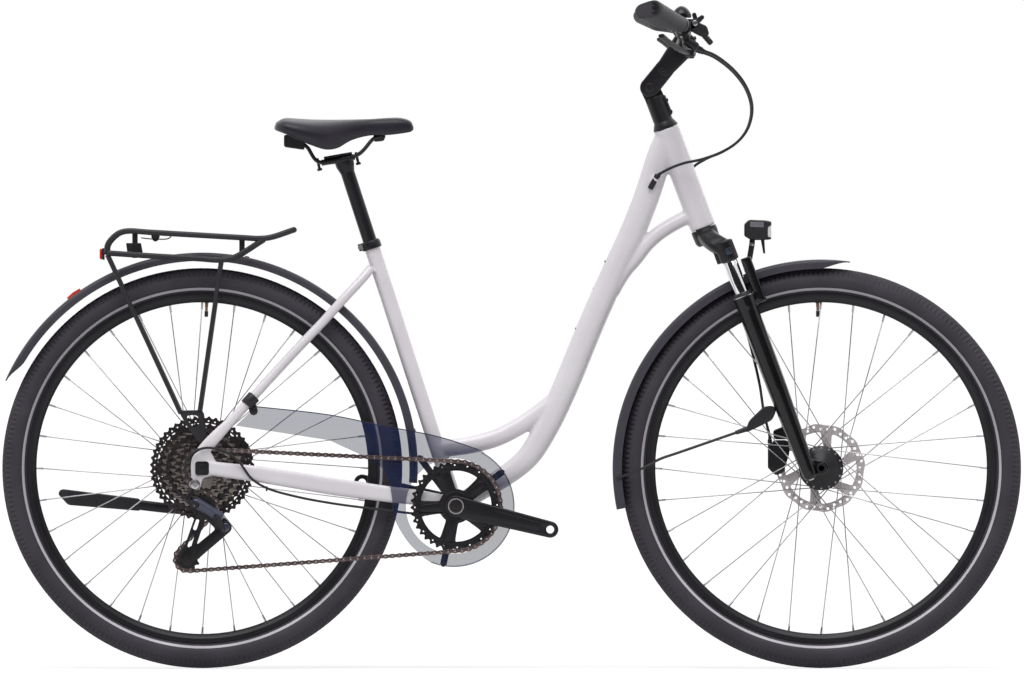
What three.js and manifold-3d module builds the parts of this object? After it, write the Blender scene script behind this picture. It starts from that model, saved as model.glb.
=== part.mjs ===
// Step-through bicycle with a suspension fork, derailleur gears, disc brakes, mudguards, rack and chain guard.
// Millimetres, +X forward, +Y to the rider's left, +Z up; the origin lies on the ground midway between the axles.
import * as THREE from "three";
import { mergeVertices } from "three/addons/utils/BufferGeometryUtils.js";
import Module from "manifold-3d";

const wasm = await Module();
wasm.setup();

// Places are pixels of a 1024 x 690 picture of the drive side, turned into millimetres.
const millimetresPerPixel = 1.805;
const rearAxlePixel = [202.3, 468.1];
const groundPixelRow = 668.1;

// Running and seating clearance between neighbouring pieces, and the overrun of a cutting tool.
const gap = 0.3;
const overrun = 4;
const mergeDistance = 1e-3;

// Wheels
const tyreRadius = 361;
const tyreWidth = 50;
const rimOuterRadius = 316;
const rimInnerRadius = 299;
const rimWidth = 26;
const rimFlange = 2;
const rimWellDepth = 8;
const spokeDiameter = 2.4;
const spokesPerSide = 16;
const spokeFlangeOffset = 1.6;
const spokeRimOffset = 2.5;
const valveDiameter = 6;
const valveLength = 26;
const wheelSegments = 24;

// Front hub, axle and rotor
const frontHubWidth = 100;
const axleDiameter = 12;
const axleNutReach = 4;
const frontFlangeRadius = 40;
const frontFlangeOffset = 27;
const frontShellRadius = 33;
const frontHubRightEnd = 46;
const frontRotorSeat = 34.6;
const flangeThickness = 4;
const rotorRadius = 80;
const rotorThickness = 2;
const rotorBandWidth = 14;
const rotorSeatRadius = 22;
const rotorBoreRadius = 12.5;
const rotorArms = 6;
const spacerRadius = 10;

// Rear hub and cassette
const rearHubWidth = 135;
const rearFlangeRadius = 27;
const rearRightFlange = 20.5;
const rearLeftFlange = 33;
const rearShellRadius = 15;
const rearHubRightEnd = 24.7;
const rearRotorSeat = 50;
const cassetteStart = 25;
const cogPitch = 3.7;
const cogThickness = 1.6;
const cogTeeth = [46, 40, 36, 32, 28, 24, 21, 19, 17, 15, 13];
const engagedCog = 8;
const cogSides = 12;
const cassetteCoreRadius = 17;
const toothHeight = 2.6;
const toothRootDepth = 3.6;

// Chain, chainring and pulleys
const chainPitch = 12.7;
const chainHalfHeight = 4.3;
const chainHalfWidth = 2.6;
const chainSlotHalfWidth = 1.6;
const chainWebHalf = 0.75;
const chainLinksPerStep = 1.5;
const chainringTeeth = 40;
const chainringLine = 50;
const chainringThickness = 2.4;
const chainringBand = 12;
const pulleyTeeth = 11;
const pulleyThickness = 2.4;
const pulleyPinRadius = 3;

// Cranks and bottom bracket
const bracketPixel = [456, 506];
const crankEndPixel = [550.8, 529.4];
const crankLength = 175;
const crankHubRadius = 19;
const crankEndRadius = 15;
const crankThickness = 14;
const crankInnerFace = 60;
const crankFlare = 9;
const crankFlangeRadius = 27;
const crankFlangeThickness = 3;
const spindleRadius = 12;
const pedalHoleRadius = 7;
const shellRadius = 21;
const shellWidth = 73;

// Frame tubes
const headTubeDiameter = 47;
const headTubeLength = 192;
const headTubeBottomPixel = [703.3, 228.2];
const headAngle = 69.5;
const steererDiameter = 28.6;
const bearingDepth = 14;
const headTubeWall = 5;
const downTubeDepth = 47;
const downTubeBreadth = 42;
const braceDepth = 33;
const braceBreadth = 28;
const gussetDepth = 27;
const gussetBreadth = 30;
const seatTubeDiameter = 28.6;
const seatTubeLength = 497;
const seatTubeAngle = 72;
const seatpostDiameter = 25.4;
const seatBoreDepth = 236;
const seatStayDiameter = 17;
const seatStayEndDiameter = 12;
const chainStayBreadth = 13;
const chainStayDepth = 26;
const chainStaySwell = 5;
const dropoutThickness = 6.5;

// Fork, measured along and in front of the steering axis from the bottom of the head tube
const forkLegSpacing = 116;
const forkLegOffset = 24;
const forkRake = 47.5;
const axleBelowHead = 480;
const stanchionDiameter = 26;
const stanchionBottom = 250;
const socketDiameter = 35;
const socketTop = 37;
const socketBottom = 72;
const forkTravel = 63;
const lowerTop = 138;
const lowerTopDiameter = 39;
const lowerMiddleDiameter = 36;
const lowerEndDiameter = 27;
const lowerBottom = 492;
const steererTop = 240;
const crownTopRadius = 24;
const crownHubDepth = 30;
const crownHalfDepth = 13;
const crownHalfReach = 17;
const archOffset = 52;
const archDepth = 19;
const archBottom = 98;
const archHeight = 22;
const legCollarDepth = 24;
const legDropoutThickness = 10;

// Stem and handlebar
const stemCoverRadius = 23;
const stemCoverHeight = 14;
const stemTubeRadius = 17.6;
const stemTubeTop = 253;
const stemPivotPixel = [649.7, 87.6];
const stemPivotRadius = 17.5;
const stemPinRadius = 4;
const stemTongueHalf = 9;
const stemArmBreadth = 40;
const stemArmDepth = 33;
const barClampPixel = [684, 45];
const barClampRadius = 23;
const barClampDiameter = 31.8;
const barDiameter = 22.2;
const barHalfWidth = 319;
const gripInner = 190;
const gripRadius = 16;
const gripEndThickness = 5;

// Mudguards
const mudguardThickness = 2;
const mudguardShoulder = 9;
const rearMudguardRadius = 389;
const rearMudguardWidth = 60;
const rearMudguardLip = 15;
const frontMudguardRadius = 376.5;
const frontMudguardWidth = 56;
const frontMudguardLip = 14.5;
const stayWireDiameter = 4.5;

// Rack
const rackTubeDiameter = 10;
const rackLegDiameter = 8;
const rackHalfWidth = 55;
const rackFootLine = 60.4;
const rackFootThickness = 4;

// Saddle and post
const saddleHalfWidth = 84;
const railDiameter = 7;
const railHalfSpacing = 22;
const seatpostInsertion = 124;
const seatpostHeight = 160;

// Chain guard
const guardRadius = 110;
const guardInnerRadius = 86;
const guardThickness = 2;
const guardLine = 44.5;
const guardLipDepth = 12;
const guardLipThickness = 3;

// Cables
const hoseDiameter = 5;
const cableDiameter = 4.5;

const axisX = new THREE.Vector3(1, 0, 0);
const axisY = new THREE.Vector3(0, 1, 0);
const axisZ = new THREE.Vector3(0, 0, 1);
const rightAngle = Math.PI / 2;
const fullTurn = Math.PI * 2;

// A point of the bicycle from a pixel of its drive side and a distance to the left of its middle plane.
function seen(pixel, y = 0) {
  return new THREE.Vector3(
    (pixel[0] - rearAxlePixel[0]) * millimetresPerPixel,
    y,
    (groundPixelRow - pixel[1]) * millimetresPerPixel,
  );
}

// The same from a pixel with a third number, the distance to the left in pixels.
function placed([column, row, aside]) {
  return seen([column, row], aside * millimetresPerPixel);
}

const rearAxle = new THREE.Vector3(0, 0, tyreRadius);
const bracket = seen(bracketPixel);
const headBottom = seen(headTubeBottomPixel);
const headRadians = THREE.MathUtils.degToRad(headAngle);
const steeringUp = new THREE.Vector3(-Math.cos(headRadians), 0, Math.sin(headRadians));
const steeringForward = new THREE.Vector3(Math.sin(headRadians), 0, Math.cos(headRadians));

// A point given in front of the steering axis, to the left and above the head tube's bottom.
function steered(forward, y, up) {
  return headBottom
    .clone()
    .addScaledVector(steeringForward, forward)
    .addScaledVector(steeringUp, up)
    .setY(y);
}

const frontAxle = steered(forkRake, 0, -axleBelowHead);
const seatRadians = THREE.MathUtils.degToRad(seatTubeAngle);
const seatUp = new THREE.Vector3(-Math.cos(seatRadians), 0, Math.sin(seatRadians));
const seatBack = new THREE.Vector3(-Math.sin(seatRadians), 0, -Math.cos(seatRadians));
const seatTubeTop = bracket.clone().addScaledVector(seatUp, seatTubeLength);

// A point of the seat tube's axis, or behind it, by its distance above the tube's top.
function alongSeat(distance, behind = 0) {
  return seatTubeTop.clone().addScaledVector(seatUp, distance).addScaledVector(seatBack, behind);
}

// Geometry with only its corners, merged and with its faces pointing out.
function closed(geometry) {
  const bare = new THREE.BufferGeometry();
  bare.setAttribute("position", geometry.getAttribute("position").clone());
  if (geometry.index) bare.setIndex(geometry.index.clone());
  const merged = mergeVertices(bare, mergeDistance);
  const position = merged.getAttribute("position");
  const corner = (index) => new THREE.Vector3().fromBufferAttribute(position, index);
  const triangles = [];
  let volume = 0;
  for (let i = 0; i < merged.index.count; i += 3) {
    const [a, b, c] = [merged.index.getX(i), merged.index.getX(i + 1), merged.index.getX(i + 2)];
    if (a === b || b === c || c === a) continue;
    triangles.push([a, b, c]);
    volume += corner(a).dot(corner(b).cross(corner(c)));
  }
  const facing = volume < 0 ? triangles.map(([a, b, c]) => [a, c, b]) : triangles;
  merged.setIndex(facing.flat());
  return merged;
}

function toSolid(geometry) {
  return new wasm.Manifold(
    new wasm.Mesh({
      numProp: 3,
      vertProperties: new Float32Array(geometry.getAttribute("position").array),
      triVerts: new Uint32Array(geometry.index.array),
    }),
  );
}

function fromSolid(solid) {
  const mesh = solid.getMesh();
  const geometry = new THREE.BufferGeometry();
  geometry.setAttribute("position", new THREE.BufferAttribute(new Float32Array(mesh.vertProperties), 3));
  geometry.setIndex(new THREE.BufferAttribute(new Uint32Array(mesh.triVerts), 1));
  return geometry;
}

function join(...geometries) {
  return fromSolid(geometries.map(toSolid).reduce((whole, piece) => whole.add(piece)));
}

function cut(geometry, ...tools) {
  return fromSolid(tools.map(toSolid).reduce((whole, tool) => whole.subtract(tool), toSolid(geometry)));
}

// Cross sections as unit outlines, which a sweep scales to its half sizes.
function roundSection(sides) {
  return Array.from({ length: sides }, (_, i) => {
    const angle = ((i + 1 / 2) * fullTurn) / sides;
    return [Math.cos(angle), Math.sin(angle)];
  });
}

const bevelShare = 0.7;
const boxSection = [
  [1, -bevelShare],
  [1, bevelShare],
  [bevelShare, 1],
  [-bevelShare, 1],
  [-1, bevelShare],
  [-1, -bevelShare],
  [-bevelShare, -1],
  [bevelShare, -1],
];

// A closed surface through rings of equally many points, with its two ends capped over the section's outline.
function loft(rings, section) {
  const count = section.length;
  const positions = rings.flat().flatMap((point) => [point.x, point.y, point.z]);
  const faces = [];
  for (let ring = 0; ring + 1 < rings.length; ring += 1) {
    for (let i = 0; i < count; i += 1) {
      const here = ring * count + i;
      const beside = ring * count + ((i + 1) % count);
      faces.push(here, beside, here + count, beside, beside + count, here + count);
    }
  }
  const outline = section.map(([u, v]) => new THREE.Vector2(u, v));
  const cap = THREE.ShapeUtils.triangulateShape(outline, []);
  const last = (rings.length - 1) * count;
  const clockwise = THREE.ShapeUtils.isClockWise(outline);
  for (const [a, b, c] of cap) {
    faces.push(...(clockwise ? [a, b, c] : [a, c, b]));
    faces.push(...(clockwise ? [last + a, last + c, last + b] : [last + a, last + b, last + c]));
  }
  const geometry = new THREE.BufferGeometry();
  geometry.setAttribute("position", new THREE.Float32BufferAttribute(positions, 3));
  geometry.setIndex(faces);
  return closed(geometry);
}

// A section's ring about a centre, square to a direction. Half sizes are across the level direction and along it.
function ringAt(centre, tangent, section, halfAcross, halfAlong, level) {
  const across = new THREE.Vector3().crossVectors(tangent, level).normalize();
  const along = new THREE.Vector3().crossVectors(across, tangent).normalize();
  return section.map(([u, v]) =>
    centre.clone().addScaledVector(across, u * halfAcross).addScaledVector(along, v * halfAlong),
  );
}

// A solid swept along a curve, with fixed half sizes or with half sizes that depend on the share of its length.
function sweep(curve, steps, section, halfSizes, level = axisY) {
  const sizes = typeof halfSizes === "function" ? halfSizes : () => halfSizes;
  const rings = Array.from({ length: steps + 1 }, (_, step) => {
    const share = step / steps;
    const [halfAcross, halfAlong] = sizes(share);
    return ringAt(curve.getPointAt(share), curve.getTangentAt(share), section, halfAcross, halfAlong, level);
  });
  return loft(rings, section);
}

function directionOf(from, to) {
  return new THREE.Vector3().subVectors(to, from).normalize();
}

// A round pipe through points, straight between them, with one radius or one for each point.
function pipe(points, radii, sides = 8, level = axisY) {
  const section = roundSection(sides);
  const rings = points.map((point, i) => {
    const arriving = directionOf(points[Math.max(0, i - 1)], point);
    const leaving = directionOf(point, points[Math.min(points.length - 1, i + 1)]);
    const radius = Array.isArray(radii) ? radii[i] : radii;
    return ringAt(point, arriving.add(leaving).normalize(), section, radius, radius, level);
  });
  return loft(rings, section);
}

function smooth(points) {
  return new THREE.CatmullRomCurve3(points, false, "centripetal");
}

// A straight round rod or cone between two points.
function rod(from, to, radius, sides = 10, endRadius = radius) {
  const level = Math.abs(directionOf(from, to).y) > bevelShare ? axisX : axisY;
  return pipe([from, to], [radius, endRadius], sides, level);
}

// A straight bar with bevelled edges between two points.
function bar(from, to, halfAcross, halfAlong, level = axisY) {
  const tangent = directionOf(from, to);
  const rings = [from, to].map((end) => ringAt(end, tangent, boxSection, halfAcross, halfAlong, level));
  return loft(rings, boxSection);
}

// A ring or disc turned about an axis parallel to Y; the profile lists radius and place along Y.
function turned(profile, segments, centre) {
  const points = profile.map(([radius, y]) => new THREE.Vector2(radius, y));
  const geometry = new THREE.LatheGeometry([...points, points[0]], segments);
  return closed(geometry.translate(centre.x, 0, centre.z));
}

// The same about an upright axis, with the profile listing radius and height above the centre.
function turnedUpright(profile, segments, centre) {
  const points = profile.map(([radius, height]) => new THREE.Vector2(radius, height));
  const geometry = new THREE.LatheGeometry([...points, points[0]], segments).rotateX(rightAngle);
  return closed(geometry.translate(centre.x, centre.y, centre.z));
}

// A round rod parallel to Y.
function drilling(centre, radius, yLow, yHigh, sides = 14) {
  return rod(centre.clone().setY(yLow), centre.clone().setY(yHigh), radius, sides);
}

// A flat plate lying across Y between two planes, from outlines of points that may run either way round.
function plate(outline, yLow, yHigh, holes = []) {
  const [edge, ...openings] = [outline, ...holes].map((points) => {
    const flat = points.map((point) => new THREE.Vector2(point.x, point.z));
    return THREE.ShapeUtils.isClockWise(flat) ? flat.reverse() : flat;
  });
  const shape = new THREE.Shape(edge);
  for (const opening of openings) shape.holes.push(new THREE.Path(opening));
  const geometry = new THREE.ExtrudeGeometry(shape, { depth: yHigh - yLow, bevelEnabled: false });
  return closed(geometry.rotateX(rightAngle).translate(0, yHigh, 0));
}

function seenPlate(pixels, yLow, yHigh) {
  return plate(pixels.map((pixel) => seen(pixel)), yLow, yHigh);
}

function circle(centre, radius, count, startAngle = 0, sweepAngle = fullTurn) {
  const whole = sweepAngle === fullTurn;
  return Array.from({ length: whole ? count : count + 1 }, (_, i) => {
    const angle = startAngle + (i * sweepAngle) / count;
    return new THREE.Vector3(
      centre.x + radius * Math.cos(angle),
      centre.y,
      centre.z + radius * Math.sin(angle),
    );
  });
}

// Two circles joined by straight flanks, as the outline of a lever or an arm.
function armOutline(from, fromRadius, to, toRadius, count = 5) {
  const heading = Math.atan2(to.z - from.z, to.x - from.x);
  return [
    ...circle(to, toRadius, count, heading - rightAngle, Math.PI),
    ...circle(from, fromRadius, count, heading + rightAngle, Math.PI),
  ];
}

// A ring sector about an axis parallel to Y, from a profile of radius and place along Y.
function arcBand(centre, profile, [startDegrees, endDegrees], count) {
  const rings = Array.from({ length: count + 1 }, (_, i) => {
    const angle = THREE.MathUtils.degToRad(THREE.MathUtils.lerp(startDegrees, endDegrees, i / count));
    return profile.map(
      ([radius, y]) =>
        new THREE.Vector3(centre.x + radius * Math.cos(angle), y, centre.z + radius * Math.sin(angle)),
    );
  });
  return loft(rings, profile);
}

function mirrored(point) {
  return new THREE.Vector3(point.x, -point.y, point.z);
}

function mirrorGeometry(geometry) {
  return closed(geometry.clone().scale(1, -1, 1));
}

const finishes = {
  frameWhite: { color: 0xdcd9dc, roughness: 0.35, metalness: 0 },
  black: { color: 0x1a1a1c, roughness: 0.45, metalness: 0.1 },
  plastic: { color: 0x26262a, roughness: 0.55, metalness: 0 },
  rubber: { color: 0x1c1c1f, roughness: 0.85, metalness: 0 },
  steel: { color: 0x8b8c90, roughness: 0.4, metalness: 1 },
  darkSteel: { color: 0x3a3638, roughness: 0.45, metalness: 0.8 },
  graphite: { color: 0x4b4e5c, roughness: 0.35, metalness: 0.5 },
  guardClear: { color: 0x9aa6cc, roughness: 0.2, metalness: 0 },
  redLens: { color: 0xc9202a, roughness: 0.25, metalness: 0 },
  softBlack: { color: 0x2b2a33, roughness: 0.75, metalness: 0 },
};

const bicycle = new THREE.Group();

function add(name, geometry, finish) {
  const mesh = new THREE.Mesh(geometry, new THREE.MeshStandardMaterial(finishes[finish]));
  mesh.name = name;
  bicycle.add(mesh);
}

// Wheels: tyre, rim, laced hub and brake rotor
const tyreFlankShares = [
  [0.26, 0.92],
  [0.5, 1],
  [0.76, 0.82],
  [0.94, 0.42],
];

function tyre(centre) {
  const bead = rimWidth / 2 - rimFlange - gap;
  const height = tyreRadius - rimOuterRadius;
  const half = [
    [rimOuterRadius - rimWellDepth + gap, bead],
    [rimOuterRadius + gap * 2, bead],
    ...tyreFlankShares.map(([rise, spread]) => [rimOuterRadius + rise * height, (spread * tyreWidth) / 2]),
  ];
  const otherHalf = half.map(([radius, y]) => [radius, -y]).reverse();
  return turned([...half, [tyreRadius, 0], ...otherHalf], wheelSegments, centre);
}

function rim(centre, valveLean) {
  const well = rimOuterRadius - rimWellDepth;
  const inside = rimWidth / 2 - rimFlange;
  const narrow = rimWidth / 4;
  const profile = [
    [well, -inside],
    [rimOuterRadius, -inside],
    [rimOuterRadius, -rimWidth / 2],
    [well, -rimWidth / 2],
    [rimInnerRadius, -narrow],
    [rimInnerRadius, narrow],
    [well, rimWidth / 2],
    [rimOuterRadius, rimWidth / 2],
    [rimOuterRadius, inside],
    [well, inside],
  ];
  const angle = rightAngle - THREE.MathUtils.degToRad(valveLean);
  const direction = new THREE.Vector3(Math.cos(angle), 0, Math.sin(angle));
  const root = centre.clone().addScaledVector(direction, rimInnerRadius + rimFlange);
  const tip = centre.clone().addScaledVector(direction, rimInnerRadius - valveLength);
  return join(turned(profile, wheelSegments, centre), rod(root, tip, valveDiameter / 2, 6));
}

// Spokes of one flange, alternately leading and trailing, up to just short of the rim.
function spokes(centre, flangeRadius, flangeY, crossAngle, phase) {
  const rimEnd = rimInnerRadius * Math.cos(Math.PI / wheelSegments) - gap;
  const hubEnd = flangeRadius - flangeThickness;
  return Array.from({ length: spokesPerSide }, (_, i) => {
    const leading = i % 2 === 0 ? 1 : -1;
    const hubAngle = phase + (i * fullTurn) / spokesPerSide;
    const rimAngle = hubAngle + leading * crossAngle;
    const from = circle(centre, hubEnd, 1, hubAngle)[0].setY(flangeY + leading * spokeFlangeOffset);
    const to = circle(centre, rimEnd, 1, rimAngle)[0].setY(Math.sign(flangeY) * spokeRimOffset);
    return rod(from, to, spokeDiameter / 2, 3);
  });
}

// Each spoke reaches the rim this far round from its place on the flange.
const crossDegrees = 67.5;

function lacedHub(centre, profile, flanges) {
  const crossAngle = THREE.MathUtils.degToRad(crossDegrees);
  const strands = flanges.flatMap(([radius, y], side) =>
    spokes(centre, radius, y, crossAngle, (side * fullTurn) / spokesPerSide / 2),
  );
  return join(turned(profile, 10, centre), ...strands);
}

const axleBore = axleDiameter / 2 + gap * 1.5;
const frontHubProfile = [
  [axleBore, -frontHubRightEnd],
  [rearShellRadius, -frontHubRightEnd],
  [frontShellRadius, -frontFlangeOffset - flangeThickness],
  [frontFlangeRadius, -frontFlangeOffset - flangeThickness / 2],
  [frontFlangeRadius, -frontFlangeOffset + flangeThickness / 2],
  [frontShellRadius, -frontFlangeOffset + flangeThickness],
  [frontShellRadius, frontFlangeOffset - flangeThickness],
  [frontFlangeRadius, frontFlangeOffset - flangeThickness / 2],
  [frontFlangeRadius, frontFlangeOffset + flangeThickness / 2],
  [rotorSeatRadius, frontFlangeOffset + flangeThickness],
  [rotorSeatRadius, frontRotorSeat],
  [axleBore, frontRotorSeat],
];
const rearHubProfile = [
  [axleBore, -rearHubRightEnd],
  [rearShellRadius, -rearHubRightEnd],
  [rearFlangeRadius, -rearRightFlange - flangeThickness / 2],
  [rearFlangeRadius, -rearRightFlange + flangeThickness / 2],
  [rearShellRadius, -rearRightFlange + flangeThickness],
  [rearShellRadius, rearLeftFlange - flangeThickness],
  [rearFlangeRadius, rearLeftFlange - flangeThickness / 2],
  [rearFlangeRadius, rearLeftFlange + flangeThickness / 2],
  [rearShellRadius, rearLeftFlange + flangeThickness],
  [rearShellRadius, rearRotorSeat - flangeThickness],
  [rotorSeatRadius, rearRotorSeat - flangeThickness],
  [rotorSeatRadius, rearRotorSeat],
  [axleBore, rearRotorSeat],
];

// Openings in a disc between two radii, as arms leave them.
const windowShares = [0.16, 0.84];

function windows(centre, innerRadius, outerRadius, count, phase) {
  const step = fullTurn / count;
  const [low, high] = windowShares;
  return Array.from({ length: count }, (_, i) => {
    const start = phase + (i + low) * step;
    const span = (high - low) * step;
    return [
      ...circle(centre, outerRadius, 4, start, span),
      ...circle(centre, innerRadius, 2, start + span, -span),
    ];
  });
}

function rotor(centre, seat) {
  const holes = windows(centre, rotorSeatRadius, rotorRadius - rotorBandWidth, rotorArms, 0);
  const bore = circle(centre, rotorBoreRadius, 10);
  return plate(circle(centre, rotorRadius, 18), seat + gap, seat + gap + rotorThickness, [...holes, bore]);
}

const frontValveLean = -1.2;
const rearValveLean = 1.5;
const frontFlanges = [
  [frontFlangeRadius, -frontFlangeOffset],
  [frontFlangeRadius, frontFlangeOffset],
];
const rearFlanges = [
  [rearFlangeRadius, -rearRightFlange],
  [rearFlangeRadius, rearLeftFlange],
];
add("front_tyre", tyre(frontAxle), "rubber");
add("front_rim", rim(frontAxle, frontValveLean), "black");
add("front_hub", lacedHub(frontAxle, frontHubProfile, frontFlanges), "black");
add("front_rotor", rotor(frontAxle, frontRotorSeat), "steel");
add("rear_tyre", tyre(rearAxle), "rubber");
add("rear_rim", rim(rearAxle, rearValveLean), "black");
add("rear_hub", lacedHub(rearAxle, rearHubProfile, rearFlanges), "black");
add("rear_rotor", rotor(rearAxle, rearRotorSeat), "steel");

// Axles, with the spacers that hold the hubs between the dropouts
function axle(centre, halfWidth, rightEnd, leftEnd, reach) {
  const shaft = drilling(centre, axleDiameter / 2, -halfWidth - reach, halfWidth + reach, 8);
  const right = drilling(centre, spacerRadius, -halfWidth + gap, -rightEnd - gap, 8);
  const left = drilling(centre, spacerRadius, leftEnd + gap, halfWidth - gap, 8);
  return join(shaft, right, left);
}

// Cassette: cogs on one core. The cog and the chainring that carry the chain reach up to its web.
function pitchRadius(teeth) {
  return chainPitch / 2 / Math.sin(Math.PI / teeth);
}

function toothed(centre, teeth, tipRadius, rootRadius) {
  return Array.from({ length: teeth * 2 }, (_, i) => {
    const radius = i % 2 === 0 ? tipRadius : rootRadius;
    return circle(centre, radius, 1, (i * Math.PI) / teeth)[0];
  });
}

const chainStep = chainPitch * chainLinksPerStep;
const engagedTip = (teeth) =>
  pitchRadius(teeth) * Math.cos(chainStep / pitchRadius(teeth) / 2) - chainWebHalf - gap;
const rootOf = (teeth) => pitchRadius(teeth) - toothRootDepth;
const cogLine = (index) => -cassetteStart - cogThickness / 2 - index * cogPitch;
const engagedLine = cogLine(engagedCog);
const cassetteEnd = -cogLine(cogTeeth.length - 1) + cogThickness / 2;

function cassette() {
  const cogs = cogTeeth.map((teeth, index) => {
    const engaged = index === engagedCog;
    const outline = engaged
      ? toothed(rearAxle, teeth, engagedTip(teeth), rootOf(teeth))
      : circle(rearAxle, pitchRadius(teeth) + toothHeight, cogSides);
    const y = cogLine(index);
    return plate(outline, y - cogThickness / 2, y + cogThickness / 2);
  });
  const core = drilling(rearAxle, cassetteCoreRadius, -cassetteEnd, -cassetteStart, 12);
  const bore = drilling(rearAxle, axleBore, -cassetteEnd - overrun, -cassetteStart + overrun, 12);
  return cut(join(core, ...cogs), bore);
}

const frontAxleReach = legDropoutThickness + axleNutReach;
const rearAxleReach = dropoutThickness + axleNutReach;
add("cassette", cassette(), "darkSteel");
add(
  "front_axle",
  axle(frontAxle, frontHubWidth / 2, frontHubRightEnd, frontRotorSeat, frontAxleReach),
  "darkSteel",
);
add("rear_axle", axle(rearAxle, rearHubWidth / 2, cassetteEnd, rearRotorSeat, rearAxleReach), "darkSteel");

// Cranks, chainring and spindle
const crankHeading = Math.atan2(bracketPixel[1] - crankEndPixel[1], crankEndPixel[0] - bracketPixel[0]);
const crankEnd = circle(bracket, crankLength, 1, crankHeading)[0];
const oppositeEnd = circle(bracket, crankLength, 1, crankHeading + Math.PI)[0];
const crankOuterFace = crankInnerFace + crankThickness;
const chainringInner = chainringLine - chainringThickness / 2;
const chainringOuter = chainringLine + chainringThickness / 2;

// A crank arm outside its inner face, leaning outwards towards the pedal end.
function crankArm(end) {
  const outline = armOutline(bracket, crankHubRadius, end, crankEndRadius, 7);
  const arm = plate(outline, -crankOuterFace, -crankInnerFace);
  const position = arm.getAttribute("position");
  for (let i = 0; i < position.count; i += 1) {
    const along = Math.hypot(position.getX(i) - bracket.x, position.getZ(i) - bracket.z);
    const share = THREE.MathUtils.clamp((along - crankHubRadius) / crankLength, 0, 1);
    position.setY(i, position.getY(i) - share * crankFlare);
  }
  return cut(arm, drilling(end, pedalHoleRadius, -crankOuterFace - crankFlare - overrun, 0, 12));
}

function rightCrank() {
  const boss = drilling(bracket, crankHubRadius, -crankOuterFace, -chainringInner);
  const flangeLow = -chainringOuter - gap - crankFlangeThickness;
  const flange = drilling(bracket, crankFlangeRadius, flangeLow, -chainringOuter - gap);
  const bore = drilling(bracket, spindleRadius + gap, -crankOuterFace - overrun, 0);
  return cut(join(crankArm(crankEnd), boss, flange), bore);
}

function leftCrank() {
  const arm = mirrorGeometry(crankArm(oppositeEnd));
  const boss = drilling(bracket, crankHubRadius, shellWidth / 2 + gap, crankInnerFace + gap);
  const spindle = drilling(bracket, spindleRadius, -crankOuterFace, crankInnerFace + gap);
  return join(arm, boss, spindle);
}

function chainring() {
  const outline = toothed(bracket, chainringTeeth, engagedTip(chainringTeeth), rootOf(chainringTeeth));
  const bandInner = rootOf(chainringTeeth) - chainringBand;
  const holes = windows(bracket, crankFlangeRadius + gap, bandInner, 5, crankHeading - rightAngle);
  const bore = circle(bracket, crankHubRadius + gap * 2, 16);
  return plate(outline, -chainringOuter, -chainringInner, [...holes, bore]);
}

add("crank_right", rightCrank(), "black");
add("crank_left", leftCrank(), "black");
add("chainring", chainring(), "black");

// Derailleur places. The link's ends are given with their distance to the left.
const hangerPixel = [195.6, 484.5];
const linkUpperPlace = [196.5, 502, -45.4];
const linkLowerPlace = [219, 516, -45.4];
const cagePivotPixel = [225.7, 527.2];
const guidePulleyPixel = [205.3, 506.5];
const tensionPulleyPixel = [187.7, 558.5];
const pulleyRadius = pitchRadius(pulleyTeeth);
const guideCentre = seen(guidePulleyPixel);
const tensionCentre = seen(tensionPulleyPixel);
const cagePivot = seen(cagePivotPixel);

// The chain's loop over cog, chainring and both pulleys, which straight runs leave and meet as tangents.
function tangentAngle(from, fromRadius, to, toRadius, side, crossed) {
  const heading = Math.atan2(to.z - from.z, to.x - from.x);
  const distance = Math.hypot(to.x - from.x, to.z - from.z);
  const difference = crossed ? fromRadius + toRadius : fromRadius - toRadius;
  return heading + side * Math.acos(difference / distance);
}

function arcPoints(centre, radius, startAngle, endAngle, y) {
  const span = endAngle - startAngle;
  const count = Math.ceil((Math.abs(span) * radius) / chainStep);
  return circle(centre, radius, count, startAngle, span).map((point) => point.setY(y));
}

function unwound(angle, reference, direction) {
  let result = angle;
  while ((result - reference) * direction < 0) result += direction * fullTurn;
  while ((result - reference) * direction > fullTurn) result -= direction * fullTurn;
  return result;
}

function chainRoute() {
  const cogRadius = pitchRadius(cogTeeth[engagedCog]);
  const ringRadius = pitchRadius(chainringTeeth);
  const top = tangentAngle(rearAxle, cogRadius, bracket, ringRadius, 1, false);
  const bottom = tangentAngle(tensionCentre, pulleyRadius, bracket, ringRadius, -1, false);
  const across = tangentAngle(guideCentre, pulleyRadius, tensionCentre, pulleyRadius, 1, true);
  const down = tangentAngle(rearAxle, cogRadius, guideCentre, pulleyRadius, -1, true);
  const ringEnd = unwound(bottom, top, -1);
  const guideStart = down + Math.PI;
  const guideEnd = unwound(across, guideStart, -1);
  const tensionStart = across + Math.PI;
  const tensionEnd = unwound(bottom, tensionStart, 1);
  const cogStart = unwound(down, top, 1);
  return [
    ...arcPoints(bracket, ringRadius, top, ringEnd, -chainringLine),
    ...arcPoints(tensionCentre, pulleyRadius, tensionEnd, tensionStart, engagedLine),
    ...arcPoints(guideCentre, pulleyRadius, guideEnd, guideStart, engagedLine),
    ...arcPoints(rearAxle, cogRadius, cogStart, top, engagedLine),
  ];
}

const chainSection = [
  [-chainHalfHeight, -chainHalfWidth],
  [-chainHalfHeight, -chainSlotHalfWidth],
  [-chainWebHalf, -chainSlotHalfWidth],
  [-chainWebHalf, chainSlotHalfWidth],
  [-chainHalfHeight, chainSlotHalfWidth],
  [-chainHalfHeight, chainHalfWidth],
  [chainHalfHeight, chainHalfWidth],
  [chainHalfHeight, chainSlotHalfWidth],
  [chainWebHalf, chainSlotHalfWidth],
  [chainWebHalf, -chainSlotHalfWidth],
  [chainHalfHeight, -chainSlotHalfWidth],
  [chainHalfHeight, -chainHalfWidth],
];

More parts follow.
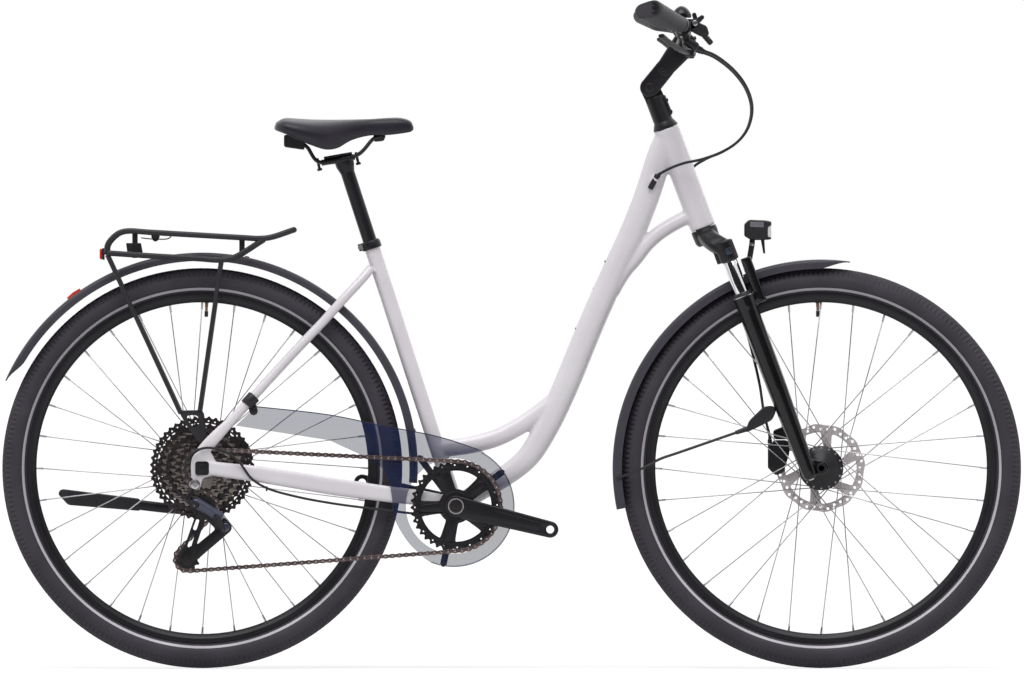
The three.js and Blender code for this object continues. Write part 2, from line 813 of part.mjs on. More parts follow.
// A closed loop of rings, each square to the route's direction there.
function chain() {
  const route = chainRoute();
  const count = route.length;
  const corners = chainSection.length;
  const positions = route.flatMap((point, i) => {
    const arriving = directionOf(route[(i + count - 1) % count], point);
    const leaving = directionOf(point, route[(i + 1) % count]);
    const outwards = new THREE.Vector3().crossVectors(arriving.add(leaving), axisY).normalize();
    return chainSection.flatMap(([height, width]) => {
      const corner = point.clone().addScaledVector(outwards, height).addScaledVector(axisY, width);
      return [corner.x, corner.y, corner.z];
    });
  });
  const faces = [];
  for (let ring = 0; ring < count; ring += 1) {
    for (let i = 0; i < corners; i += 1) {
      const next = (i + 1) % corners;
      const here = ring * corners;
      const ahead = ((ring + 1) % count) * corners;
      faces.push(here + i, here + next, ahead + i, here + next, ahead + next, ahead + i);
    }
  }
  const geometry = new THREE.BufferGeometry();
  geometry.setAttribute("position", new THREE.Float32BufferAttribute(positions, 3));
  geometry.setIndex(faces);
  return closed(geometry);
}

add("chain", chain(), "darkSteel");

// Frame tubes. Each is cut clear of the tube that it meets, whose shape is asked for again a little larger.
const downTubePixels = [
  [666.5, 141],
  [661, 153],
  [645.5, 200],
  [631, 236],
  [613, 275],
  [590, 327],
  [564.5, 389],
  [545, 430],
  [528, 457],
  [505, 476],
  [480, 491],
  [461, 502.5],
];
const bracePixels = [
  [566, 390],
  [553, 402],
  [536, 415],
  [518, 427],
  [497, 437.5],
  [474, 444],
  [454, 447],
  [438, 448.5],
];
const gussetPixels = [
  [700, 213],
  [692, 215.5],
  [683, 219],
  [670, 226],
  [658, 234],
  [647, 244],
  [636, 258],
  [624, 272],
];
const tubeEndShare = 0.36;
const downTubeNarrowShare = 0.24;
const downTubeSlimShare = 0.33;

function headTubeBarrel(extra) {
  return rod(steered(0, 0, -extra), steered(0, 0, headTubeLength + extra), headTubeDiameter / 2 + extra, 16);
}

function downTubeSpine(extra) {
  const halfSizes = (share) => {
    const narrowing = THREE.MathUtils.smoothstep(share, 1 - tubeEndShare, 1);
    return [
      (downTubeDepth / 2) * (1 - downTubeNarrowShare * narrowing) + extra,
      (downTubeBreadth / 2) * (1 - downTubeSlimShare * narrowing) + extra,
    ];
  };
  return sweep(smooth(downTubePixels.map((pixel) => seen(pixel))), 14, roundSection(10), halfSizes);
}

function shellBarrel(extra) {
  return drilling(bracket, shellRadius + extra, -shellWidth / 2 - extra, shellWidth / 2 + extra, 16);
}

function seatTubeBarrel(extra) {
  const foot = bracket.clone().addScaledVector(seatUp, shellRadius - extra - overrun);
  return rod(foot, alongSeat(extra), seatTubeDiameter / 2 + extra, 14);
}

function headTube() {
  const bearingBore = steererDiameter / 2 + gap * 2;
  const wideBore = headTubeDiameter / 2 - headTubeWall;
  const through = rod(steered(0, 0, -overrun), steered(0, 0, headTubeLength + overrun), bearingBore, 14);
  const insideTop = steered(0, 0, headTubeLength - bearingDepth);
  const inside = rod(steered(0, 0, bearingDepth), insideTop, wideBore, 14);
  const route = smooth(gussetPixels.map((pixel) => seen(pixel)));
  const gusset = sweep(route, 7, roundSection(8), [gussetDepth / 2, gussetBreadth / 2]);
  return cut(join(headTubeBarrel(0), cut(gusset, downTubeSpine(gap))), through, inside);
}

// The port where the rear brake hose enters the down tube, on its right.
const portPlace = [651.5, 185, -6.6];
const portMouthPlace = [657, 177.5, -16.6];
const portRadius = 7;
const portRoot = placed(portPlace);
const portMouth = placed(portMouthPlace);

function downTube() {
  const route = smooth(bracePixels.map((pixel) => seen(pixel)));
  const brace = sweep(route, 7, roundSection(8), [braceDepth / 2, braceBreadth / 2]);
  const port = rod(portRoot, portMouth, portRadius, 10);
  const bore = drilling(bracket, spindleRadius + gap * 1.5, -shellWidth, shellWidth);
  const body = cut(join(downTubeSpine(0), brace, port), headTubeBarrel(gap), seatTubeBarrel(gap));
  return cut(join(body, cut(shellBarrel(0), seatTubeBarrel(gap))), bore);
}

function seatTube() {
  const bore = rod(alongSeat(-seatBoreDepth), alongSeat(overrun), seatpostDiameter / 2 + gap, 14);
  return cut(seatTubeBarrel(0), bore);
}

add("head_tube", headTube(), "frameWhite");
add("down_tube", downTube(), "frameWhite");
add("seat_tube", seatTube(), "frameWhite");

// Rear stays, with the dropout plates on the chain stays. Spread shares are of the stay's distance at the dropout.
const dropoutInner = rearHubWidth / 2;
const dropoutOuter = dropoutInner + dropoutThickness;
const stayLine = dropoutInner + dropoutThickness / 2;
const chainStayPixels = [
  [205, 467.5],
  [230, 470.5],
  [254, 473.5],
  [292, 479.5],
  [330, 486],
  [366, 491],
  [392, 494.5],
  [420, 498],
  [446, 502.5],
];
const chainStaySpreadShares = [1, 0.985, 0.95, 0.85, 0.69, 0.56, 0.515, 0.45, 0.39];
const seatStayPixels = [
  [371, 268],
  [362, 279],
  [345, 297.5],
  [322, 323],
  [300, 346],
  [268.5, 380],
  [236, 416],
  [212, 441],
  [207.5, 446],
];
const seatStaySpreadShares = [0.2, 0.39, 0.57, 0.63, 0.69, 0.8, 0.93, 1, 1];
const dropoutPixels = [
  [191.5, 478],
  [191, 463],
  [193, 455.5],
  [198.5, 450.8],
  [206, 449.5],
  [212, 452.5],
  [216, 460],
  [216, 474],
  [206, 478],
];
const hangerRootPixel = [199, 470];
const hangerRadius = 11;
const hubClearanceRadius = 30;
const hubClearanceDepth = 14;

function spread(pixels, shares) {
  return smooth(pixels.map((pixel, i) => seen(pixel, -stayLine * shares[i])));
}

function chainStay(extra) {
  const depth = (share) => (chainStayDepth + chainStaySwell * Math.sin(Math.PI * share)) / 2;
  const route = spread(chainStayPixels, chainStaySpreadShares);
  const tube = sweep(route, 10, roundSection(8), (share) => [depth(share), chainStayBreadth / 2]);
  const dropout = seenPlate(dropoutPixels, -dropoutOuter, -dropoutInner);
  const hubSpace = drilling(rearAxle, hubClearanceRadius, -dropoutInner, -dropoutInner + hubClearanceDepth);
  const axleHole = drilling(rearAxle, axleBore, -dropoutOuter - overrun, 0, 12);
  const whole = join(cut(tube, hubSpace), dropout, extra);
  return cut(whole, axleHole, shellBarrel(gap), downTubeSpine(gap), seatTubeBarrel(gap));
}

function hanger() {
  const outline = armOutline(seen(hangerRootPixel), hangerRadius, seen(hangerPixel), hangerRadius);
  return plate(outline, -dropoutOuter, -dropoutInner);
}

// The kickstand's bracket hangs below the left dropout with the leg's pin. It is drawn on the right and mirrored.
const kickstandPivotPixel = [199, 511];
const kickstandRootPixel = [214, 474];
const kickstandPinRadius = 5;
const kickstandLegRadius = 9.5;
const kickstandLine = dropoutOuter + kickstandLegRadius + gap;
const kickstandPivot = seen(kickstandPivotPixel);

function kickstandBracket() {
  const outline = armOutline(seen(kickstandRootPixel), hangerRadius, kickstandPivot, hangerRadius);
  const pinEnd = kickstandLine + kickstandLegRadius;
  const pin = drilling(kickstandPivot, kickstandPinRadius, -pinEnd, -stayLine, 12);
  return join(plate(outline, -dropoutOuter, -dropoutInner), pin);
}

function seatStay() {
  const radius = (share) => {
    const taper = THREE.MathUtils.smoothstep(share, 1 - tubeEndShare, 1);
    return THREE.MathUtils.lerp(seatStayDiameter, seatStayEndDiameter, taper) / 2;
  };
  const route = spread(seatStayPixels, seatStaySpreadShares);
  const tube = sweep(route, 9, roundSection(8), (share) => [radius(share), radius(share)]);
  return cut(tube, seatTubeBarrel(gap));
}

add("chain_stay_right", chainStay(hanger()), "frameWhite");
add("chain_stay_left", mirrorGeometry(chainStay(kickstandBracket())), "frameWhite");
add("seat_stay_right", seatStay(), "frameWhite");
add("seat_stay_left", mirrorGeometry(seatStay()), "frameWhite");

// The kickstand's leg, folded up along the wheel: an eye on the pin, a tube and a broad sleeve that ends in the foot
const kickstandPixels = [
  [199, 511],
  [168, 508.5],
  [137, 505],
];
const kickstandSleevePixels = [
  [57.5, 494.8],
  [58.5, 490.8],
  [62, 489.2],
  [138.3, 498.7],
  [139.5, 500.4],
  [139.5, 511.3],
  [67.5, 505.3],
];
const kickstandSleeveHalf = 9;
const kickstandEyeRadius = 13;

function kickstandLeg() {
  const low = kickstandLine - kickstandLegRadius;
  const high = kickstandLine + kickstandLegRadius;
  const leg = pipe(kickstandPixels.map((pixel) => seen(pixel, kickstandLine)), kickstandLegRadius, 10);
  const eye = drilling(kickstandPivot, kickstandEyeRadius, low, high, 14);
  const sleeveLow = kickstandLine - kickstandSleeveHalf;
  const sleeve = seenPlate(kickstandSleevePixels, sleeveLow, kickstandLine + kickstandSleeveHalf);
  const bore = drilling(kickstandPivot, kickstandPinRadius + gap, 0, kickstandLine * 2, 12);
  return cut(join(leg, eye, sleeve), bore);
}

add("kickstand_leg", kickstandLeg(), "black");

// Seat clamp, seatpost, saddle rails and saddle
const seatClampRadius = 18;
const seatClampBelow = 9;
const seatClampAbove = 7;
const clampEarReach = 24;
const clampEarHalfHeight = 7;
const clampEarHalfWidth = 9;

function seatClamp() {
  const ring = rod(alongSeat(-seatClampBelow), alongSeat(seatClampAbove), seatClampRadius, 14);
  const ear = bar(alongSeat(0), alongSeat(0, clampEarReach), clampEarHalfHeight, clampEarHalfWidth);
  const tubeBore = rod(alongSeat(-seatClampBelow * 2), alongSeat(gap), seatTubeDiameter / 2 + gap, 14);
  const postBore = rod(alongSeat(-overrun), alongSeat(seatClampAbove * 2), seatpostDiameter / 2 + gap, 14);
  return cut(join(ring, ear), tubeBore, postBore);
}

const railPixels = [
  [297, 141],
  [306.6, 146.6],
  [318.6, 161.8],
  [357.6, 154.8],
  [374, 138.5],
  [381, 136.5],
];
const railSpreadShares = [1, 1, 1, 1, 0.62, 0.55];
const railRearPixels = [
  [284, 134.9],
  [304.5, 134.9],
  [304.5, 150],
  [284, 147],
];
const railNosePixels = [
  [373, 134.9],
  [386, 134.9],
  [384, 141],
  [374, 142],
];
const clampFrontPixel = [354.8, 155.3];
const clampRearPixel = [321.4, 161.3];
const railHolderHalf = 27;
const railNoseHalf = 14;
const railClampHalfHeight = 9;
const seatpostHeadRadius = 17;
const seatpostHeadDrop = 20;

function rails(radius) {
  return [-1, 1].map((side) => {
    const half = side * railHalfSpacing;
    return pipe(railPixels.map((pixel, i) => seen(pixel, half * railSpreadShares[i])), radius, 6);
  });
}

function seatpost() {
  const post = rod(alongSeat(-seatpostInsertion), alongSeat(seatpostHeight), seatpostDiameter / 2, 14);
  const headFoot = alongSeat(seatpostHeight - seatpostHeadDrop);
  const head = rod(headFoot, alongSeat(seatpostHeight), seatpostHeadRadius, 12);
  const clamp = bar(seen(clampRearPixel), seen(clampFrontPixel), railClampHalfHeight, railHolderHalf);
  return cut(join(post, head, clamp), ...rails(railDiameter / 2 + gap));
}

function saddleRails() {
  const rear = seenPlate(railRearPixels, -railHolderHalf, railHolderHalf);
  const nose = seenPlate(railNosePixels, -railNoseHalf, railNoseHalf);
  return join(...rails(railDiameter / 2), rear, nose);
}

// The saddle from rear to nose: pixel column, pixel rows of its top and its lower edge.
const saddlePixels = [
  [274.6, 126.5, 129.5],
  [277.5, 121.5, 131],
  [285.5, 118, 134],
  [297, 118.4, 139.6],
  [311, 119.2, 145],
  [325, 119.4, 149.3],
  [337, 119.3, 148],
  [352, 119, 140],
  [370, 118.3, 135.5],
  [388, 117.6, 135],
  [402, 118, 133.4],
  [410.5, 121, 131.8],
  [413.5, 126.6, 129.5],
];
const saddleWidthShares = [0.5, 0.8, 0.96, 1, 0.95, 0.82, 0.66, 0.46, 0.3, 0.25, 0.22, 0.17, 0.08];
// The half ring of its cushion: share of the width, share of the rise from the lower edge to the top.
const saddleSideShares = [
  [0.92, 0],
  [0.98, 0.14],
  [1, 0.32],
  [0.98, 0.54],
  [0.89, 0.75],
  [0.68, 0.9],
  [0.36, 0.975],
];
const saddleLipShare = 0.84;
const saddleInsideShare = 0.78;
const saddleHollowShare = 0.1;
const saddleBaseRow = 134.4;
const saddleRings = 17;

function saddle() {
  const base = seen([0, saddleBaseRow]).z;
  const outline = smooth(saddlePixels.map(([column, top, edge]) => new THREE.Vector3(column, top, edge)));
  const widths = smooth(saddlePixels.map(([column], i) => seen([column, 0], saddleHalfWidth * saddleWidthShares[i])));
  const rings = Array.from({ length: saddleRings }, (_, i) => {
    const place = outline.getPoint(i / (saddleRings - 1));
    const width = widths.getPoint(i / (saddleRings - 1)).y;
    const top = seen([place.x, place.y]);
    const edge = seen([place.x, place.z]).z;
    const inner = Math.max(base, THREE.MathUtils.lerp(edge, top.z, saddleHollowShare));
    const at = (side, share, z) => new THREE.Vector3(top.x, side * width * share, z);
    const flank = (side) =>
      saddleSideShares.map(([share, rise]) => at(side, share, THREE.MathUtils.lerp(edge, top.z, rise)));
    return [
      ...flank(1),
      top,
      ...flank(-1).reverse(),
      at(-1, saddleLipShare, edge),
      at(-1, saddleInsideShare, inner),
      at(1, saddleInsideShare, inner),
      at(1, saddleLipShare, edge),
    ];
  });
  const widest = rings[Math.floor(saddleRings / 4)];
  return loft(rings, widest.map((point) => [point.y, point.z]));
}

add("seat_clamp", seatClamp(), "black");
add("seatpost", seatpost(), "black");
add("saddle_rails", saddleRails(), "darkSteel");
add("saddle", saddle(), "softBlack");

// Mudguards
function guardProfile(radius, width, lip) {
  const inside = width / 2 - mudguardThickness;
  const under = radius - mudguardThickness;
  const outer = [
    [radius - lip, width / 2],
    [radius - mudguardShoulder / 2, width / 2],
    [radius, width / 2 - mudguardShoulder],
  ];
  const inner = [
    [under, width / 2 - mudguardShoulder],
    [under - mudguardShoulder / 2, inside],
    [radius - lip, inside],
  ];
  const opposite = (list) => list.map(([distance, y]) => [distance, -y]).reverse();
  return [...outer, ...opposite(outer), ...opposite(inner), ...inner];
}

const rearMudguardDegrees = [-4, 156];
const frontMudguardDegrees = [82, 191.5];
const guardBossHalf = 9;
const guardBossDepth = 16;
const wireEyePixel = [618, 478];
const wireBendPixels = [
  [643, 468],
  [660, 459],
  [748, 428.5],
];
const clipPixels = [
  [745, 433],
  [749, 421],
  [764, 406.5],
  [773.5, 405.5],
  [776, 411],
  [772, 420],
  [756, 428],
];
const clipLine = 50;
const clipThickness = 10;

function rearMudguard() {
  const profile = guardProfile(rearMudguardRadius, rearMudguardWidth, rearMudguardLip);
  return arcBand(rearAxle, profile, rearMudguardDegrees, 15);
}

// The front guard hangs from the fork's arch, and a wire on each side ties its tail to a clip on the leg.
function frontMudguard() {
  const profile = guardProfile(frontMudguardRadius, frontMudguardWidth, frontMudguardLip);
  const shell = arcBand(frontAxle, profile, frontMudguardDegrees, 11);
  const bossFoot = steered(archOffset, 0, frontMudguardRadius - axleBelowHead - mudguardThickness);
  const bossTop = steered(archOffset, 0, -archBottom - gap);
  const boss = bar(bossFoot, bossTop, guardBossDepth / 2, guardBossHalf);
  const stays = [-1, 1].flatMap((side) => {
    const root = seen(wireEyePixel, (side * (frontMudguardWidth - mudguardThickness)) / 2);
    const bends = wireBendPixels.map((pixel) => seen(pixel, side * (clipLine + clipThickness / 2)));
    const clipLow = side > 0 ? clipLine : -clipLine - clipThickness;
    return [
      pipe([root, ...bends], stayWireDiameter / 2, 6),
      seenPlate(clipPixels, clipLow, clipLow + clipThickness),
    ];
  });
  return join(shell, boss, ...stays);
}

add("rear_mudguard", rearMudguard(), "plastic");
add("front_mudguard", frontMudguard(), "plastic");

// Rack
const rackTopPixels = [
  [107, 253],
  [108, 245],
  [113, 238],
  [120, 232.8],
  [128, 231],
  [258, 238.5],
  [270, 237.5],
  [294, 229.8],
];
const rackLowerPixels = [
  [107, 253],
  [220, 260],
  [234, 257.5],
  [264, 239.5],
];
const rackLegPixels = [
  [
    [107.6, 255],
    [181, 413.5],
  ],
  [
    [221.5, 260],
    [200, 411],
  ],
];
const rackFootPixels = [
  [177.5, 410],
  [203.5, 409],
  [207.5, 436],
  [208, 443],
  [203.5, 446],
  [198.5, 442.5],
];
const rackFootHolePixels = [
  [184.5, 416],
  [198, 415.5],
  [199.5, 425],
  [196, 429],
  [191.5, 426],
];
const rackCrossPixels = [
  [107, 253],
  [135, 231.4],
  [200, 235.2],
  [245, 237.8],
  [294, 229.8],
];
const rackDropPixels = [
  [135, 231.4],
  [242, 237.6],
];
const rackDropHalf = 8;
const rackDropDepth = 5;
const rackDropReach = 70;
const platformBarLine = 18;
const platformBarRadius = 4;

function rack() {
  const sides = [-1, 1].flatMap((side) => {
    const atRail = (pixel) => seen(pixel, side * rackHalfWidth);
    const footLow = side > 0 ? rackFootLine : -rackFootLine - rackFootThickness;
    const footMiddle = footLow + rackFootThickness / 2;
    const legs = rackLegPixels.map(([top, foot]) => rod(atRail(top), seen(foot, footMiddle), rackLegDiameter / 2, 6));
    const corners = rackFootPixels.map((pixel) => seen(pixel));
    const hole = rackFootHolePixels.map((pixel) => seen(pixel));
    return [
      pipe(rackTopPixels.map(atRail), rackTubeDiameter / 2, 6),
      pipe(rackLowerPixels.map(atRail), rackTubeDiameter / 2, 6),
      ...legs,
      plate(corners, footLow, footLow + rackFootThickness, [hole]),
    ];
  });
  const crossBars = rackCrossPixels.map((pixel) =>
    drilling(seen(pixel), platformBarRadius, -rackHalfWidth, rackHalfWidth, 6),
  );
  const platformEnds = [rackCrossPixels[1], rackCrossPixels[3]];
  const platformBars = [-1, 1].map((side) =>
    pipe(platformEnds.map((pixel) => seen(pixel, side * platformBarLine)), platformBarRadius, 6),
  );
  const mudguardRoom = drilling(rearAxle, rearMudguardRadius + gap, -rackHalfWidth, rackHalfWidth, 72);
  const drops = rackDropPixels.map((pixel) => {
    const top = seen(pixel);
    const foot = top.clone().addScaledVector(axisZ, -rackDropReach);
    return cut(bar(foot, top, rackDropHalf, rackDropDepth, axisX), mudguardRoom);
  });
  return join(...sides, ...crossBars, ...platformBars, ...drops);
}

add("rear_rack", rack(), "black");

const tailLightPixels = [
  [99.8, 249],
  [104.6, 247.5],
  [104.6, 260.5],
  [99.8, 259],
];
const tailLightHalf = 32;
add("tail_light", seenPlate(tailLightPixels, -tailLightHalf, tailLightHalf), "redLens");

// Chain guard: a plate around the chainring with a band above the chain, held by a spider and a strap on the stay
const guardCentrePixel = [453.7, 505.9];
const guardTopPixels = [
  [256.6, 406],
  [330, 414.4],
  [380, 424.6],
  [440, 436.5],
  [481, 449.8],
];
const guardBottomPixels = [
  [425, 558.5],
  [408, 541.7],
  [394, 516.5],
  [392, 498],
  [388, 478.6],
  [380, 466],
  [330, 440.3],
  [236.2, 425.6],
];
const guardArcDegrees = [58, -112];
const guardLipDegrees = [63, -112];
const guardBendPixel = [330, 425];
const guardBandTurn = 17;
const spiderDegrees = [35, -100, 125];
const spiderHalfWidth = 6;
const spiderThickness = 2.5;
const collarRadius = 26;
const strapPlaces = [
  [254.6, 396.2, -33.6],
  [246.6, 405, -34.9],
];
const strapTabPixels = [
  [251, 401.5],
  [254, 411],
];
const strapRadius = 12;
const strapBoreRadius = 9.6;
const strapTabRadius = 7.5;
const strapTabLine = 57.8;
const strapTabThickness = 5;

function guardPlate() {
  const centre = seen(guardCentrePixel);
  const [arcStart, arcEnd] = guardArcDegrees.map((angle) => THREE.MathUtils.degToRad(angle));
  const outline = [
    ...guardTopPixels.map((pixel) => seen(pixel)),
    ...circle(centre, guardRadius, 12, arcStart, arcEnd - arcStart),
    ...guardBottomPixels.map((pixel) => seen(pixel)),
  ];
  const hole = circle(centre, guardInnerRadius, 22);
  const whole = plate(outline, -guardLine - guardThickness, -guardLine, [hole]);
  const position = whole.getAttribute("position");
  const bend = seen(guardBendPixel).x;
  const end = seen(guardBottomPixels.at(-1)).x;
  for (let i = 0; i < position.count; i += 1) {
    const share = THREE.MathUtils.clamp((bend - position.getX(i)) / (bend - end), 0, 1);
    position.setY(i, position.getY(i) - share * guardBandTurn);
  }
  return whole;
}

function chainGuard() {
  const centre = seen(guardCentrePixel);
  const lipProfile = [
    [guardRadius - guardLipThickness, -guardLine - guardLipDepth],
    [guardRadius, -guardLine - guardLipDepth],
    [guardRadius, -guardLine - guardThickness / 2],
    [guardRadius - guardLipThickness, -guardLine - guardThickness / 2],
  ];
  const lip = arcBand(centre, lipProfile, guardLipDegrees, 12);
  const from = bracket.clone().setY(spiderThickness / 2 - gap - guardLine);
  const arms = spiderDegrees.map((degrees) => {
    const [tip] = circle(centre, guardRadius - guardLipThickness, 1, THREE.MathUtils.degToRad(degrees));
    return bar(from, tip.setY(from.y), spiderHalfWidth, spiderThickness / 2);
  });
  const collar = drilling(bracket, collarRadius, -guardLine, -shellWidth / 2 - gap);
  const collarBore = drilling(bracket, crankHubRadius + gap * 2, -guardLine * 2, 0);
  const strapEnds = strapPlaces.map(placed);
  const strap = rod(...strapEnds, strapRadius, 12);
  const [tabTop, tabBottom] = strapTabPixels.map((pixel) => seen(pixel));
  const tabOutline = armOutline(tabTop, strapTabRadius, tabBottom, strapTabRadius);
  const tab = plate(tabOutline, -strapTabLine - strapTabThickness, -strapTabLine);
  const beyond = new THREE.Vector3().subVectors(strapEnds[1], strapEnds[0]);
  const stayRoomEnds = [strapEnds[0].clone().sub(beyond), strapEnds[1].clone().add(beyond)];
  const whole = join(guardPlate(), lip, ...arms, collar, strap, tab);
  return cut(whole, collarBore, rod(...stayRoomEnds, strapBoreRadius, 12));
}

add("chain_guard", chainGuard(), "guardClear");

// Rear caliper, standing on the left chain stay over the rotor's edge
const rearCaliperPixels = [
  [223, 459],
  [224, 440],
  [233, 436],
  [246, 441],
  [252, 452],
  [252, 461.5],
];
const rearCaliperFootPixels = [
  [229, 457],
  [250, 457],
  [250, 463],
  [229, 462],
];
const rearCaliperInner = 39;
const rearCaliperOuter = 61;
const rearCaliperFootOuter = 72;
const caliperSlotMargin = 1.4;

function rotorRoom(centre, seat) {
  const low = seat + gap - caliperSlotMargin;
  return drilling(centre, rotorRadius + caliperSlotMargin, low, low + rotorThickness + caliperSlotMargin * 2, 22);
}

function rearCaliper() {
  const body = seenPlate(rearCaliperPixels, rearCaliperInner, rearCaliperOuter);
  const foot = seenPlate(rearCaliperFootPixels, rearCaliperOuter - dropoutThickness, rearCaliperFootOuter);
  const halfSizes = [(chainStayDepth + chainStaySwell) / 2, chainStayBreadth / 2 + gap];
  const stayRoom = sweep(spread(chainStayPixels, chainStaySpreadShares), 10, roundSection(8), halfSizes);
  return cut(join(body, foot), rotorRoom(rearAxle, rearRotorSeat), mirrorGeometry(stayRoom));
}

add("rear_caliper", rearCaliper(), "black");

// Fork: crown with steerer and stanchions, and its damping knob
const forkLegHalf = forkLegSpacing / 2;
const crownPixels = [
  [706.2, 236],
  [708.1, 237.7],
  [714.8, 242.9],
  [723.9, 248.3],
];
const crownSpreadShares = [0, 0.4, 0.8, 1];
const knobPlace = [715.6, 250.2, -27.7];
const knobHeight = 26;
const knobRadius = 6.5;
const knobTop = placed(knobPlace);
const knobBottom = knobTop.clone().addScaledVector(steeringUp, -knobHeight);

function forkCrown() {
  const hub = rod(steered(0, 0, -crownHubDepth), steered(0, 0, -gap), crownTopRadius, 14);
  const steerer = rod(steered(0, 0, -crownHubDepth), steered(0, 0, steererTop), steererDiameter / 2, 14);
  const half = crownPixels.map((pixel, i) => seen(pixel, -forkLegHalf * crownSpreadShares[i])).reverse();
  const otherHalf = half.slice(0, -1).map(mirrored).reverse();
  const shoulders = smooth([...half, ...otherHalf]);
  const bridge = sweep(shoulders, 8, boxSection, [crownHalfDepth, crownHalfReach], steeringForward);
  const legs = [-1, 1].flatMap((side) => {
    const on = (down) => steered(forkLegOffset, side * forkLegHalf, -down);
    return [
      rod(on(socketTop), on(socketBottom), socketDiameter / 2, 12),
      rod(on(socketTop), on(stanchionBottom), stanchionDiameter / 2, 12),
    ];
  });
  const knobRoomTop = knobTop.clone().addScaledVector(steeringUp, gap);
  const knobRoom = rod(knobRoomTop, knobBottom, knobRadius + gap * 2, 12);
  return cut(join(hub, steerer, bridge, ...legs), knobRoom);
}

add("fork_crown", forkCrown(), "graphite");
add("lockout_knob", rod(knobTop, knobBottom, knobRadius, 12), "plastic");

// Fork lowers: legs with bores for the stanchions, an arch in front, dropouts, the lamp's ears and a caliper lug
const lowerBoreBottom = stanchionBottom + forkTravel + overrun;
const lampBoltPixel = [752, 244];
const lampRootPixel = [749.5, 259];
const lampEarRadius = 5;
const lampPinRadius = 2.5;
const lampTongueHalf = 3;
const lampEarThickness = 4;
const caliperLugPixels = [
  [773, 430.5],
  [786, 425.5],
  [792, 439.5],
  [774, 439.5],
];
const caliperLugInner = 40;

function forkLeg(side) {
  const on = (forward, down) => steered(forward, side * forkLegHalf, -down);
  const collarMiddle = lowerTop + legCollarDepth / 2;
  const footTop = on(forkLegOffset, lowerBottom - lowerEndDiameter);
  const footOutline = armOutline(footTop, lowerEndDiameter / 2, frontAxle, lowerEndDiameter / 2);
  const footLow = side > 0 ? frontHubWidth / 2 : -frontHubWidth / 2 - legDropoutThickness;
  const stations = [lowerTop, lowerBoreBottom, lowerBottom].map((down) => on(forkLegOffset, down));
  const radii = [lowerTopDiameter, lowerMiddleDiameter, lowerEndDiameter].map((diameter) => diameter / 2);
  const columnFoot = on(archOffset, lowerTop + legCollarDepth);
  const columnTop = on(archOffset, archBottom - archHeight);
  return [
    pipe(stations, radii, 12),
    bar(columnFoot, columnTop, archDepth / 2, archDepth / 2),
    bar(on(forkLegOffset, collarMiddle), on(archOffset, collarMiddle), legCollarDepth / 2, archDepth / 2),
    plate(footOutline, footLow, footLow + legDropoutThickness),
  ];
}

function forkLowers() {
  const archEnds = [-forkLegHalf, forkLegHalf].map((y) => steered(archOffset, y, archHeight / 2 - archBottom));
  const arch = bar(...archEnds, archHeight / 2, archDepth / 2, steeringForward);
  const earOutline = armOutline(seen(lampBoltPixel), lampEarRadius, seen(lampRootPixel), lampEarRadius);
  const earInner = lampTongueHalf + gap;
  const earOuter = earInner + lampEarThickness;
  const ears = [
    plate(earOutline, -earOuter, -earInner),
    plate(earOutline, earInner, earOuter),
  ];
  const lampPin = drilling(seen(lampBoltPixel), lampPinRadius, -earOuter, earOuter, 10);
  const caliperLug = seenPlate(caliperLugPixels, caliperLugInner, forkLegHalf);
  const bores = [-1, 1].map((side) => {
    const ends = [lowerBoreBottom, lowerTop - overrun].map((down) =>
      steered(forkLegOffset, side * forkLegHalf, -down),
    );
    return rod(...ends, stanchionDiameter / 2 + gap, 12);
  });
  const axleEnd = frontHubWidth / 2 + legDropoutThickness + overrun;
  const axleHole = drilling(frontAxle, axleBore, -axleEnd, axleEnd, 12);
  const hubRoom = drilling(frontAxle, spacerRadius + gap * 2, -frontHubWidth / 2, frontHubWidth / 2, 12);
  const whole = join(...forkLeg(-1), ...forkLeg(1), arch, ...ears, lampPin, caliperLug);
  return cut(whole, ...bores, axleHole, hubRoom);
}

add("fork_lowers", forkLowers(), "graphite");

const frontCaliperPixels = [
  [768, 443.5],
  [772.4, 443.5],
  [773.5, 440.1],
  [788, 440.1],
  [790, 452],
  [784, 472],
  [776, 476],
  [768, 468],
];
const frontCaliperInner = 28.5;
const frontCaliperOuter = 52;

function frontCaliper() {
  const body = seenPlate(frontCaliperPixels, frontCaliperInner, frontCaliperOuter);
  return cut(body, rotorRoom(frontAxle, frontRotorSeat));
}

add("front_caliper", frontCaliper(), "black");

// Headlight on its tongue, which tilts between the ears
const headlightPixels = [
  [744, 223],
  [749, 219.5],
  [765, 220.5],
  [771.5, 226],
  [771.5, 237],
  [764, 240.2],
  [751, 240.2],
  [744, 236],
];
const lampTonguePixel = [753, 230];
const headlightHalf = 24;

function headlight() {
  const body = seenPlate(headlightPixels, -headlightHalf, headlightHalf);
  const outline = armOutline(seen(lampTonguePixel), lampEarRadius, seen(lampBoltPixel), lampEarRadius);
  const tongue = plate(outline, -lampTongueHalf, lampTongueHalf);
  const bore = drilling(seen(lampBoltPixel), lampPinRadius + gap, -headlightHalf, headlightHalf, 10);
  return cut(join(body, tongue), bore);
}

add("headlight", headlight(), "plastic");

// Stem: a base clamped on the steerer with a tongue, and an arm that tilts on the tongue's pin
const stemPivot = seen(stemPivotPixel);
const barCentre = seen(barClampPixel);
const stemWaistShare = 0.45;
const stemWaist = stemPivot.clone().lerp(barCentre, stemWaistShare);

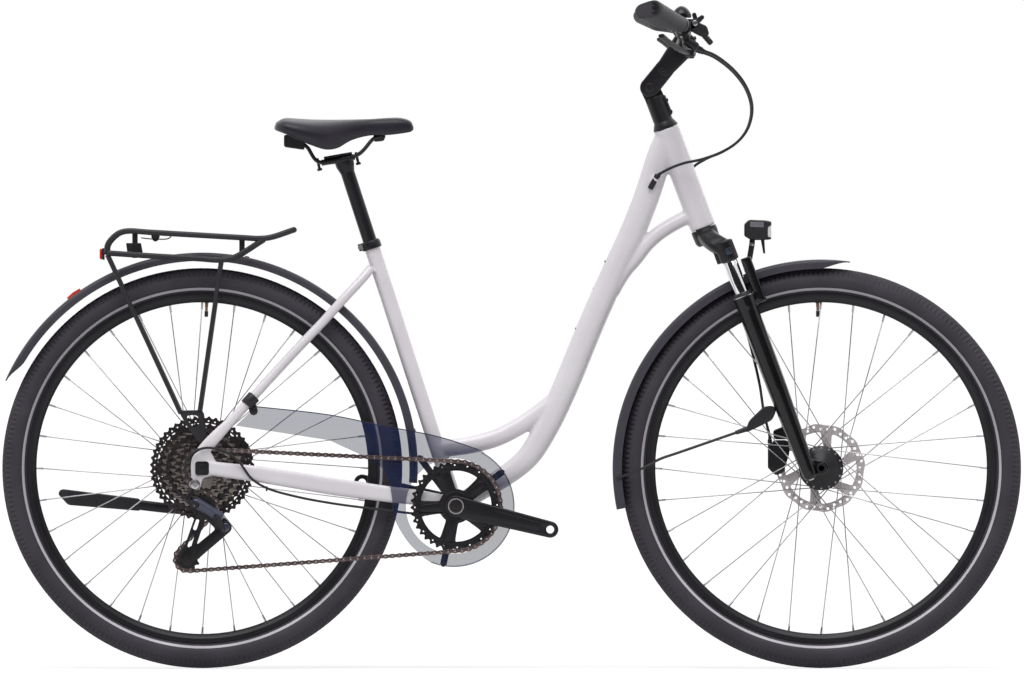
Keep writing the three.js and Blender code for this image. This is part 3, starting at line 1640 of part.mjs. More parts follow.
function stemBase() {
  const coverTop = steered(0, 0, headTubeLength + stemCoverHeight);
  const cover = rod(steered(0, 0, headTubeLength + gap), coverTop, stemCoverRadius, 14, stemTubeRadius);
  const tube = rod(coverTop, steered(0, 0, stemTubeTop), stemTubeRadius, 14);
  const tongueFoot = steered(0, 0, steererTop + stemTongueHalf);
  const outline = armOutline(tongueFoot, stemPivotRadius - gap, stemPivot, stemPivotRadius, 7);
  const tongue = plate(outline, -stemTongueHalf, stemTongueHalf);
  const boreEnds = [headTubeLength - overrun, steererTop + gap].map((up) => steered(0, 0, up));
  const bore = rod(...boreEnds, steererDiameter / 2 + gap, 14);
  const pinHole = drilling(stemPivot, stemPinRadius + gap, -stemArmBreadth, stemArmBreadth, 12);
  return cut(join(cover, tube, tongue), bore, pinHole);
}

function stemArm() {
  const half = stemArmBreadth / 2;
  const earInner = stemTongueHalf + gap;
  const earOutline = armOutline(stemPivot, stemPivotRadius, stemWaist, stemPivotRadius - gap, 7);
  const ears = [plate(earOutline, -half, -earInner), plate(earOutline, earInner, half)];
  const body = plate(armOutline(stemWaist, stemArmDepth / 2, barCentre, barClampRadius, 7), -half, half);
  const pin = drilling(stemPivot, stemPinRadius, -half, half, 12);
  const bore = drilling(barCentre, barClampDiameter / 2 + gap * 3, -stemArmBreadth, stemArmBreadth, 12);
  return cut(join(...ears, body, pin), bore);
}

add("stem_base", stemBase(), "black");
add("stem_arm", stemArm(), "black");

// Handlebar: straight in the clamp, then rising and sweeping back to the grips
const barPlaces = [
  [684, 45, -25],
  [683.2, 34.9, -61],
  [681.5, 27.1, -102.5],
  [653.2, 10.5, -176.7],
];
const barPoints = barPlaces.map(placed);

// The point of the bar's axis at a distance to the right of the middle.
function onBar(distance) {
  const i = distance < -barPoints[2].y ? 1 : 2;
  const share = (distance + barPoints[i].y) / (barPoints[i].y - barPoints[i + 1].y);
  return barPoints[i].clone().lerp(barPoints[i + 1], share);
}

function barRoom(near, far) {
  return rod(onBar(near), onBar(far), barDiameter / 2 + gap * 2, 10);
}

function handlebar() {
  const clamped = barClampDiameter / 2;
  const radii = barPoints.map((_, i) => (i === 0 ? clamped : barDiameter / 2));
  const points = [...[...barPoints].reverse(), ...barPoints.map(mirrored)];
  return pipe(points, [...[...radii].reverse(), ...radii], 10, axisX);
}

add("handlebar", handlebar(), "black");

// Grips with a palm wing behind
const wingInner = 205;
const wingStartReach = 20;
const wingEndReach = 40;
const wingThickness = 11;

function grip() {
  const end = barHalfWidth + gripEndThickness;
  const body = rod(onBar(gripInner), onBar(end), gripRadius - gap * 3, 12, gripRadius);
  const wingEnds = [onBar(wingInner), onBar(barHalfWidth)];
  const tangent = directionOf(...wingEnds);
  const rings = [wingStartReach, wingEndReach].map((reach, i) => {
    const middle = wingEnds[i].clone().addScaledVector(axisX, -reach / 2);
    return ringAt(middle, tangent, boxSection, wingThickness / 2, reach / 2, axisX);
  });
  return cut(join(body, loft(rings, boxSection)), barRoom(gripInner - overrun, barHalfWidth + gap * 2));
}

add("grip_right", grip(), "rubber");
add("grip_left", mirrorGeometry(grip()), "rubber");

// Brake levers: a perch with a reservoir and a lug, and a lever that turns on the lug's pin
const perchInner = 160;
const perchOuter = 176;
const perchRadius = 16;
const reservoirPlaces = [
  [683.2, 41.5, -92],
  [697.3, 48.7, -88.9],
];
const reservoirRadius = 8.5;
const leverPlaces = [
  [688.7, 54.2, -88.6],
  [682.1, 52.3, -105.3],
  [672.1, 46.5, -130.2],
  [660.5, 37.5, -160.7],
];
const leverEyeRadius = 6.5;
const leverEyeHalf = 6;
const lugThickness = 4.5;
const lugAttachShare = 0.7;
const leverPinRadius = 3;
const leverHalfThickness = 3.6;
const leverHalfWidth = 6.5;
const leverPoints = leverPlaces.map(placed);
const reservoirEnds = reservoirPlaces.map(placed);
const leverAxis = new THREE.Vector3().crossVectors(directionOf(leverPoints[0], leverPoints[3]), axisZ).normalize();

function onLeverAxis(distance) {
  return leverPoints[0].clone().addScaledVector(leverAxis, distance);
}

function perch() {
  const ring = rod(onBar(perchInner), onBar(perchOuter), perchRadius, 10);
  const reservoir = rod(...reservoirEnds, reservoirRadius, 8);
  const lugNear = -leverEyeHalf - gap;
  const lug = rod(onLeverAxis(lugNear - lugThickness), onLeverAxis(lugNear), leverEyeRadius, 8);
  const lugMiddle = onLeverAxis(lugNear - lugThickness / 2);
  const underReservoir = reservoirEnds[0].clone().lerp(reservoirEnds[1], lugAttachShare);
  const leverRoom = rod(onLeverAxis(lugNear), onLeverAxis(-lugNear), leverEyeRadius + leverHalfWidth);
  const web = cut(bar(lugMiddle, underReservoir, leverEyeRadius, lugThickness / 2, leverAxis), leverRoom);
  const pin = rod(onLeverAxis(lugNear - lugThickness / 2), onLeverAxis(leverEyeHalf), leverPinRadius, 8);
  return cut(join(ring, reservoir, lug, web, pin), barRoom(perchInner - overrun, perchOuter + overrun));
}

function brakeLever() {
  const eye = rod(onLeverAxis(-leverEyeHalf), onLeverAxis(leverEyeHalf), leverEyeRadius, 8);
  const blade = sweep(smooth(leverPoints), 5, boxSection, [leverHalfThickness, leverHalfWidth], axisX);
  const room = (leverEyeHalf + lugThickness) * 2;
  const lugRoom = rod(onLeverAxis(-room), onLeverAxis(-leverEyeHalf), leverEyeRadius * 3, 8);
  const reservoirRoom = rod(...reservoirEnds, reservoirRadius + overrun / 2, 8);
  const bore = rod(onLeverAxis(-room), onLeverAxis(room), leverPinRadius + gap * 2, 8);
  return cut(join(eye, blade), lugRoom, reservoirRoom, bore);
}

add("lever_perch_right", perch(), "black");
add("lever_perch_left", mirrorGeometry(perch()), "black");
add("brake_lever_right", brakeLever(), "black");
add("brake_lever_left", mirrorGeometry(brakeLever()), "black");

// Shifter with its trigger, on the right
const shifterInner = 141;
const shifterOuter = 153;
const shifterRingRadius = 15.5;
const shifterEndPixel = [694.4, 24.2];
const shifterBodyPixels = [
  [690, 21],
  [698.5, 23.5],
  [706.5, 27],
  [709, 36],
  [701, 38],
  [688, 31],
];
const barrelPlaces = [
  [703, 35.5, -81.5],
  [711.2, 45, -81.5],
];
const shifterEndRadius = 8;
const barrelRadius = 5.5;
const triggerPinRadius = 2.5;
const triggerRadius = 6;
const triggerThickness = 5;
const triggerTipPixel = [701.5, 18.2];
const triggerTipRadius = 4;
const shifterEnd = seen(shifterEndPixel);

function shifter() {
  const ring = rod(onBar(shifterInner), onBar(shifterOuter), shifterRingRadius, 10);
  const neckOutline = armOutline(onBar(shifterInner), shifterEndRadius, shifterEnd, shifterEndRadius);
  const neck = plate(neckOutline, -shifterOuter, -shifterInner);
  const body = seenPlate(shifterBodyPixels, -shifterOuter, -shifterInner);
  const barrel = rod(...barrelPlaces.map(placed), barrelRadius, 10);
  const pin = drilling(shifterEnd, triggerPinRadius, -shifterOuter, -shifterInner + triggerThickness + gap, 10);
  return cut(join(ring, neck, body, barrel, pin), barRoom(shifterInner - overrun, shifterOuter + overrun));
}

function shiftTrigger() {
  const low = -shifterInner + gap;
  const outline = armOutline(shifterEnd, triggerRadius, seen(triggerTipPixel), triggerTipRadius);
  const bore = drilling(shifterEnd, triggerPinRadius + gap, -barHalfWidth, 0, 10);
  return cut(plate(outline, low, low + triggerThickness), bore);
}

add("shifter", shifter(), "black");
add("shift_lever", shiftTrigger(), "black");

// Bell: a dome on a post above its clamp ring, and the striker on a lug in front
const bellInner = 118;
const bellOuter = 131;
const bellRingRadius = 14;
const bellCentrePixel = [681.3, 18.6];
const bellRadius = 17.4;
const bellHeight = 21.5;
const bellProfileShares = [
  [0, 0],
  [1, 0],
  [0.98, 0.3],
  [0.8, 0.62],
  [0.48, 0.87],
  [0, 1],
];
const bellPostRadius = 4;
const bellLugPixel = [681.3, 21.5];
const bellLugHalf = 3;
const strikerPivotPixel = [695.5, 21.5];
const strikerKnobPixel = [693.8, 15.6];
const strikerPinRadius = 2;
const strikerRadius = 4;
const strikerThickness = 4;
const bellLine = -(bellInner + bellOuter) / 2;
const strikerPivot = seen(strikerPivotPixel);

function bell() {
  const centre = seen(bellCentrePixel, bellLine);
  const profile = bellProfileShares.map(([radius, height]) => [radius * bellRadius, height * bellHeight]);
  const dome = turnedUpright(profile, 12, centre);
  const ring = rod(onBar(bellInner), onBar(bellOuter), bellRingRadius, 12);
  const post = rod(onBar(-bellLine), centre.clone().addScaledVector(axisZ, bellPostRadius), bellPostRadius, 8);
  const lug = bar(seen(bellLugPixel, bellLine), seen(strikerPivotPixel, bellLine), bellLugHalf, bellLugHalf);
  const pinEnd = bellLine + bellLugHalf + strikerThickness + gap;
  const pin = drilling(strikerPivot, strikerPinRadius, bellLine, pinEnd, 8);
  return cut(join(dome, ring, post, lug, pin), barRoom(bellInner - overrun, bellOuter + overrun));
}

function striker() {
  const low = bellLine + bellLugHalf + gap;
  const outline = armOutline(strikerPivot, strikerRadius, seen(strikerKnobPixel), strikerRadius, 4);
  const bore = drilling(strikerPivot, strikerPinRadius + gap, -barHalfWidth, 0, 8);
  return cut(plate(outline, low, low + strikerThickness), bore);
}

add("bell", bell(), "black");
add("bell_striker", striker(), "black");

// Derailleur: a mount on the hanger, a link on slanting pins, a knuckle, and a cage with its two pulleys
const derailleurSlant = 45;
const mountInner = dropoutOuter + gap;
const mountOuter = 88;
const mountRadius = 9;
const linkHalf = 6;
const linkRadius = 9;
const linkPinRadius = 3;
const linkEarRadius = 8;
const linkEarThickness = 3.5;
const mountArmHalf = 4.5;
const mountArmReach = 16;
const knuckleReach = 18;
const knuckleDrop = 15;
const knuckleWebRadius = 6;
const knuckleOuter = 76.7;
const knuckleRadius = 11.5;
const knucklePinRadius = 5;
const cageThickness = 1.7;
const cageClearance = 0.45;
const guideCageRadius = 12;
const tensionCageRadius = 13;
const cageInnerLow = engagedLine + chainHalfWidth + cageClearance;
const cageOuterHigh = engagedLine - chainHalfWidth - cageClearance;
const cageOuterLow = cageOuterHigh - cageThickness;
const linkUpper = placed(linkUpperPlace);
const linkLower = placed(linkLowerPlace);
const linkLength = linkUpper.distanceTo(linkLower);

// The link's own frame: along the link, along its pins, and square to both.
const linkAlong = directionOf(linkUpper, linkLower);
const linkPins = new THREE.Vector3()
  .crossVectors(linkAlong, axisY)
  .normalize()
  .applyAxisAngle(linkAlong, -THREE.MathUtils.degToRad(derailleurSlant))
  .negate();
const linkSquare = new THREE.Vector3().crossVectors(linkAlong, linkPins);

function inLink(origin, along, pins, square) {
  return origin
    .clone()
    .addScaledVector(linkAlong, along)
    .addScaledVector(linkPins, pins)
    .addScaledVector(linkSquare, square);
}

// Turns a geometry drawn along X, across Y and up Z into the link's frame at an origin.
function linkPlaced(geometry, origin) {
  const frame = new THREE.Matrix4().makeBasis(linkAlong, linkPins, linkSquare).setPosition(origin);
  return closed(geometry.applyMatrix4(frame));
}

const linkStart = new THREE.Vector3();
const linkEnd = new THREE.Vector3(linkLength, 0, 0);
const linkEarLow = linkHalf + gap;
const linkEarHigh = linkEarLow + linkEarThickness;

function linkPin(pivot) {
  return rod(inLink(pivot, 0, -linkHalf, 0), inLink(pivot, 0, linkEarHigh, 0), linkPinRadius, 10);
}

function derailleurMount() {
  const head = drilling(seen(hangerPixel), mountRadius, -mountOuter, -mountInner, 14);
  const earEnd = new THREE.Vector3(-mountArmReach, 0, 0);
  const ear = plate(armOutline(linkStart, linkEarRadius, earEnd, mountArmHalf), linkEarLow, linkEarHigh);
  const armFoot = inLink(linkUpper, -mountArmReach, linkEarHigh, 0);
  const armTop = seen(hangerPixel, -(mountInner + mountOuter) / 2);
  const arm = bar(armFoot, armTop, mountArmHalf, mountArmHalf);
  return join(head, linkPlaced(ear, linkUpper), arm, linkPin(linkUpper));
}

function derailleurLink() {
  const body = plate(armOutline(linkStart, linkRadius, linkEnd, linkRadius, 6), -linkHalf, linkHalf);
  const bores = [linkUpper, linkLower].map((pivot) =>
    rod(inLink(pivot, 0, -linkLength, 0), inLink(pivot, 0, linkLength, 0), linkPinRadius + gap, 10),
  );
  return cut(linkPlaced(body, linkUpper), ...bores);
}

function derailleurKnuckle() {
  const barrel = drilling(cagePivot, knuckleRadius, -knuckleOuter, cageOuterLow - gap, 14);
  const webEnd = new THREE.Vector3(knuckleReach, 0, knuckleDrop);
  const webOutline = armOutline(linkStart, linkEarRadius, webEnd, knuckleWebRadius);
  const web = linkPlaced(plate(webOutline, linkEarLow, linkEarHigh), linkLower);
  const bore = drilling(cagePivot, knucklePinRadius + gap, -knuckleOuter - overrun, 0, 12);
  return cut(join(barrel, web, linkPin(linkLower)), bore);
}

function cagePlate(low) {
  const outline = [
    ...circle(cagePivot, knuckleRadius, 3, -rightAngle / 2, rightAngle),
    ...circle(guideCentre, guideCageRadius, 4, rightAngle / 2, rightAngle * 1.5),
    ...circle(tensionCentre, tensionCageRadius, 6, Math.PI, rightAngle * 1.5),
  ];
  return plate(outline, low, low + cageThickness);
}

function derailleurCage() {
  const plates = [cagePlate(cageInnerLow), cagePlate(cageOuterLow)];
  const bolts = [guideCentre, tensionCentre].map((centre) =>
    drilling(centre, pulleyPinRadius, cageOuterLow, cageInnerLow + cageThickness, 10),
  );
  const pin = drilling(cagePivot, knucklePinRadius, -knuckleOuter, cageOuterHigh, 12);
  return join(...plates, ...bolts, pin);
}

function pulley(centre) {
  const tip = engagedTip(pulleyTeeth);
  const outline = toothed(centre, pulleyTeeth, tip, tip - toothHeight);
  const bore = circle(centre, pulleyPinRadius + gap, 10);
  return plate(outline, engagedLine - pulleyThickness / 2, engagedLine + pulleyThickness / 2, [bore]);
}

add("derailleur_mount", derailleurMount(), "black");
add("derailleur_link", derailleurLink(), "black");
add("derailleur_knuckle", derailleurKnuckle(), "black");
add("derailleur_cage", derailleurCage(), "black");
add("pulley_upper", pulley(guideCentre), "plastic");
add("pulley_lower", pulley(tensionCentre), "plastic");

// Hoses and cable, each held at both ends
const rearHosePlaces = [
  [714.8, 56.4, -83],
  [733.9, 71.4, -75],
  [746.7, 89.3, -66.5],
  [751.8, 108.4, -58],
  [748, 127.6, -50],
  [737.8, 141.6, -42],
  [722.4, 151.8, -36],
  [702, 159.4, -31],
  [684, 163.3, -28],
  [671, 168, -24.5],
];
const frontHosePlaces = [
  [714.8, 56.4, 83],
  [733.9, 71.4, 75],
  [746.7, 89.3, 66.5],
  [751.8, 108.4, 58],
  [748, 127.6, 50],
  [737.8, 141.6, 42],
  [722.4, 151.8, 36],
  [706, 158.8, 33],
  [692, 169, 33.5],
  [690, 187, 36.5],
  [699, 211, 41],
  [712, 237, 44.3],
  [728, 270, 43.8],
  [741, 310, 42.7],
  [752, 350, 41],
  [760, 385, 34.3],
  [764, 412, 23],
];
const frontInletPlace = [770, 443.5, 18.5];
const cablePlaces = [
  [428, 514.5, -18.8],
  [405, 512.5, -20],
  [390, 510.5, -21],
  [360, 507, -23.8],
  [330, 502.8, -27.7],
  [296, 496.3, -33.2],
  [267, 487.8, -38.8],
  [252, 478.4, -42.9],
  [239.3, 461.5, -44.9],
  [226.5, 451.9, -45.7],
  [210.6, 447.6, -45.7],
  [199.7, 449.3, -45.7],
  [189.5, 456.3, -45.7],
  [185.5, 467, -45.7],
  [188.5, 476, -45.7],
];
const cableStopPlace = [192.2, 480.4, -45.7];

// A hose through places, straight at both ends.
function hose(start, startHeading, places, end, endHeading, steps) {
  const radius = hoseDiameter / 2;
  const lead = hoseDiameter * 2;
  const points = [
    start,
    start.clone().addScaledVector(startHeading, lead),
    ...places.map(placed),
    end.clone().addScaledVector(endHeading, -lead),
    end,
  ];
  return sweep(smooth(points), steps, roundSection(6), [radius, radius]);
}

const reservoirHeading = directionOf(...reservoirEnds);
const portHeading = directionOf(portRoot, portMouth);
const hoseStart = reservoirEnds[1].clone().addScaledVector(reservoirHeading, gap);
const rearHoseEnd = portMouth.clone().addScaledVector(portHeading, gap);
const frontHoseEnd = placed(frontInletPlace).addScaledVector(axisZ, gap);
add(
  "rear_brake_hose",
  hose(hoseStart, reservoirHeading, rearHosePlaces, rearHoseEnd, portHeading.clone().negate(), 30),
  "plastic",
);
add(
  "front_brake_hose",
  hose(
    mirrored(hoseStart),
    mirrored(reservoirHeading),
    frontHosePlaces,
    frontHoseEnd,
    axisZ.clone().negate(),
    38,
  ),
  "plastic",
);
const cableRoute = smooth([...cablePlaces, cableStopPlace].map(placed));
add("shift_cable", sweep(cableRoute, 34, roundSection(6), [cableDiameter / 2, cableDiameter / 2]), "plastic");

bicycle.position.x = -frontAxle.x / 2;

export default bicycle;
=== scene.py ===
# Looks of a step-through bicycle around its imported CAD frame.
# Shapes are drawn in millimetres in the frame of the CAD part and turned to metres when a piece is made.
import math

import bmesh
import bpy
import numpy as np
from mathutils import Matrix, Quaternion, Vector


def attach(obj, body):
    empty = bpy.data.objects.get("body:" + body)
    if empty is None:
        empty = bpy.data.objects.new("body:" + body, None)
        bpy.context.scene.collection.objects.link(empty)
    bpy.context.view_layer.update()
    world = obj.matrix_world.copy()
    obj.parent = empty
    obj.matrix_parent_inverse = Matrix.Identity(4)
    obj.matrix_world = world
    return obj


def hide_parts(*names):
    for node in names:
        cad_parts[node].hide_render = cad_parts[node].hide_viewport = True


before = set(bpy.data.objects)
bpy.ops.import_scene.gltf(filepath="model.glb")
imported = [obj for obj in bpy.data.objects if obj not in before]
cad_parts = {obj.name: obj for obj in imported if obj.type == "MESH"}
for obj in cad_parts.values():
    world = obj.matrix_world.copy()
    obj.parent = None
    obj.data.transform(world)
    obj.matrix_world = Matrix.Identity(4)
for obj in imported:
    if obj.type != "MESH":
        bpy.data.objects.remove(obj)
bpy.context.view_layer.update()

METRES = 0.001
AXIS_X = Vector((1, 0, 0))
AXIS_Y = Vector((0, 1, 0))
AXIS_Z = Vector((0, 0, 1))
TURN = 2 * math.pi
SIDES = (-1, 1)

# Places are pixels of a 1024 x 690 picture of the drive side.
PIXEL = 1.805
REAR_AXLE_COLUMN = 202.3
GROUND_ROW = 668.1
REAR_AXLE_X = -558.448
GAP = 0.3


def seen(pixel, y=0.0):
    """A point from a pixel of the drive side and a distance to the rider's left."""
    return Vector(((pixel[0] - REAR_AXLE_COLUMN) * PIXEL + REAR_AXLE_X, y, (GROUND_ROW - pixel[1]) * PIXEL))


def placed(place):
    """The same from a pixel with its distance to the left in pixels as a third number."""
    return seen(place, place[2] * PIXEL)


def seen_all(pixels, y=0.0):
    return [seen(p, y) for p in pixels]


def placed_all(places):
    return [placed(p) for p in places]


# Sizes shared by several pieces, as in the CAD part
TYRE_RADIUS = 361
RIM_OUTER = 316
RIM_INNER = 299
RIM_WIDTH = 26
HEAD_TUBE_LENGTH = 192
SEAT_TUBE_LENGTH = 497
FORK_LEG_HALF = 58
AXLE_DROP = 480
FORK_LEG_OFFSET = 24
DROPOUT_INNER = 67.5
DROPOUT_THICKNESS = 6.5
DROPOUT_OUTER = DROPOUT_INNER + DROPOUT_THICKNESS
STAY_LINE = DROPOUT_INNER + DROPOUT_THICKNESS / 2

rear_axle = Vector((REAR_AXLE_X, 0, TYRE_RADIUS))
bracket = seen((456, 506))
head_bottom = seen((703.3, 228.2))
head_angle = math.radians(69.5)
steering_up = Vector((-math.cos(head_angle), 0, math.sin(head_angle)))
steering_forward = Vector((math.sin(head_angle), 0, math.cos(head_angle)))
seat_angle = math.radians(72)
seat_up = Vector((-math.cos(seat_angle), 0, math.sin(seat_angle)))
seat_back = Vector((-math.sin(seat_angle), 0, -math.cos(seat_angle)))
seat_top = bracket + seat_up * SEAT_TUBE_LENGTH


def steered(forward, y, up):
    point = head_bottom + steering_forward * forward + steering_up * up
    point.y = y
    return point


def along_seat(distance, behind=0.0):
    return seat_top + seat_up * distance + seat_back * behind


front_axle = steered(47.5, 0, -AXLE_DROP)


# Shapes are pairs of a list of points and a list of faces.
def joined(*shapes):
    points, faces = [], []
    for own_points, own_faces in shapes:
        start = len(points)
        points.extend(own_points)
        faces.extend([tuple(start + i for i in face) for face in own_faces])
    return points, faces


def flipped(point):
    return Vector((point[0], -point[1], point[2]))


def mirrored(shape):
    return [flipped(p) for p in shape[0]], shape[1]


def smooth(points, count):
    """Centripetal Catmull-Rom curve through points: evenly spaced places and directions along it."""
    knots = [np.array(p, float) for p in points]
    knots = [2 * knots[0] - knots[1], *knots, 2 * knots[-1] - knots[-2]]
    dense = []
    for a, b, c, d in zip(knots, knots[1:], knots[2:], knots[3:]):
        times = np.cumsum([0.0] + [max(np.linalg.norm(q - p), 1e-6) ** 0.5 for p, q in ((a, b), (b, c), (c, d))])
        for t in np.linspace(times[1], times[2], 16, endpoint=False):
            ab = (a * (times[1] - t) + b * (t - times[0])) / (times[1] - times[0])
            bc = (b * (times[2] - t) + c * (t - times[1])) / (times[2] - times[1])
            cd = (c * (times[3] - t) + d * (t - times[2])) / (times[3] - times[2])
            abc = (ab * (times[2] - t) + bc * (t - times[0])) / (times[2] - times[0])
            bcd = (bc * (times[3] - t) + cd * (t - times[1])) / (times[3] - times[1])
            dense.append((abc * (times[2] - t) + bcd * (t - times[1])) / (times[2] - times[1]))
    dense.append(knots[-2])
    dense = np.array(dense)
    reach = np.concatenate([[0], np.cumsum(np.linalg.norm(np.diff(dense, axis=0), axis=1))])
    wanted = np.linspace(0, reach[-1], count)
    places = np.stack([np.interp(wanted, reach, dense[:, i]) for i in range(dense.shape[1])], 1)
    headings = np.gradient(places, axis=0)
    return places, headings / np.linalg.norm(headings, axis=1)[:, None]


def round_section(count=28):
    return [(math.cos(TURN * i / count), math.sin(TURN * i / count)) for i in range(count)]


def soft_box(power=5.0, count=32):
    """A square section with rounded corners."""
    section = []
    for u, v in round_section(count):
        size = (abs(u) ** power + abs(v) ** power) ** (1 / power)
        section.append((u / size, v / size))
    return section


def polar(centre, radius, angle, y=None):
    """A point around an axis parallel to Y, level with the centre or at a given y."""
    level = centre.y if y is None else y
    return Vector((centre.x + radius * math.cos(angle), level, centre.z + radius * math.sin(angle)))


def ring_at(centre, heading, section, half_across, half_along, level):
    across = heading.cross(level).normalized()
    along = across.cross(heading).normalized()
    return [centre + across * (u * half_across) + along * (v * half_along) for u, v in section]


def loft(rings, closed=False):
    """A skin through rings of equally many points, capped unless it closes on itself."""
    count = len(rings[0])
    points = [Vector(p) for ring in rings for p in ring]
    faces = []
    for i in range(len(rings) if closed else len(rings) - 1):
        here, ahead = i * count, ((i + 1) % len(rings)) * count
        for j in range(count):
            k = (j + 1) % count
            faces.append((here + j, here + k, ahead + k, ahead + j))
    if not closed:
        last = (len(rings) - 1) * count
        faces.append(tuple(range(count)))
        faces.append(tuple(range(last + count - 1, last - 1, -1)))
    return points, faces


def sweep(route, section, half_sizes, level=AXIS_Y, count=60):
    """A solid along a smooth route; half sizes are fixed or depend on the share of its length."""
    places, headings = smooth(route, count)
    sizes = half_sizes if callable(half_sizes) else lambda share: half_sizes
    rings = []
    for i, (place, heading) in enumerate(zip(places, headings)):
        across, along = sizes(i / (count - 1))
        rings.append(ring_at(Vector(place), Vector(heading), section, across, along, level))
    return loft(rings)


def lathe(start, end, profile, count=32):
    """A solid of revolution from start towards end; the profile lists distance along it and radius."""
    heading = (end - start).normalized()
    level = AXIS_X if abs(heading.y) > 0.7 else AXIS_Y
    section = round_section(count)
    return loft(
        [ring_at(start + heading * d, heading, section, max(r, 0.01), max(r, 0.01), level) for d, r in profile]
    )


def rod(start, end, radius, end_radius=None, edge=0.6, count=32):
    """A straight round rod or cone with its two edges broken."""
    end_radius = radius if end_radius is None else end_radius
    length = (end - start).length
    edge = min(edge, radius / 2, end_radius / 2, length / 3)
    return lathe(
        start, end,
        [(0, radius - edge), (edge, radius), (length - edge, end_radius), (length, end_radius - edge)],
        count,
    )


def across(centre, radius, low, high, edge=0.6, count=32):
    """A round rod parallel to Y."""
    return rod(
        Vector((centre.x, low, centre.z)), Vector((centre.x, high, centre.z)), radius, edge=edge, count=count
    )


def turned(profile, centre, count=96):
    """A ring turned about an axis parallel to Y; the closed profile lists radius and place along Y."""
    rings = []
    for i in range(count):
        rings.append([polar(centre, r, TURN * i / count, y) for r, y in profile])
    return loft(rings, closed=True)


def bar(start, end, half_across, half_along, level=AXIS_Y, power=5.0):
    """A straight bar with rounded edges and ends."""
    heading = (end - start).normalized()
    length = (end - start).length
    edge = min(half_across, half_along, length) * 0.2
    section = soft_box(power)
    rings = []
    for d, less in (
        (0, edge), (edge * 0.3, edge * 0.3), (edge, 0), (length - edge, 0), (length - edge * 0.3, edge * 0.3),
        (length, edge),
    ):
        rings.append(ring_at(start + heading * d, heading, section, half_across - less, half_along - less, level))
    return loft(rings)


def circle(centre, radius, count, start=0.0, span=TURN):
    steps = count if span == TURN else count + 1
    return [polar(centre, radius, start + span * i / count) for i in range(steps)]


def arm_outline(start, start_radius, end, end_radius, count=14):
    heading = math.atan2(end.z - start.z, end.x - start.x)
    return circle(end, end_radius, count, heading - math.pi / 2, math.pi) + circle(
        start, start_radius, count, heading + math.pi / 2, math.pi
    )


def rounded(outline, radius, steps=4):
    """An outline with each corner turned into a small curve."""
    result = []
    count = len(outline)
    for i, corner in enumerate(outline):
        before, after = outline[i - 1] - corner, outline[(i + 1) % count] - corner
        start = corner + before.normalized() * min(radius, before.length * 0.45)
        end = corner + after.normalized() * min(radius, after.length * 0.45)
        for step in range(steps + 1):
            t = step / steps
            result.append(start * (1 - t) ** 2 + corner * (2 * t * (1 - t)) + end * t**2)
    return result


def plate(outline, low, high, holes=(), edge=0.5, rounding=2):
    """A flat plate across Y with broken edges, from outlines of points."""
    curve = bpy.data.curves.new("outline", "CURVE")
    curve.dimensions, curve.fill_mode = "2D", "BOTH"
    for loop in (outline, *holes):
        spline = curve.splines.new("POLY")
        spline.points.add(len(loop) - 1)
        for knot, place in zip(spline.points, loop):
            knot.co = (place.x, place.z, 0, 1)
        spline.use_cyclic_u = True
    edge = min(edge, (high - low) * 0.45)
    curve.extrude = (high - low) / 2 - edge
    curve.bevel_depth, curve.bevel_resolution, curve.offset = edge, rounding, -edge
    holder = bpy.data.objects.new("outline", curve)
    mesh = bpy.data.meshes.new_from_object(holder)
    middle = (low + high) / 2
    shape = [
        Vector((v.co.x, middle + v.co.z, v.co.y)) for v in mesh.vertices
    ], [tuple(p.vertices) for p in mesh.polygons]
    bpy.data.objects.remove(holder)
    bpy.data.curves.remove(curve)
    bpy.data.meshes.remove(mesh)
    return shape


def seen_plate(pixels, low, high, radius=4.0, edge=1.0, holes=()):
    return plate(rounded(seen_all(pixels), radius), low, high, holes, edge)


def remesh(shape, voxel, rounds):
    """One skin around overlapping shapes, smoothed as welds are dressed."""
    mesh = bpy.data.meshes.new("rough")
    mesh.from_pydata([Vector(p) * METRES for p in shape[0]], [], shape[1])
    holder = bpy.data.objects.new("rough", mesh)
    bpy.context.scene.collection.objects.link(holder)
    skin = holder.modifiers.new("skin", "REMESH")
    skin.mode, skin.voxel_size = "VOXEL", voxel * METRES
    ease = holder.modifiers.new("ease", "SMOOTH")
    ease.factor, ease.iterations = 0.5, rounds
    made = bpy.data.meshes.new_from_object(holder.evaluated_get(bpy.context.evaluated_depsgraph_get()))
    result = [v.co / METRES for v in made.vertices], [tuple(p.vertices) for p in made.polygons]
    bpy.data.objects.remove(holder)
    bpy.data.meshes.remove(mesh)
    bpy.data.meshes.remove(made)
    return result


# Materials
def linear(text):
    """A hex colour from sRGB to the linear values that shaders take."""
    values = [int(text[i : i + 2], 16) / 255 for i in (0, 2, 4)]
    return tuple(v / 12.92 if v <= 0.04045 else ((v + 0.055) / 1.055) ** 2.4 for v in values) + (1.0,)


def add_node(tree, kind, inputs=None, **settings):
    """Adds a node with its settings; an input is a value or the output that links to it."""
    node = tree.nodes.new(kind)
    for name, value in settings.items():
        setattr(node, name, value)
    for name, value in (inputs or {}).items():
        if isinstance(value, bpy.types.NodeSocket):
            tree.links.new(value, node.inputs[name])
        else:
            node.inputs[name].default_value = value
    return node


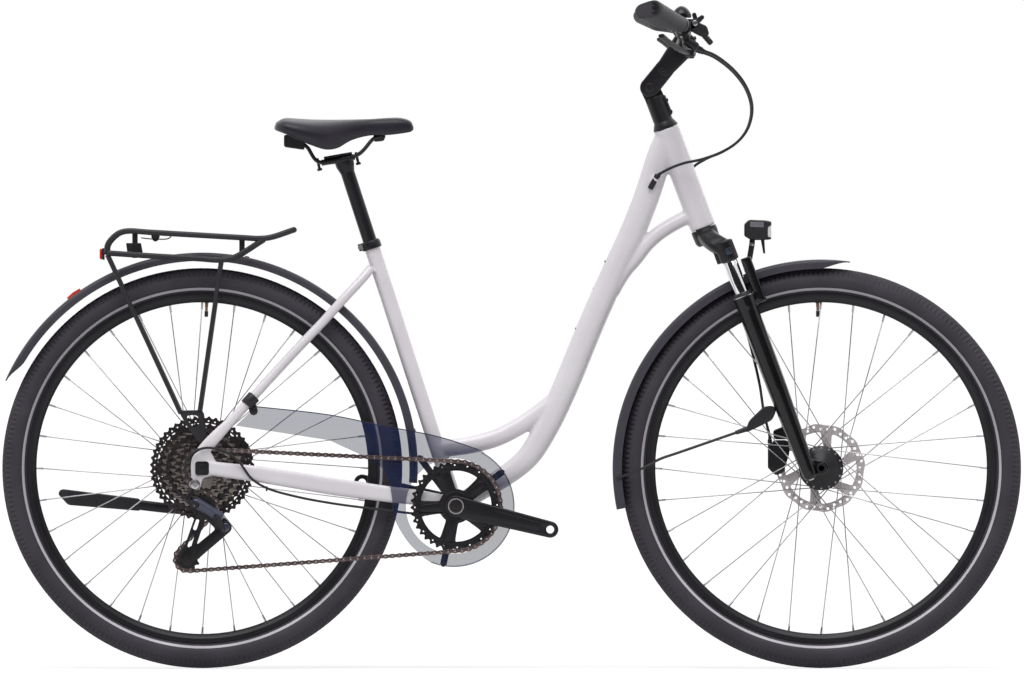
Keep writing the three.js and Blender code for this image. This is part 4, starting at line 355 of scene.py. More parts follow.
def surface(
    name, colour, worn, roughness, grain, depth,
    metallic=0.0,
    stretch=(1, 1, 1),
    pattern="noise",
    gloss_spread=0.08,
    **fixed,
):
    """A material of two close colours in large soft patches with a fine grain in millimetres, which roughness and
    bump follow."""
    material = bpy.data.materials.new(name)
    material.use_nodes = True
    tree = material.node_tree
    tree.nodes.clear()
    place = add_node(tree, "ShaderNodeTexCoord")
    stretched = add_node(tree, "ShaderNodeMapping", {"Vector": place.outputs["Object"], "Scale": stretch})
    patches = add_node(
        tree, "ShaderNodeTexNoise", {"Vector": place.outputs["Object"], "Scale": 14.0, "Detail": 3.0}
    )
    scale = 1 / (grain * METRES)
    if pattern == "cells":
        fine = add_node(
            tree, "ShaderNodeTexVoronoi", {"Vector": stretched.outputs["Vector"], "Scale": scale}
        ).outputs["Distance"]
    elif pattern == "ribs":
        fine = add_node(
            tree, "ShaderNodeTexWave",
            {"Vector": stretched.outputs["Vector"], "Scale": scale / 3.2},
            bands_direction="DIAGONAL",
        ).outputs["Fac"]
    else:
        fine = add_node(
            tree, "ShaderNodeTexNoise", {"Vector": stretched.outputs["Vector"], "Scale": scale, "Detail": 2.0}
        ).outputs["Fac"]
    blend = add_node(
        tree, "ShaderNodeMapRange", {"Value": patches.outputs["Fac"], "From Min": 0.35, "From Max": 0.65}
    )
    tint = add_node(tree, "ShaderNodeMix", data_type="RGBA")
    tree.links.new(blend.outputs["Result"], tint.inputs["Factor"])
    for socket in tint.inputs:
        if socket.type == "RGBA":
            socket.default_value = linear(colour if socket.name == "A" else worn)
    gloss = add_node(
        tree, "ShaderNodeMapRange",
        {"Value": fine, "To Min": max(roughness - gloss_spread, 0.03), "To Max": roughness + gloss_spread},
    )
    bump = add_node(tree, "ShaderNodeBump", {"Height": fine, "Strength": 0.6, "Distance": depth * METRES})
    inputs = {
        "Base Color": next(s for s in tint.outputs if s.type == "RGBA"),
        "Roughness": gloss.outputs["Result"],
        "Normal": bump.outputs["Normal"],
        "Metallic": metallic,
        **fixed,
    }
    shader = add_node(tree, "ShaderNodeBsdfPrincipled", inputs)
    add_node(tree, "ShaderNodeOutputMaterial", {"Surface": shader.outputs["BSDF"]})
    return material


COAT, COAT_ROUGH, LEVEL = "Coat Weight", "Coat Roughness", "Specular IOR Level"
SHEEN, ALPHA = "Sheen Weight", "Alpha"

# Lacquered aluminium: white with a faint lilac cast, a soft wide shine from the clear coat and a slight orange peel
frame_lacquer = surface(
    "lacquered_aluminium_white", "e4e0e5", "ded9df", 0.34, 3.0, 0.03,
    gloss_spread=0.03,
    **{COAT: 0.5, COAT_ROUGH: 0.12, LEVEL: 0.4},
)
# Anodised aluminium: deep black with a satin shine and a blasted grain
black_anodised = surface(
    "anodised_aluminium_black", "1b1a1d", "232127", 0.36, 0.7, 0.02, metallic=0.25, **{LEVEL: 0.35}
)
# Powder-coated steel of the rack: matt near-black with a sandy grain
powder_coat = surface("powder_coated_steel_black", "232126", "2b282e", 0.5, 0.9, 0.06, **{LEVEL: 0.4})
# Moulded polypropylene of the mudguards: charcoal with a violet cast and a leathery moulded grain
guard_plastic = surface(
    "moulded_polypropylene_charcoal", "3a3840", "423f48", 0.5, 1.1, 0.06, pattern="cells", **{LEVEL: 0.35}
)
# Moulded nylon of levers, lamp and clips: black, half matt
moulded_nylon = surface(
    "moulded_nylon_black", "201f23", "29272c", 0.46, 0.8, 0.04, pattern="cells", **{LEVEL: 0.35}
)
# Tyre rubber: dark grey, matt, with a fine vulcanised grain
tyre_rubber = surface("vulcanised_rubber_grey", "36323a", "3e3a42", 0.66, 1.2, 0.08, **{LEVEL: 0.3})
# Reflective tape moulded into the sidewall: light grey glass beads
reflex_tape = surface("glass_bead_tape_grey", "bdbac0", "c9c6cc", 0.4, 0.8, 0.02, pattern="cells")
# Grip rubber: soft, dark, with a ribbed moulding
grip_rubber = surface(
    "ribbed_rubber_black", "2e2c31", "38353b", 0.62, 2.2, 0.25, pattern="ribs", **{LEVEL: 0.3, SHEEN: 0.1}
)
# Drawn stainless steel of the spokes: bright and slightly grey along its length
drawn_steel = surface("drawn_stainless_steel", "a9a6aa", "bcb9bd", 0.3, 0.8, 0.01, metallic=0.9)
# Ground stainless steel of the rotors: fine grinding marks and a warm tint of heat
ground_steel = surface(
    "ground_stainless_steel", "c4bcbe", "d2cbcd", 0.36, 0.5, 0.03, metallic=0.35, stretch=(1, 1, 5)
)
# Nickel-plated steel of the sprockets: dark, oily and streaked
plated_steel = surface("nickel_plated_steel", "5d5654", "7d7673", 0.26, 1.6, 0.03, metallic=0.9, gloss_spread=0.14)
# Blackened steel of the largest sprocket and the pulleys' bolts
blackened_steel = surface("blackened_steel", "2b2628", "373134", 0.38, 1.2, 0.03, metallic=0.5, **{LEVEL: 0.4})
# Oiled chain steel: brown-grey plates with worn rims
chain_steel = surface("oiled_chain_steel", "554848", "6c5d5c", 0.34, 1.5, 0.03, metallic=0.75, gloss_spread=0.14)
# Chrome plate of the fork's inner legs: a bright mirror
chrome = surface("chrome_plate", "d9dade", "e0e1e4", 0.08, 4.0, 0.003, metallic=1.0, gloss_spread=0.02)
# Gloss enamel of the fork's lower legs and the bell: black with a sharp shine
gloss_enamel = surface(
    "gloss_enamel_black", "121114", "18161a", 0.2, 2.5, 0.01,
    gloss_spread=0.03,
    **{COAT: 0.2, COAT_ROUGH: 0.06, LEVEL: 0.25},
)
# Metallic graphite paint of the derailleur's link and the small plate on the fork's crown
graphite_paint = surface("graphite_paint", "3d4152", "484c5e", 0.3, 1.0, 0.02, metallic=0.5, **{COAT: 0.3})
# Tinted polycarbonate of the chain guard: see-through deep blue with a clean shine
tinted_clear = surface(
    "tinted_polycarbonate", "1c2a55", "1e2c58", 0.12, 8.0, 0.004, gloss_spread=0.02, **{ALPHA: 0.37, LEVEL: 0.2}
)
# Red acrylic of the rear light and reflector: cells of prisms under a smooth face
red_acrylic = surface(
    "red_acrylic", "d41420", "e23224", 0.22, 2.6, 0.25, pattern="cells", gloss_spread=0.05, **{COAT: 0.6}
)
# Clear acrylic of the headlight's lens
clear_acrylic = surface(
    "clear_acrylic", "e4e6ea", "f2f3f5", 0.08, 3.0, 0.1, pattern="ribs", gloss_spread=0.02, **{ALPHA: 0.75}
)
# Grey acrylic of the headlight's side window
grey_acrylic = surface("smoked_acrylic", "6e6b76", "7b7883", 0.2, 4.0, 0.01, gloss_spread=0.03)
# Synthetic leather of the saddle: violet-black, softly shining, with a fine embossed grain
saddle_cover = surface(
    "synthetic_leather_black", "1f1c25", "26232d", 0.4, 1.3, 0.1, pattern="cells", **{LEVEL: 0.35, SHEEN: 0.05}
)
# Zinc-plated steel of bolts
zinc_steel = surface("zinc_plated_steel", "a6a4a8", "b9b7bb", 0.26, 0.9, 0.01, metallic=0.9)
# Brass of the valves
brass = surface("turned_brass", "6e5842", "7f6850", 0.3, 0.6, 0.01, metallic=0.9)


def piece(name, body, parts, nodes=(), sharp=35.0):
    """Makes one piece from pairs of a shape, or a list of shapes, and its material, riding on a body in place of
    CAD nodes."""
    points, faces, indices, materials = [], [], [], []
    for shape, material in parts:
        own_points, own_faces = joined(*shape) if isinstance(shape, list) else shape
        if material not in materials:
            materials.append(material)
        start = len(points)
        points.extend([Vector(p) * METRES for p in own_points])
        faces.extend([tuple(start + i for i in face) for face in own_faces])
        indices.extend([materials.index(material)] * len(own_faces))
    mesh = bpy.data.meshes.new(name)
    mesh.from_pydata(points, [], faces)
    mesh.polygons.foreach_set("material_index", indices)
    for material in materials:
        mesh.materials.append(material)
    work = bmesh.new()
    work.from_mesh(mesh)
    bmesh.ops.remove_doubles(work, verts=work.verts, dist=2e-6)
    bmesh.ops.dissolve_degenerate(work, edges=work.edges, dist=1e-7)
    bmesh.ops.recalc_face_normals(work, faces=work.faces)
    work.to_mesh(mesh)
    work.free()
    mesh.polygons.foreach_set("use_smooth", [True] * len(mesh.polygons))
    mesh.set_sharp_from_angle(angle=math.radians(sharp))
    made = bpy.data.objects.new(name, mesh)
    bpy.context.scene.collection.objects.link(made)
    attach(made, body)
    if nodes:
        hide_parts(*nodes)
    return made


def bolt(start, heading, radius, height, socket=0.45):
    """A round bolt head with a round socket, standing on start towards heading."""
    top = start + heading * height
    return lathe(
        start, top,
        [
            (0, radius), (height * 0.7, radius), (height, radius * 0.8), (height, radius * socket),
            (height * 0.45, radius * socket),
        ],
        24,
    )


# Wheels
TREAD_BLOCKS = 250
STEPS_PER_BLOCK = 4
TREAD_DEPTH = 1.8
TREAD_RADIUS = 344
SHOULDER_RADIUS = 347
INNER_GROOVE = (6.0, 7.4)
OUTER_GROOVE = (12.5, 14.5)
STRIPE = (321.3, 325.0)
BEAD_RADIUS = RIM_OUTER - 8 + GAP
SPOKES = 16
SPOKE_RADIUS = 1.0
SPOKE_HOLE_INSET = 4
HUB_BORE = 6.3
FRONT_ROTOR_SEAT = 34.6
REAR_ROTOR_SEAT = 50


def tyre(centre):
    """Tyre skin with blocks on its shoulders and a ribbed middle, and the light stripe of its sidewalls."""
    bead = RIM_WIDTH / 2 - 2 - GAP
    rise = TYRE_RADIUS - RIM_OUTER
    half = [(BEAD_RADIUS, bead), (RIM_OUTER + 0.6, bead + 0.3)]
    half += [(RIM_OUTER + r * rise, s * 25) for r, s in ((0.26, 0.92), (0.5, 1), (0.76, 0.82), (0.94, 0.42))]
    places, _ = smooth([*half, (TYRE_RADIUS, 0), *[(r, -y) for r, y in reversed(half)]], 61)
    profile = [tuple(p) for p in places] + [(BEAD_RADIUS, 2.5 - bead), (BEAD_RADIUS, bead - 2.5)]
    count = TREAD_BLOCKS * STEPS_PER_BLOCK
    rings = []
    for i in range(count):
        a, phase = TURN * i / count, i % STEPS_PER_BLOCK
        ring = []
        for r, y in profile:
            wide, sunk = abs(y), 0.0
            if r > TREAD_RADIUS:
                if wide >= OUTER_GROOVE[1] and phase in (0, 1) and r > SHOULDER_RADIUS:
                    sunk = TREAD_DEPTH * 1.5
                elif OUTER_GROOVE[0] < wide < OUTER_GROOVE[1] or INNER_GROOVE[0] < wide < INNER_GROOVE[1]:
                    sunk = TREAD_DEPTH
                elif INNER_GROOVE[1] <= wide <= OUTER_GROOVE[0] and phase == (1 if y > 0 else 3):
                    sunk = TREAD_DEPTH * 0.9
                elif wide < INNER_GROOVE[0] and (i + round(wide)) % (STEPS_PER_BLOCK * 2) == 0:
                    sunk = TREAD_DEPTH * 0.5
            ring.append(polar(centre, r - sunk, a, y))
        rings.append(ring)
    points, faces = loft(rings, closed=True)
    stripe, rubber = [], []
    width = len(profile)
    for index, face in enumerate(faces):
        j = index % width
        middle = (profile[j][0] + profile[(j + 1) % width][0]) / 2
        outside = abs(profile[j][1]) > RIM_WIDTH / 2
        (stripe if outside and STRIPE[0] < middle < STRIPE[1] else rubber).append(face)
    return (points, rubber), (points, stripe)


RIM_HALF = [
    (308, 11), (315.4, 11), (RIM_OUTER, 11.5), (RIM_OUTER, 12.5), (315.4, 13), (309.5, 13), (307.6, 12.7),
    (300.6, 7.2), (299.2, 5.8),
]


def rim(centre):
    """Hollow-looking rim: flanges beside the tyre and a tapered inner side."""
    profile = RIM_HALF + [(RIM_INNER, 3), (RIM_INNER, -3)] + [(r, -y) for r, y in reversed(RIM_HALF)]
    return turned(profile, centre, 240)


def valve(centre, lean):
    angle = math.pi / 2 - math.radians(lean)
    out = Vector((math.cos(angle), 0, math.sin(angle)))
    root, tip = centre + out * (RIM_INNER + 1), centre + out * (RIM_INNER - 26)
    stem = lathe(root, tip, [(0, 4.4), (2, 4.4), (2.2, 3), (9, 3), (10, 2.5), (16, 2.5)], 20)
    cap = lathe(root + (tip - root) * 0.6, tip, [(0, 2.9), (1, 3.4), (9.4, 3.4), (10.8, 2.6)], 20)
    return stem, cap


def spokes(centre, flange_radius, flange_y, phase):
    """The crossed spokes of one flange, and their nipples at the rim."""
    wires, nipples = [], []
    for i in range(SPOKES):
        leading = 1 if i % 2 == 0 else -1
        hub = phase + TURN * i / SPOKES
        far = hub + leading * math.radians(67.5)
        start = polar(centre, flange_radius - SPOKE_HOLE_INSET, hub)
        end = polar(centre, RIM_INNER - 0.5, far)
        start.y, end.y = flange_y + leading * 1.6, math.copysign(2.5, flange_y)
        heading = (end - start).normalized()
        wires.append(rod(start, end, SPOKE_RADIUS, edge=0.2, count=8))
        nipples.append(lathe(end - heading * 12, end + heading * 1.5, [(0, 1.5), (0.5, 1.9), (13.5, 2.1)], 10))
    return wires, nipples


def wheel(side, body, centre, hub_profile, flanges, lean):
    rubber, stripe = tyre(centre)
    piece(
        side + "_tyre_skin", body,
        [(rubber, tyre_rubber), (stripe, reflex_tape)],
        [side + "_tyre"], 28,
    )
    stem, cap = valve(centre, lean)
    piece(
        side + "_rim_ring", body,
        [(rim(centre), black_anodised), (stem, brass), (cap, moulded_nylon)],
        [side + "_rim"],
    )
    wires, nipples, dots = [], [], []
    for number, (radius, y) in enumerate(flanges):
        own_wires, own_nipples = spokes(centre, radius, y, number * TURN / SPOKES / 2)
        wires += own_wires
        nipples += own_nipples
        for i in range(SPOKES):
            place = polar(centre, radius - SPOKE_HOLE_INSET, number * TURN / SPOKES / 2 + TURN * i / SPOKES)
            dots.append(across(place, 1.8, y - 4.2, y + 4.2, 0.4, 10))
    hub = turned(hub_profile, centre, 96)
    piece(side + "_hub_shell", body, [(hub, black_anodised), (dots, zinc_steel)], [side + "_hub"])
    piece(side + "_spokes", body, [(wires, drawn_steel), (nipples, zinc_steel)], (), 60)


front_hub_profile = [
    (HUB_BORE, -46), (13, -46), (15, -45), (17, -43), (24, -39), (30, -34), (33, -31.5), (38.5, -29.2), (40, -28.4),
    (40, -25.6), (38.5, -24.8), (33, -23),
    (33, 23), (38.5, 24.8), (40, 25.6), (40, 28.4), (38.5, 29.2), (24, 31), (22, 32), (22, FRONT_ROTOR_SEAT),
    (HUB_BORE, FRONT_ROTOR_SEAT),
]
rear_hub_profile = [
    (HUB_BORE, -24.7), (15, -24.7), (26, -22.5), (27, -22), (27, -19), (26, -18.5), (16, -16), (14, -8), (13.6, 8),
    (15, 28), (26, 31), (27, 31.4), (27, 34.6), (26, 35), (16, 37.5),
    (15, 46), (21, 46), (22, 46.6), (22, REAR_ROTOR_SEAT), (HUB_BORE, REAR_ROTOR_SEAT),
]
wheel("front", "front_wheel", front_axle, front_hub_profile, [(40, -27), (40, 27)], -1.2)
wheel("rear", "rear_wheel", rear_axle, rear_hub_profile, [(27, -20.5), (27, 33)], 1.5)

# Brake rotors: a wavy band with drilled holes on swept arms
ROTOR_RADIUS = 78.9
ROTOR_WAVES = 12
ROTOR_WAVE_HEIGHT = 1.1
ROTOR_THICKNESS = 2
ROTOR_BORE = 12.5
ROTOR_BOLTS = 6
ROTOR_BOLT_CIRCLE = 22.5
ROTOR_BOLT_PHASE = 0.3


def rotor(centre, seat, side, body):
    outline = []
    for i in range(240):
        a = TURN * i / 240
        outline.append(polar(centre, ROTOR_RADIUS + ROTOR_WAVE_HEIGHT * math.sin(ROTOR_WAVES * a), a))
    holes = []
    for i in range(36):
        a = TURN * i / 36
        holes.append(circle(polar(centre, 74.4 if i % 3 == 1 else 70.6, a), 2.6, 12))
    for i in range(12):
        a = TURN * (i + 0.5) / 12
        holes.append(circle(polar(centre, 75.2, a + 0.05), 1.6, 10))
    bolt_places = [
        polar(centre, ROTOR_BOLT_CIRCLE, i * TURN / ROTOR_BOLTS + ROTOR_BOLT_PHASE) for i in range(ROTOR_BOLTS)
    ]
    step, lean = TURN / ROTOR_BOLTS, 0.36
    for i, bolt_place in enumerate(bolt_places):
        start, end = (i + 0.17) * step, (i + 0.86) * step
        window = circle(centre, 64.5, 10, start + lean, end - start)
        window += reversed(circle(centre, 27, 6, start + 0.06, end - start - 0.12))
        holes.append(rounded(window, 4, 3))
        holes.append(circle(bolt_place, 2, 10))
    holes.append(circle(centre, ROTOR_BORE, 40))
    low = seat + GAP
    disc = plate(outline, low, low + ROTOR_THICKNESS, holes, 0.25, 1)
    bolts = [bolt(Vector((p.x, low + ROTOR_THICKNESS, p.z)), AXIS_Y, 3.6, 1.6) for p in bolt_places]
    piece(
        side + "_rotor_disc", body,
        [(disc, ground_steel), (bolts, blackened_steel)],
        [side + "_rotor"],
    )


rotor(front_axle, FRONT_ROTOR_SEAT, "front", "front_wheel")
rotor(rear_axle, REAR_ROTOR_SEAT, "rear", "rear_wheel")


# Axles: shaft, spacers and end caps
FORK_DROPOUT_INNER, FORK_DROPOUT_OUTER = 50, 60
AXLE_RADIUS = 6
SPACER_RADIUS = 10


def axle(centre, half, right, left, reach):
    shaft = across(centre, AXLE_RADIUS, -half - reach, half + reach, 1)
    spacers = [
        across(centre, SPACER_RADIUS, low + GAP, high - GAP) for low, high in ((-half, -right), (left, half))
    ]
    return joined(shaft, *spacers)


front_nuts = [across(front_axle, 9.5, side * (FORK_DROPOUT_OUTER + 0.2), side * 64, 1.2) for side in SIDES]
piece(
    "front_axle_shaft", "fork_slider",
    [
        (axle(front_axle, FORK_DROPOUT_INNER, 46, FRONT_ROTOR_SEAT, 14), blackened_steel),
        (front_nuts, black_anodised),
    ],
    ["front_axle"],
)
cap_outline = rounded(
    [rear_axle + Vector((x, 0, z)) for x, z in ((-12, -12.5), (13, -12.5), (13, 12.5), (-12, 12.5))], 6, 6
)
rear_caps = [plate(cap_outline, low, low + 3.6, [], 1) for low in (-DROPOUT_OUTER - 3.8, DROPOUT_OUTER + 0.2)]
rear_cap_bolts = [bolt(rear_axle + AXIS_Y * side * 77.5, AXIS_Y * side, 7, 2.2) for side in SIDES]
piece(
    "rear_axle_shaft", "frame",
    [
        (axle(rear_axle, DROPOUT_INNER, 63.6, REAR_ROTOR_SEAT, 8), blackened_steel),
        ([*rear_caps, *rear_cap_bolts], black_anodised),
    ],
    ["rear_axle"],
)


# Sprockets and chain
CHAIN_PITCH = 12.7
CHAIN_HALF_WIDTH = 2.6
LINK_THICKNESS = 0.75
RING_TEETH = 40
RING_LINE = 50
RING_HALF = 1.2
PULLEY_HALF = 1.2
PULLEY_TEETH = 11
TOOTH_ROOT = 3.9
COGS = [46, 40, 36, 32, 28, 24, 21, 19, 17, 15, 13]
COG_START = -25.8
COG_PITCH = 3.7
COG_HALF = 0.8
ENGAGED = 8
engaged_line = COG_START - ENGAGED * COG_PITCH


def pitch_radius(teeth):
    return CHAIN_PITCH / 2 / math.sin(math.pi / teeth)


def toothed(centre, teeth, tip, root, phase=0.0, per_tooth=10):
    """Outline of a chain wheel with round gaps for the rollers; a gap lies at the phase angle."""
    outline = []
    for i in range(teeth * per_tooth):
        share = (i % per_tooth) / per_tooth
        lift = (0.5 - 0.5 * math.cos(TURN * share)) ** 1.25
        outline.append(polar(centre, root + (tip - root) * lift, phase + TURN * i / (teeth * per_tooth)))
    return outline


guide_centre = seen((205.3, 506.5))
tension_centre = seen((187.7, 558.5))
cage_pivot = seen((225.7, 527.2))


def chain_route():
    """The chain's closed line over cog, chainring and both pulleys, with dense points."""
    cog, ring, pulley = pitch_radius(COGS[ENGAGED]), pitch_radius(RING_TEETH), pitch_radius(PULLEY_TEETH)

    def tangent(start, start_radius, end, end_radius, side, crossed):
        heading = math.atan2(end.z - start.z, end.x - start.x)
        distance = math.hypot(end.x - start.x, end.z - start.z)
        return heading + side * math.acos(
            (start_radius + end_radius if crossed else start_radius - end_radius) / distance
        )

    def unwound(angle, reference, direction):
        while (angle - reference) * direction < 0:
            angle += direction * TURN
        while (angle - reference) * direction > TURN:
            angle -= direction * TURN
        return angle

    def arc(centre, radius, start, end, y):
        made = circle(centre, radius, max(6, int(abs(end - start) * radius / 2)), start, end - start)
        return [Vector((p.x, y, p.z)) for p in made]

    top = tangent(rear_axle, cog, bracket, ring, 1, False)
    bottom = tangent(tension_centre, pulley, bracket, ring, -1, False)
    between = tangent(guide_centre, pulley, tension_centre, pulley, 1, True)
    down = tangent(rear_axle, cog, guide_centre, pulley, -1, True)
    guide_start, tension_start = down + math.pi, between + math.pi
    return [
        *arc(bracket, ring, top, unwound(bottom, top, -1), -RING_LINE),
        *arc(tension_centre, pulley, unwound(bottom, tension_start, 1), tension_start, engaged_line),
        *arc(guide_centre, pulley, unwound(between, guide_start, -1), guide_start, engaged_line),
        *arc(rear_axle, cog, unwound(down, top, 1), top, engaged_line),
    ]


def chain_pins():
    route = chain_route()
    points = np.array([tuple(p) for p in [*route, route[0]]])
    reach = np.concatenate([[0], np.cumsum(np.linalg.norm(np.diff(points, axis=0), axis=1))])
    count = 2 * round(reach[-1] / CHAIN_PITCH / 2)
    wanted = np.linspace(0, reach[-1], count, endpoint=False)
    return [Vector([np.interp(w, reach, points[:, i]) for i in range(3)]) for w in wanted]


pins = chain_pins()


def phase_at(centre, radius):
    """Angle of the pin that lies nearest to a wheel's pitch circle, so that a gap takes its roller."""
    near = min(
        pins,
        key=lambda p: abs(
            math.hypot(p.x - centre.x, p.z - centre.z) - radius
        ) + (0 if abs(p.x - centre.x) < radius + 2 else 50),
    )
    return math.atan2(near.z - centre.z, near.x - centre.x)


def link_plate(start, end, y, thickness, radius, waist):
    """One side plate of a chain link, round at both pins and narrow between them."""
    heading = (end - start).normalized()
    square = heading.cross(AXIS_Y).normalized()
    length = (end - start).length
    outline = []
    for pin, begin, narrow in ((0, math.pi / 2, -waist), (length, -math.pi / 2, waist)):
        for i in range(8):
            a = begin + math.pi * i / 7
            outline.append((pin + radius * math.cos(a), radius * math.sin(a)))
        outline.append((length / 2, narrow))
    rings = []
    middle = length / 2
    for inset, side in ((0.35, 0), (0, 0.3), (0, 0.7), (0.35, 1)):
        slim, short = 1 - inset / radius, 1 - inset / (middle + radius)
        ring = []
        for u, v in outline:
            along = heading * (middle + (u - middle) * short)
            ring.append(start + along + square * v * slim + AXIS_Y * (y + thickness * side))
        rings.append(ring)
    return loft(rings)


def chain():
    plates, rollers = [], []
    for i, start in enumerate(pins):
        end = pins[(i + 1) % len(pins)]
        near, radius = (1.75, 4.1) if i % 2 == 0 else (1.0, 4.3)
        for low in (-near - LINK_THICKNESS, near):
            plates.append(link_plate(start, end, low, LINK_THICKNESS, radius, 2.9))
        rollers.append(across(start, 1.7, start.y - 2.65, start.y + 2.65, 0.2, 10))
        rollers.append(across(start, 3.7, start.y - 1.0, start.y + 1.0, 0.2, 12))
    piece("chain_links", "frame", [(plates, chain_steel), (rollers, zinc_steel)], ["chain"], 40)


chain()


def cassette():
    dark, bright = [], []
    for index, teeth in enumerate(COGS):
        radius = pitch_radius(teeth)
        y = COG_START - index * COG_PITCH
        phase = phase_at(rear_axle, radius) if index == ENGAGED else index * 0.37
        outline = toothed(rear_axle, teeth, radius + 1.5, radius - (TOOTH_ROOT if index == ENGAGED else 2.5), phase)
        holes = []
        if index < 7:
            count = teeth if index == 0 else teeth // 2
            for i in range(count):
                place = polar(rear_axle, radius - 7.2, phase + TURN * (i + 0.5) / count)
                holes.append(circle(place, 1.5, 8))
            arms = 6 if index < 3 else 5
            inner = pitch_radius(COGS[index + 3]) - 4
            if radius - 12 - inner > 7:
                for i in range(arms):
                    start, span = TURN * (i + 0.12) / arms + index * 0.2, TURN * 0.76 / arms
                    window = circle(rear_axle, radius - 11.5, 10, start, span)
                    holes.append(rounded([*window, *reversed(circle(rear_axle, inner + 2, 8, start, span))], 3, 3))
        shape = plate(outline, y - COG_HALF, y + COG_HALF, holes, 0.3, 1)
        (dark if index in (0, 1, 3, 6) else bright).append(shape)
    core = across(rear_axle, 16.9, -63.3, -25, 0.8, 48)
    lock = lathe(rear_axle + AXIS_Y * -62.6, rear_axle + AXIS_Y * -63.6, [(0, 16.5), (0.8, 16.2), (1, 15)], 36)
    piece(
        "sprocket_stack", "sprockets",
        [(bright, plated_steel), (dark, blackened_steel), ([core, lock], zinc_steel)],
        ["cassette"], 30,
    )


cassette()

# Cranks and chainring
crank_heading = math.atan2(506 - 529.4, 550.8 - 456)
CRANK_LENGTH = 175
CRANK_OUTER = 74
CRANK_INNER = 60
CRANK_HUB = 19
CRANK_FLARE = 9
crank_end = polar(bracket, CRANK_LENGTH, crank_heading)
opposite_end = polar(bracket, CRANK_LENGTH, crank_heading + math.pi)


def crank_arm(end):
    """Forged arm from a thick hub to the pedal's eye, leaning outwards, with a raised spine."""
    eye = circle(end, 7, 28)
    shape = plate(arm_outline(bracket, 18.9, end, 14.9, 20), -CRANK_OUTER, -CRANK_INNER, [eye], 3.0, 3)
    spine = plate(
        arm_outline(bracket.lerp(end, 0.16), 10.5, bracket.lerp(end, 0.86), 8),
        -CRANK_OUTER - 1, 1 - CRANK_OUTER, [], 1.0, 2,
    )
    leaned = []
    points, faces = joined(shape, spine)
    for p in points:
        share = min(max((math.hypot(p.x - bracket.x, p.z - bracket.z) - CRANK_HUB) / CRANK_LENGTH, 0), 1)
        leaned.append(Vector((p.x, p.y - share * CRANK_FLARE, p.z)))
    return leaned, faces


SPIDER_ARMS = 5
FLANGE_RADIUS = 27
SPINDLE_RADIUS = 12
spider_phase = crank_heading - math.pi / 2
right_boss = joined(
    across(bracket, CRANK_HUB, -CRANK_OUTER, -48.9, 1.5, 48), across(bracket, FLANGE_RADIUS, -54.5, -51.6, 0.8, 48)
)
right_cap = lathe(
    bracket + AXIS_Y * -73.6, bracket + AXIS_Y * -78,
    [(0, 14.5), (1.6, 14.5), (2.2, 13.6), (2.2, 8.2), (1.2, 8.0), (1.2, 7.6), (4.0, 7.0), (4.2, 3.6), (2.0, 3.4)],
    36,
)
right_ring = turned([(12.2, -75.5), (14.4, -75.5), (14.4, -76.2), (12.2, -76.2)], bracket, 48)
piece(
    "right_crank_arm", "cranks",
    [([crank_arm(crank_end), right_boss], black_anodised), (right_cap, blackened_steel), (right_ring, zinc_steel)],
    ["crank_right"],
)
left_boss = joined(
    across(bracket, CRANK_HUB, 36.8, CRANK_OUTER, 1.5, 48),
    across(bracket, SPINDLE_RADIUS, -CRANK_INNER, CRANK_INNER, 1, 32),
)
left_cap = mirrored(right_cap)
piece(
    "left_crank_arm", "cranks",
    [([mirrored(crank_arm(opposite_end)), left_boss], black_anodised), (left_cap, blackened_steel)],
    ["crank_left"],
)


def chainring():
    radius = pitch_radius(RING_TEETH)
    phase = phase_at(bracket, radius)
    outline = toothed(bracket, RING_TEETH, radius + 1.6, radius - TOOTH_ROOT, phase)
    holes = []
    for i in range(SPIDER_ARMS):
        middle = spider_phase + TURN * (i + 0.5) / SPIDER_ARMS
        window = circle(bracket, 64, 12, middle - 0.41, 0.82)
        window += reversed(circle(bracket, 31, 4, middle - 0.26, 0.52))
        holes.append(rounded(window, 9, 5))
        holes.append(circle(polar(bracket, 65.5, spider_phase + TURN * i / SPIDER_ARMS), 3.1, 16))
    for i in range(0, RING_TEETH, 2):
        holes.append(circle(polar(bracket, radius - 6.8, phase + TURN * (i + 0.5) / RING_TEETH), 1.5, 8))
    holes.append(circle(bracket, 19.6, 40))
    ring = plate(outline, -RING_LINE - RING_HALF, RING_HALF - RING_LINE, holes, 0.4, 1)
    ribs = []
    for i in range(SPIDER_ARMS):
        angle = spider_phase + TURN * i / SPIDER_ARMS
        start, end = polar(bracket, 24, angle), polar(bracket, 60, angle)
        ribs.append(plate(arm_outline(start, 9, end, 6.5), -53.4, -51.0, [], 1.0))
    rim_step = turned([(66, -51.1), (73, -51.1), (72.4, -51.9), (66.6, -51.9)], bracket, 120)
    piece("chainring_disc", "cranks", [([ring, *ribs, rim_step], black_anodised)], ["chainring"])


chainring()

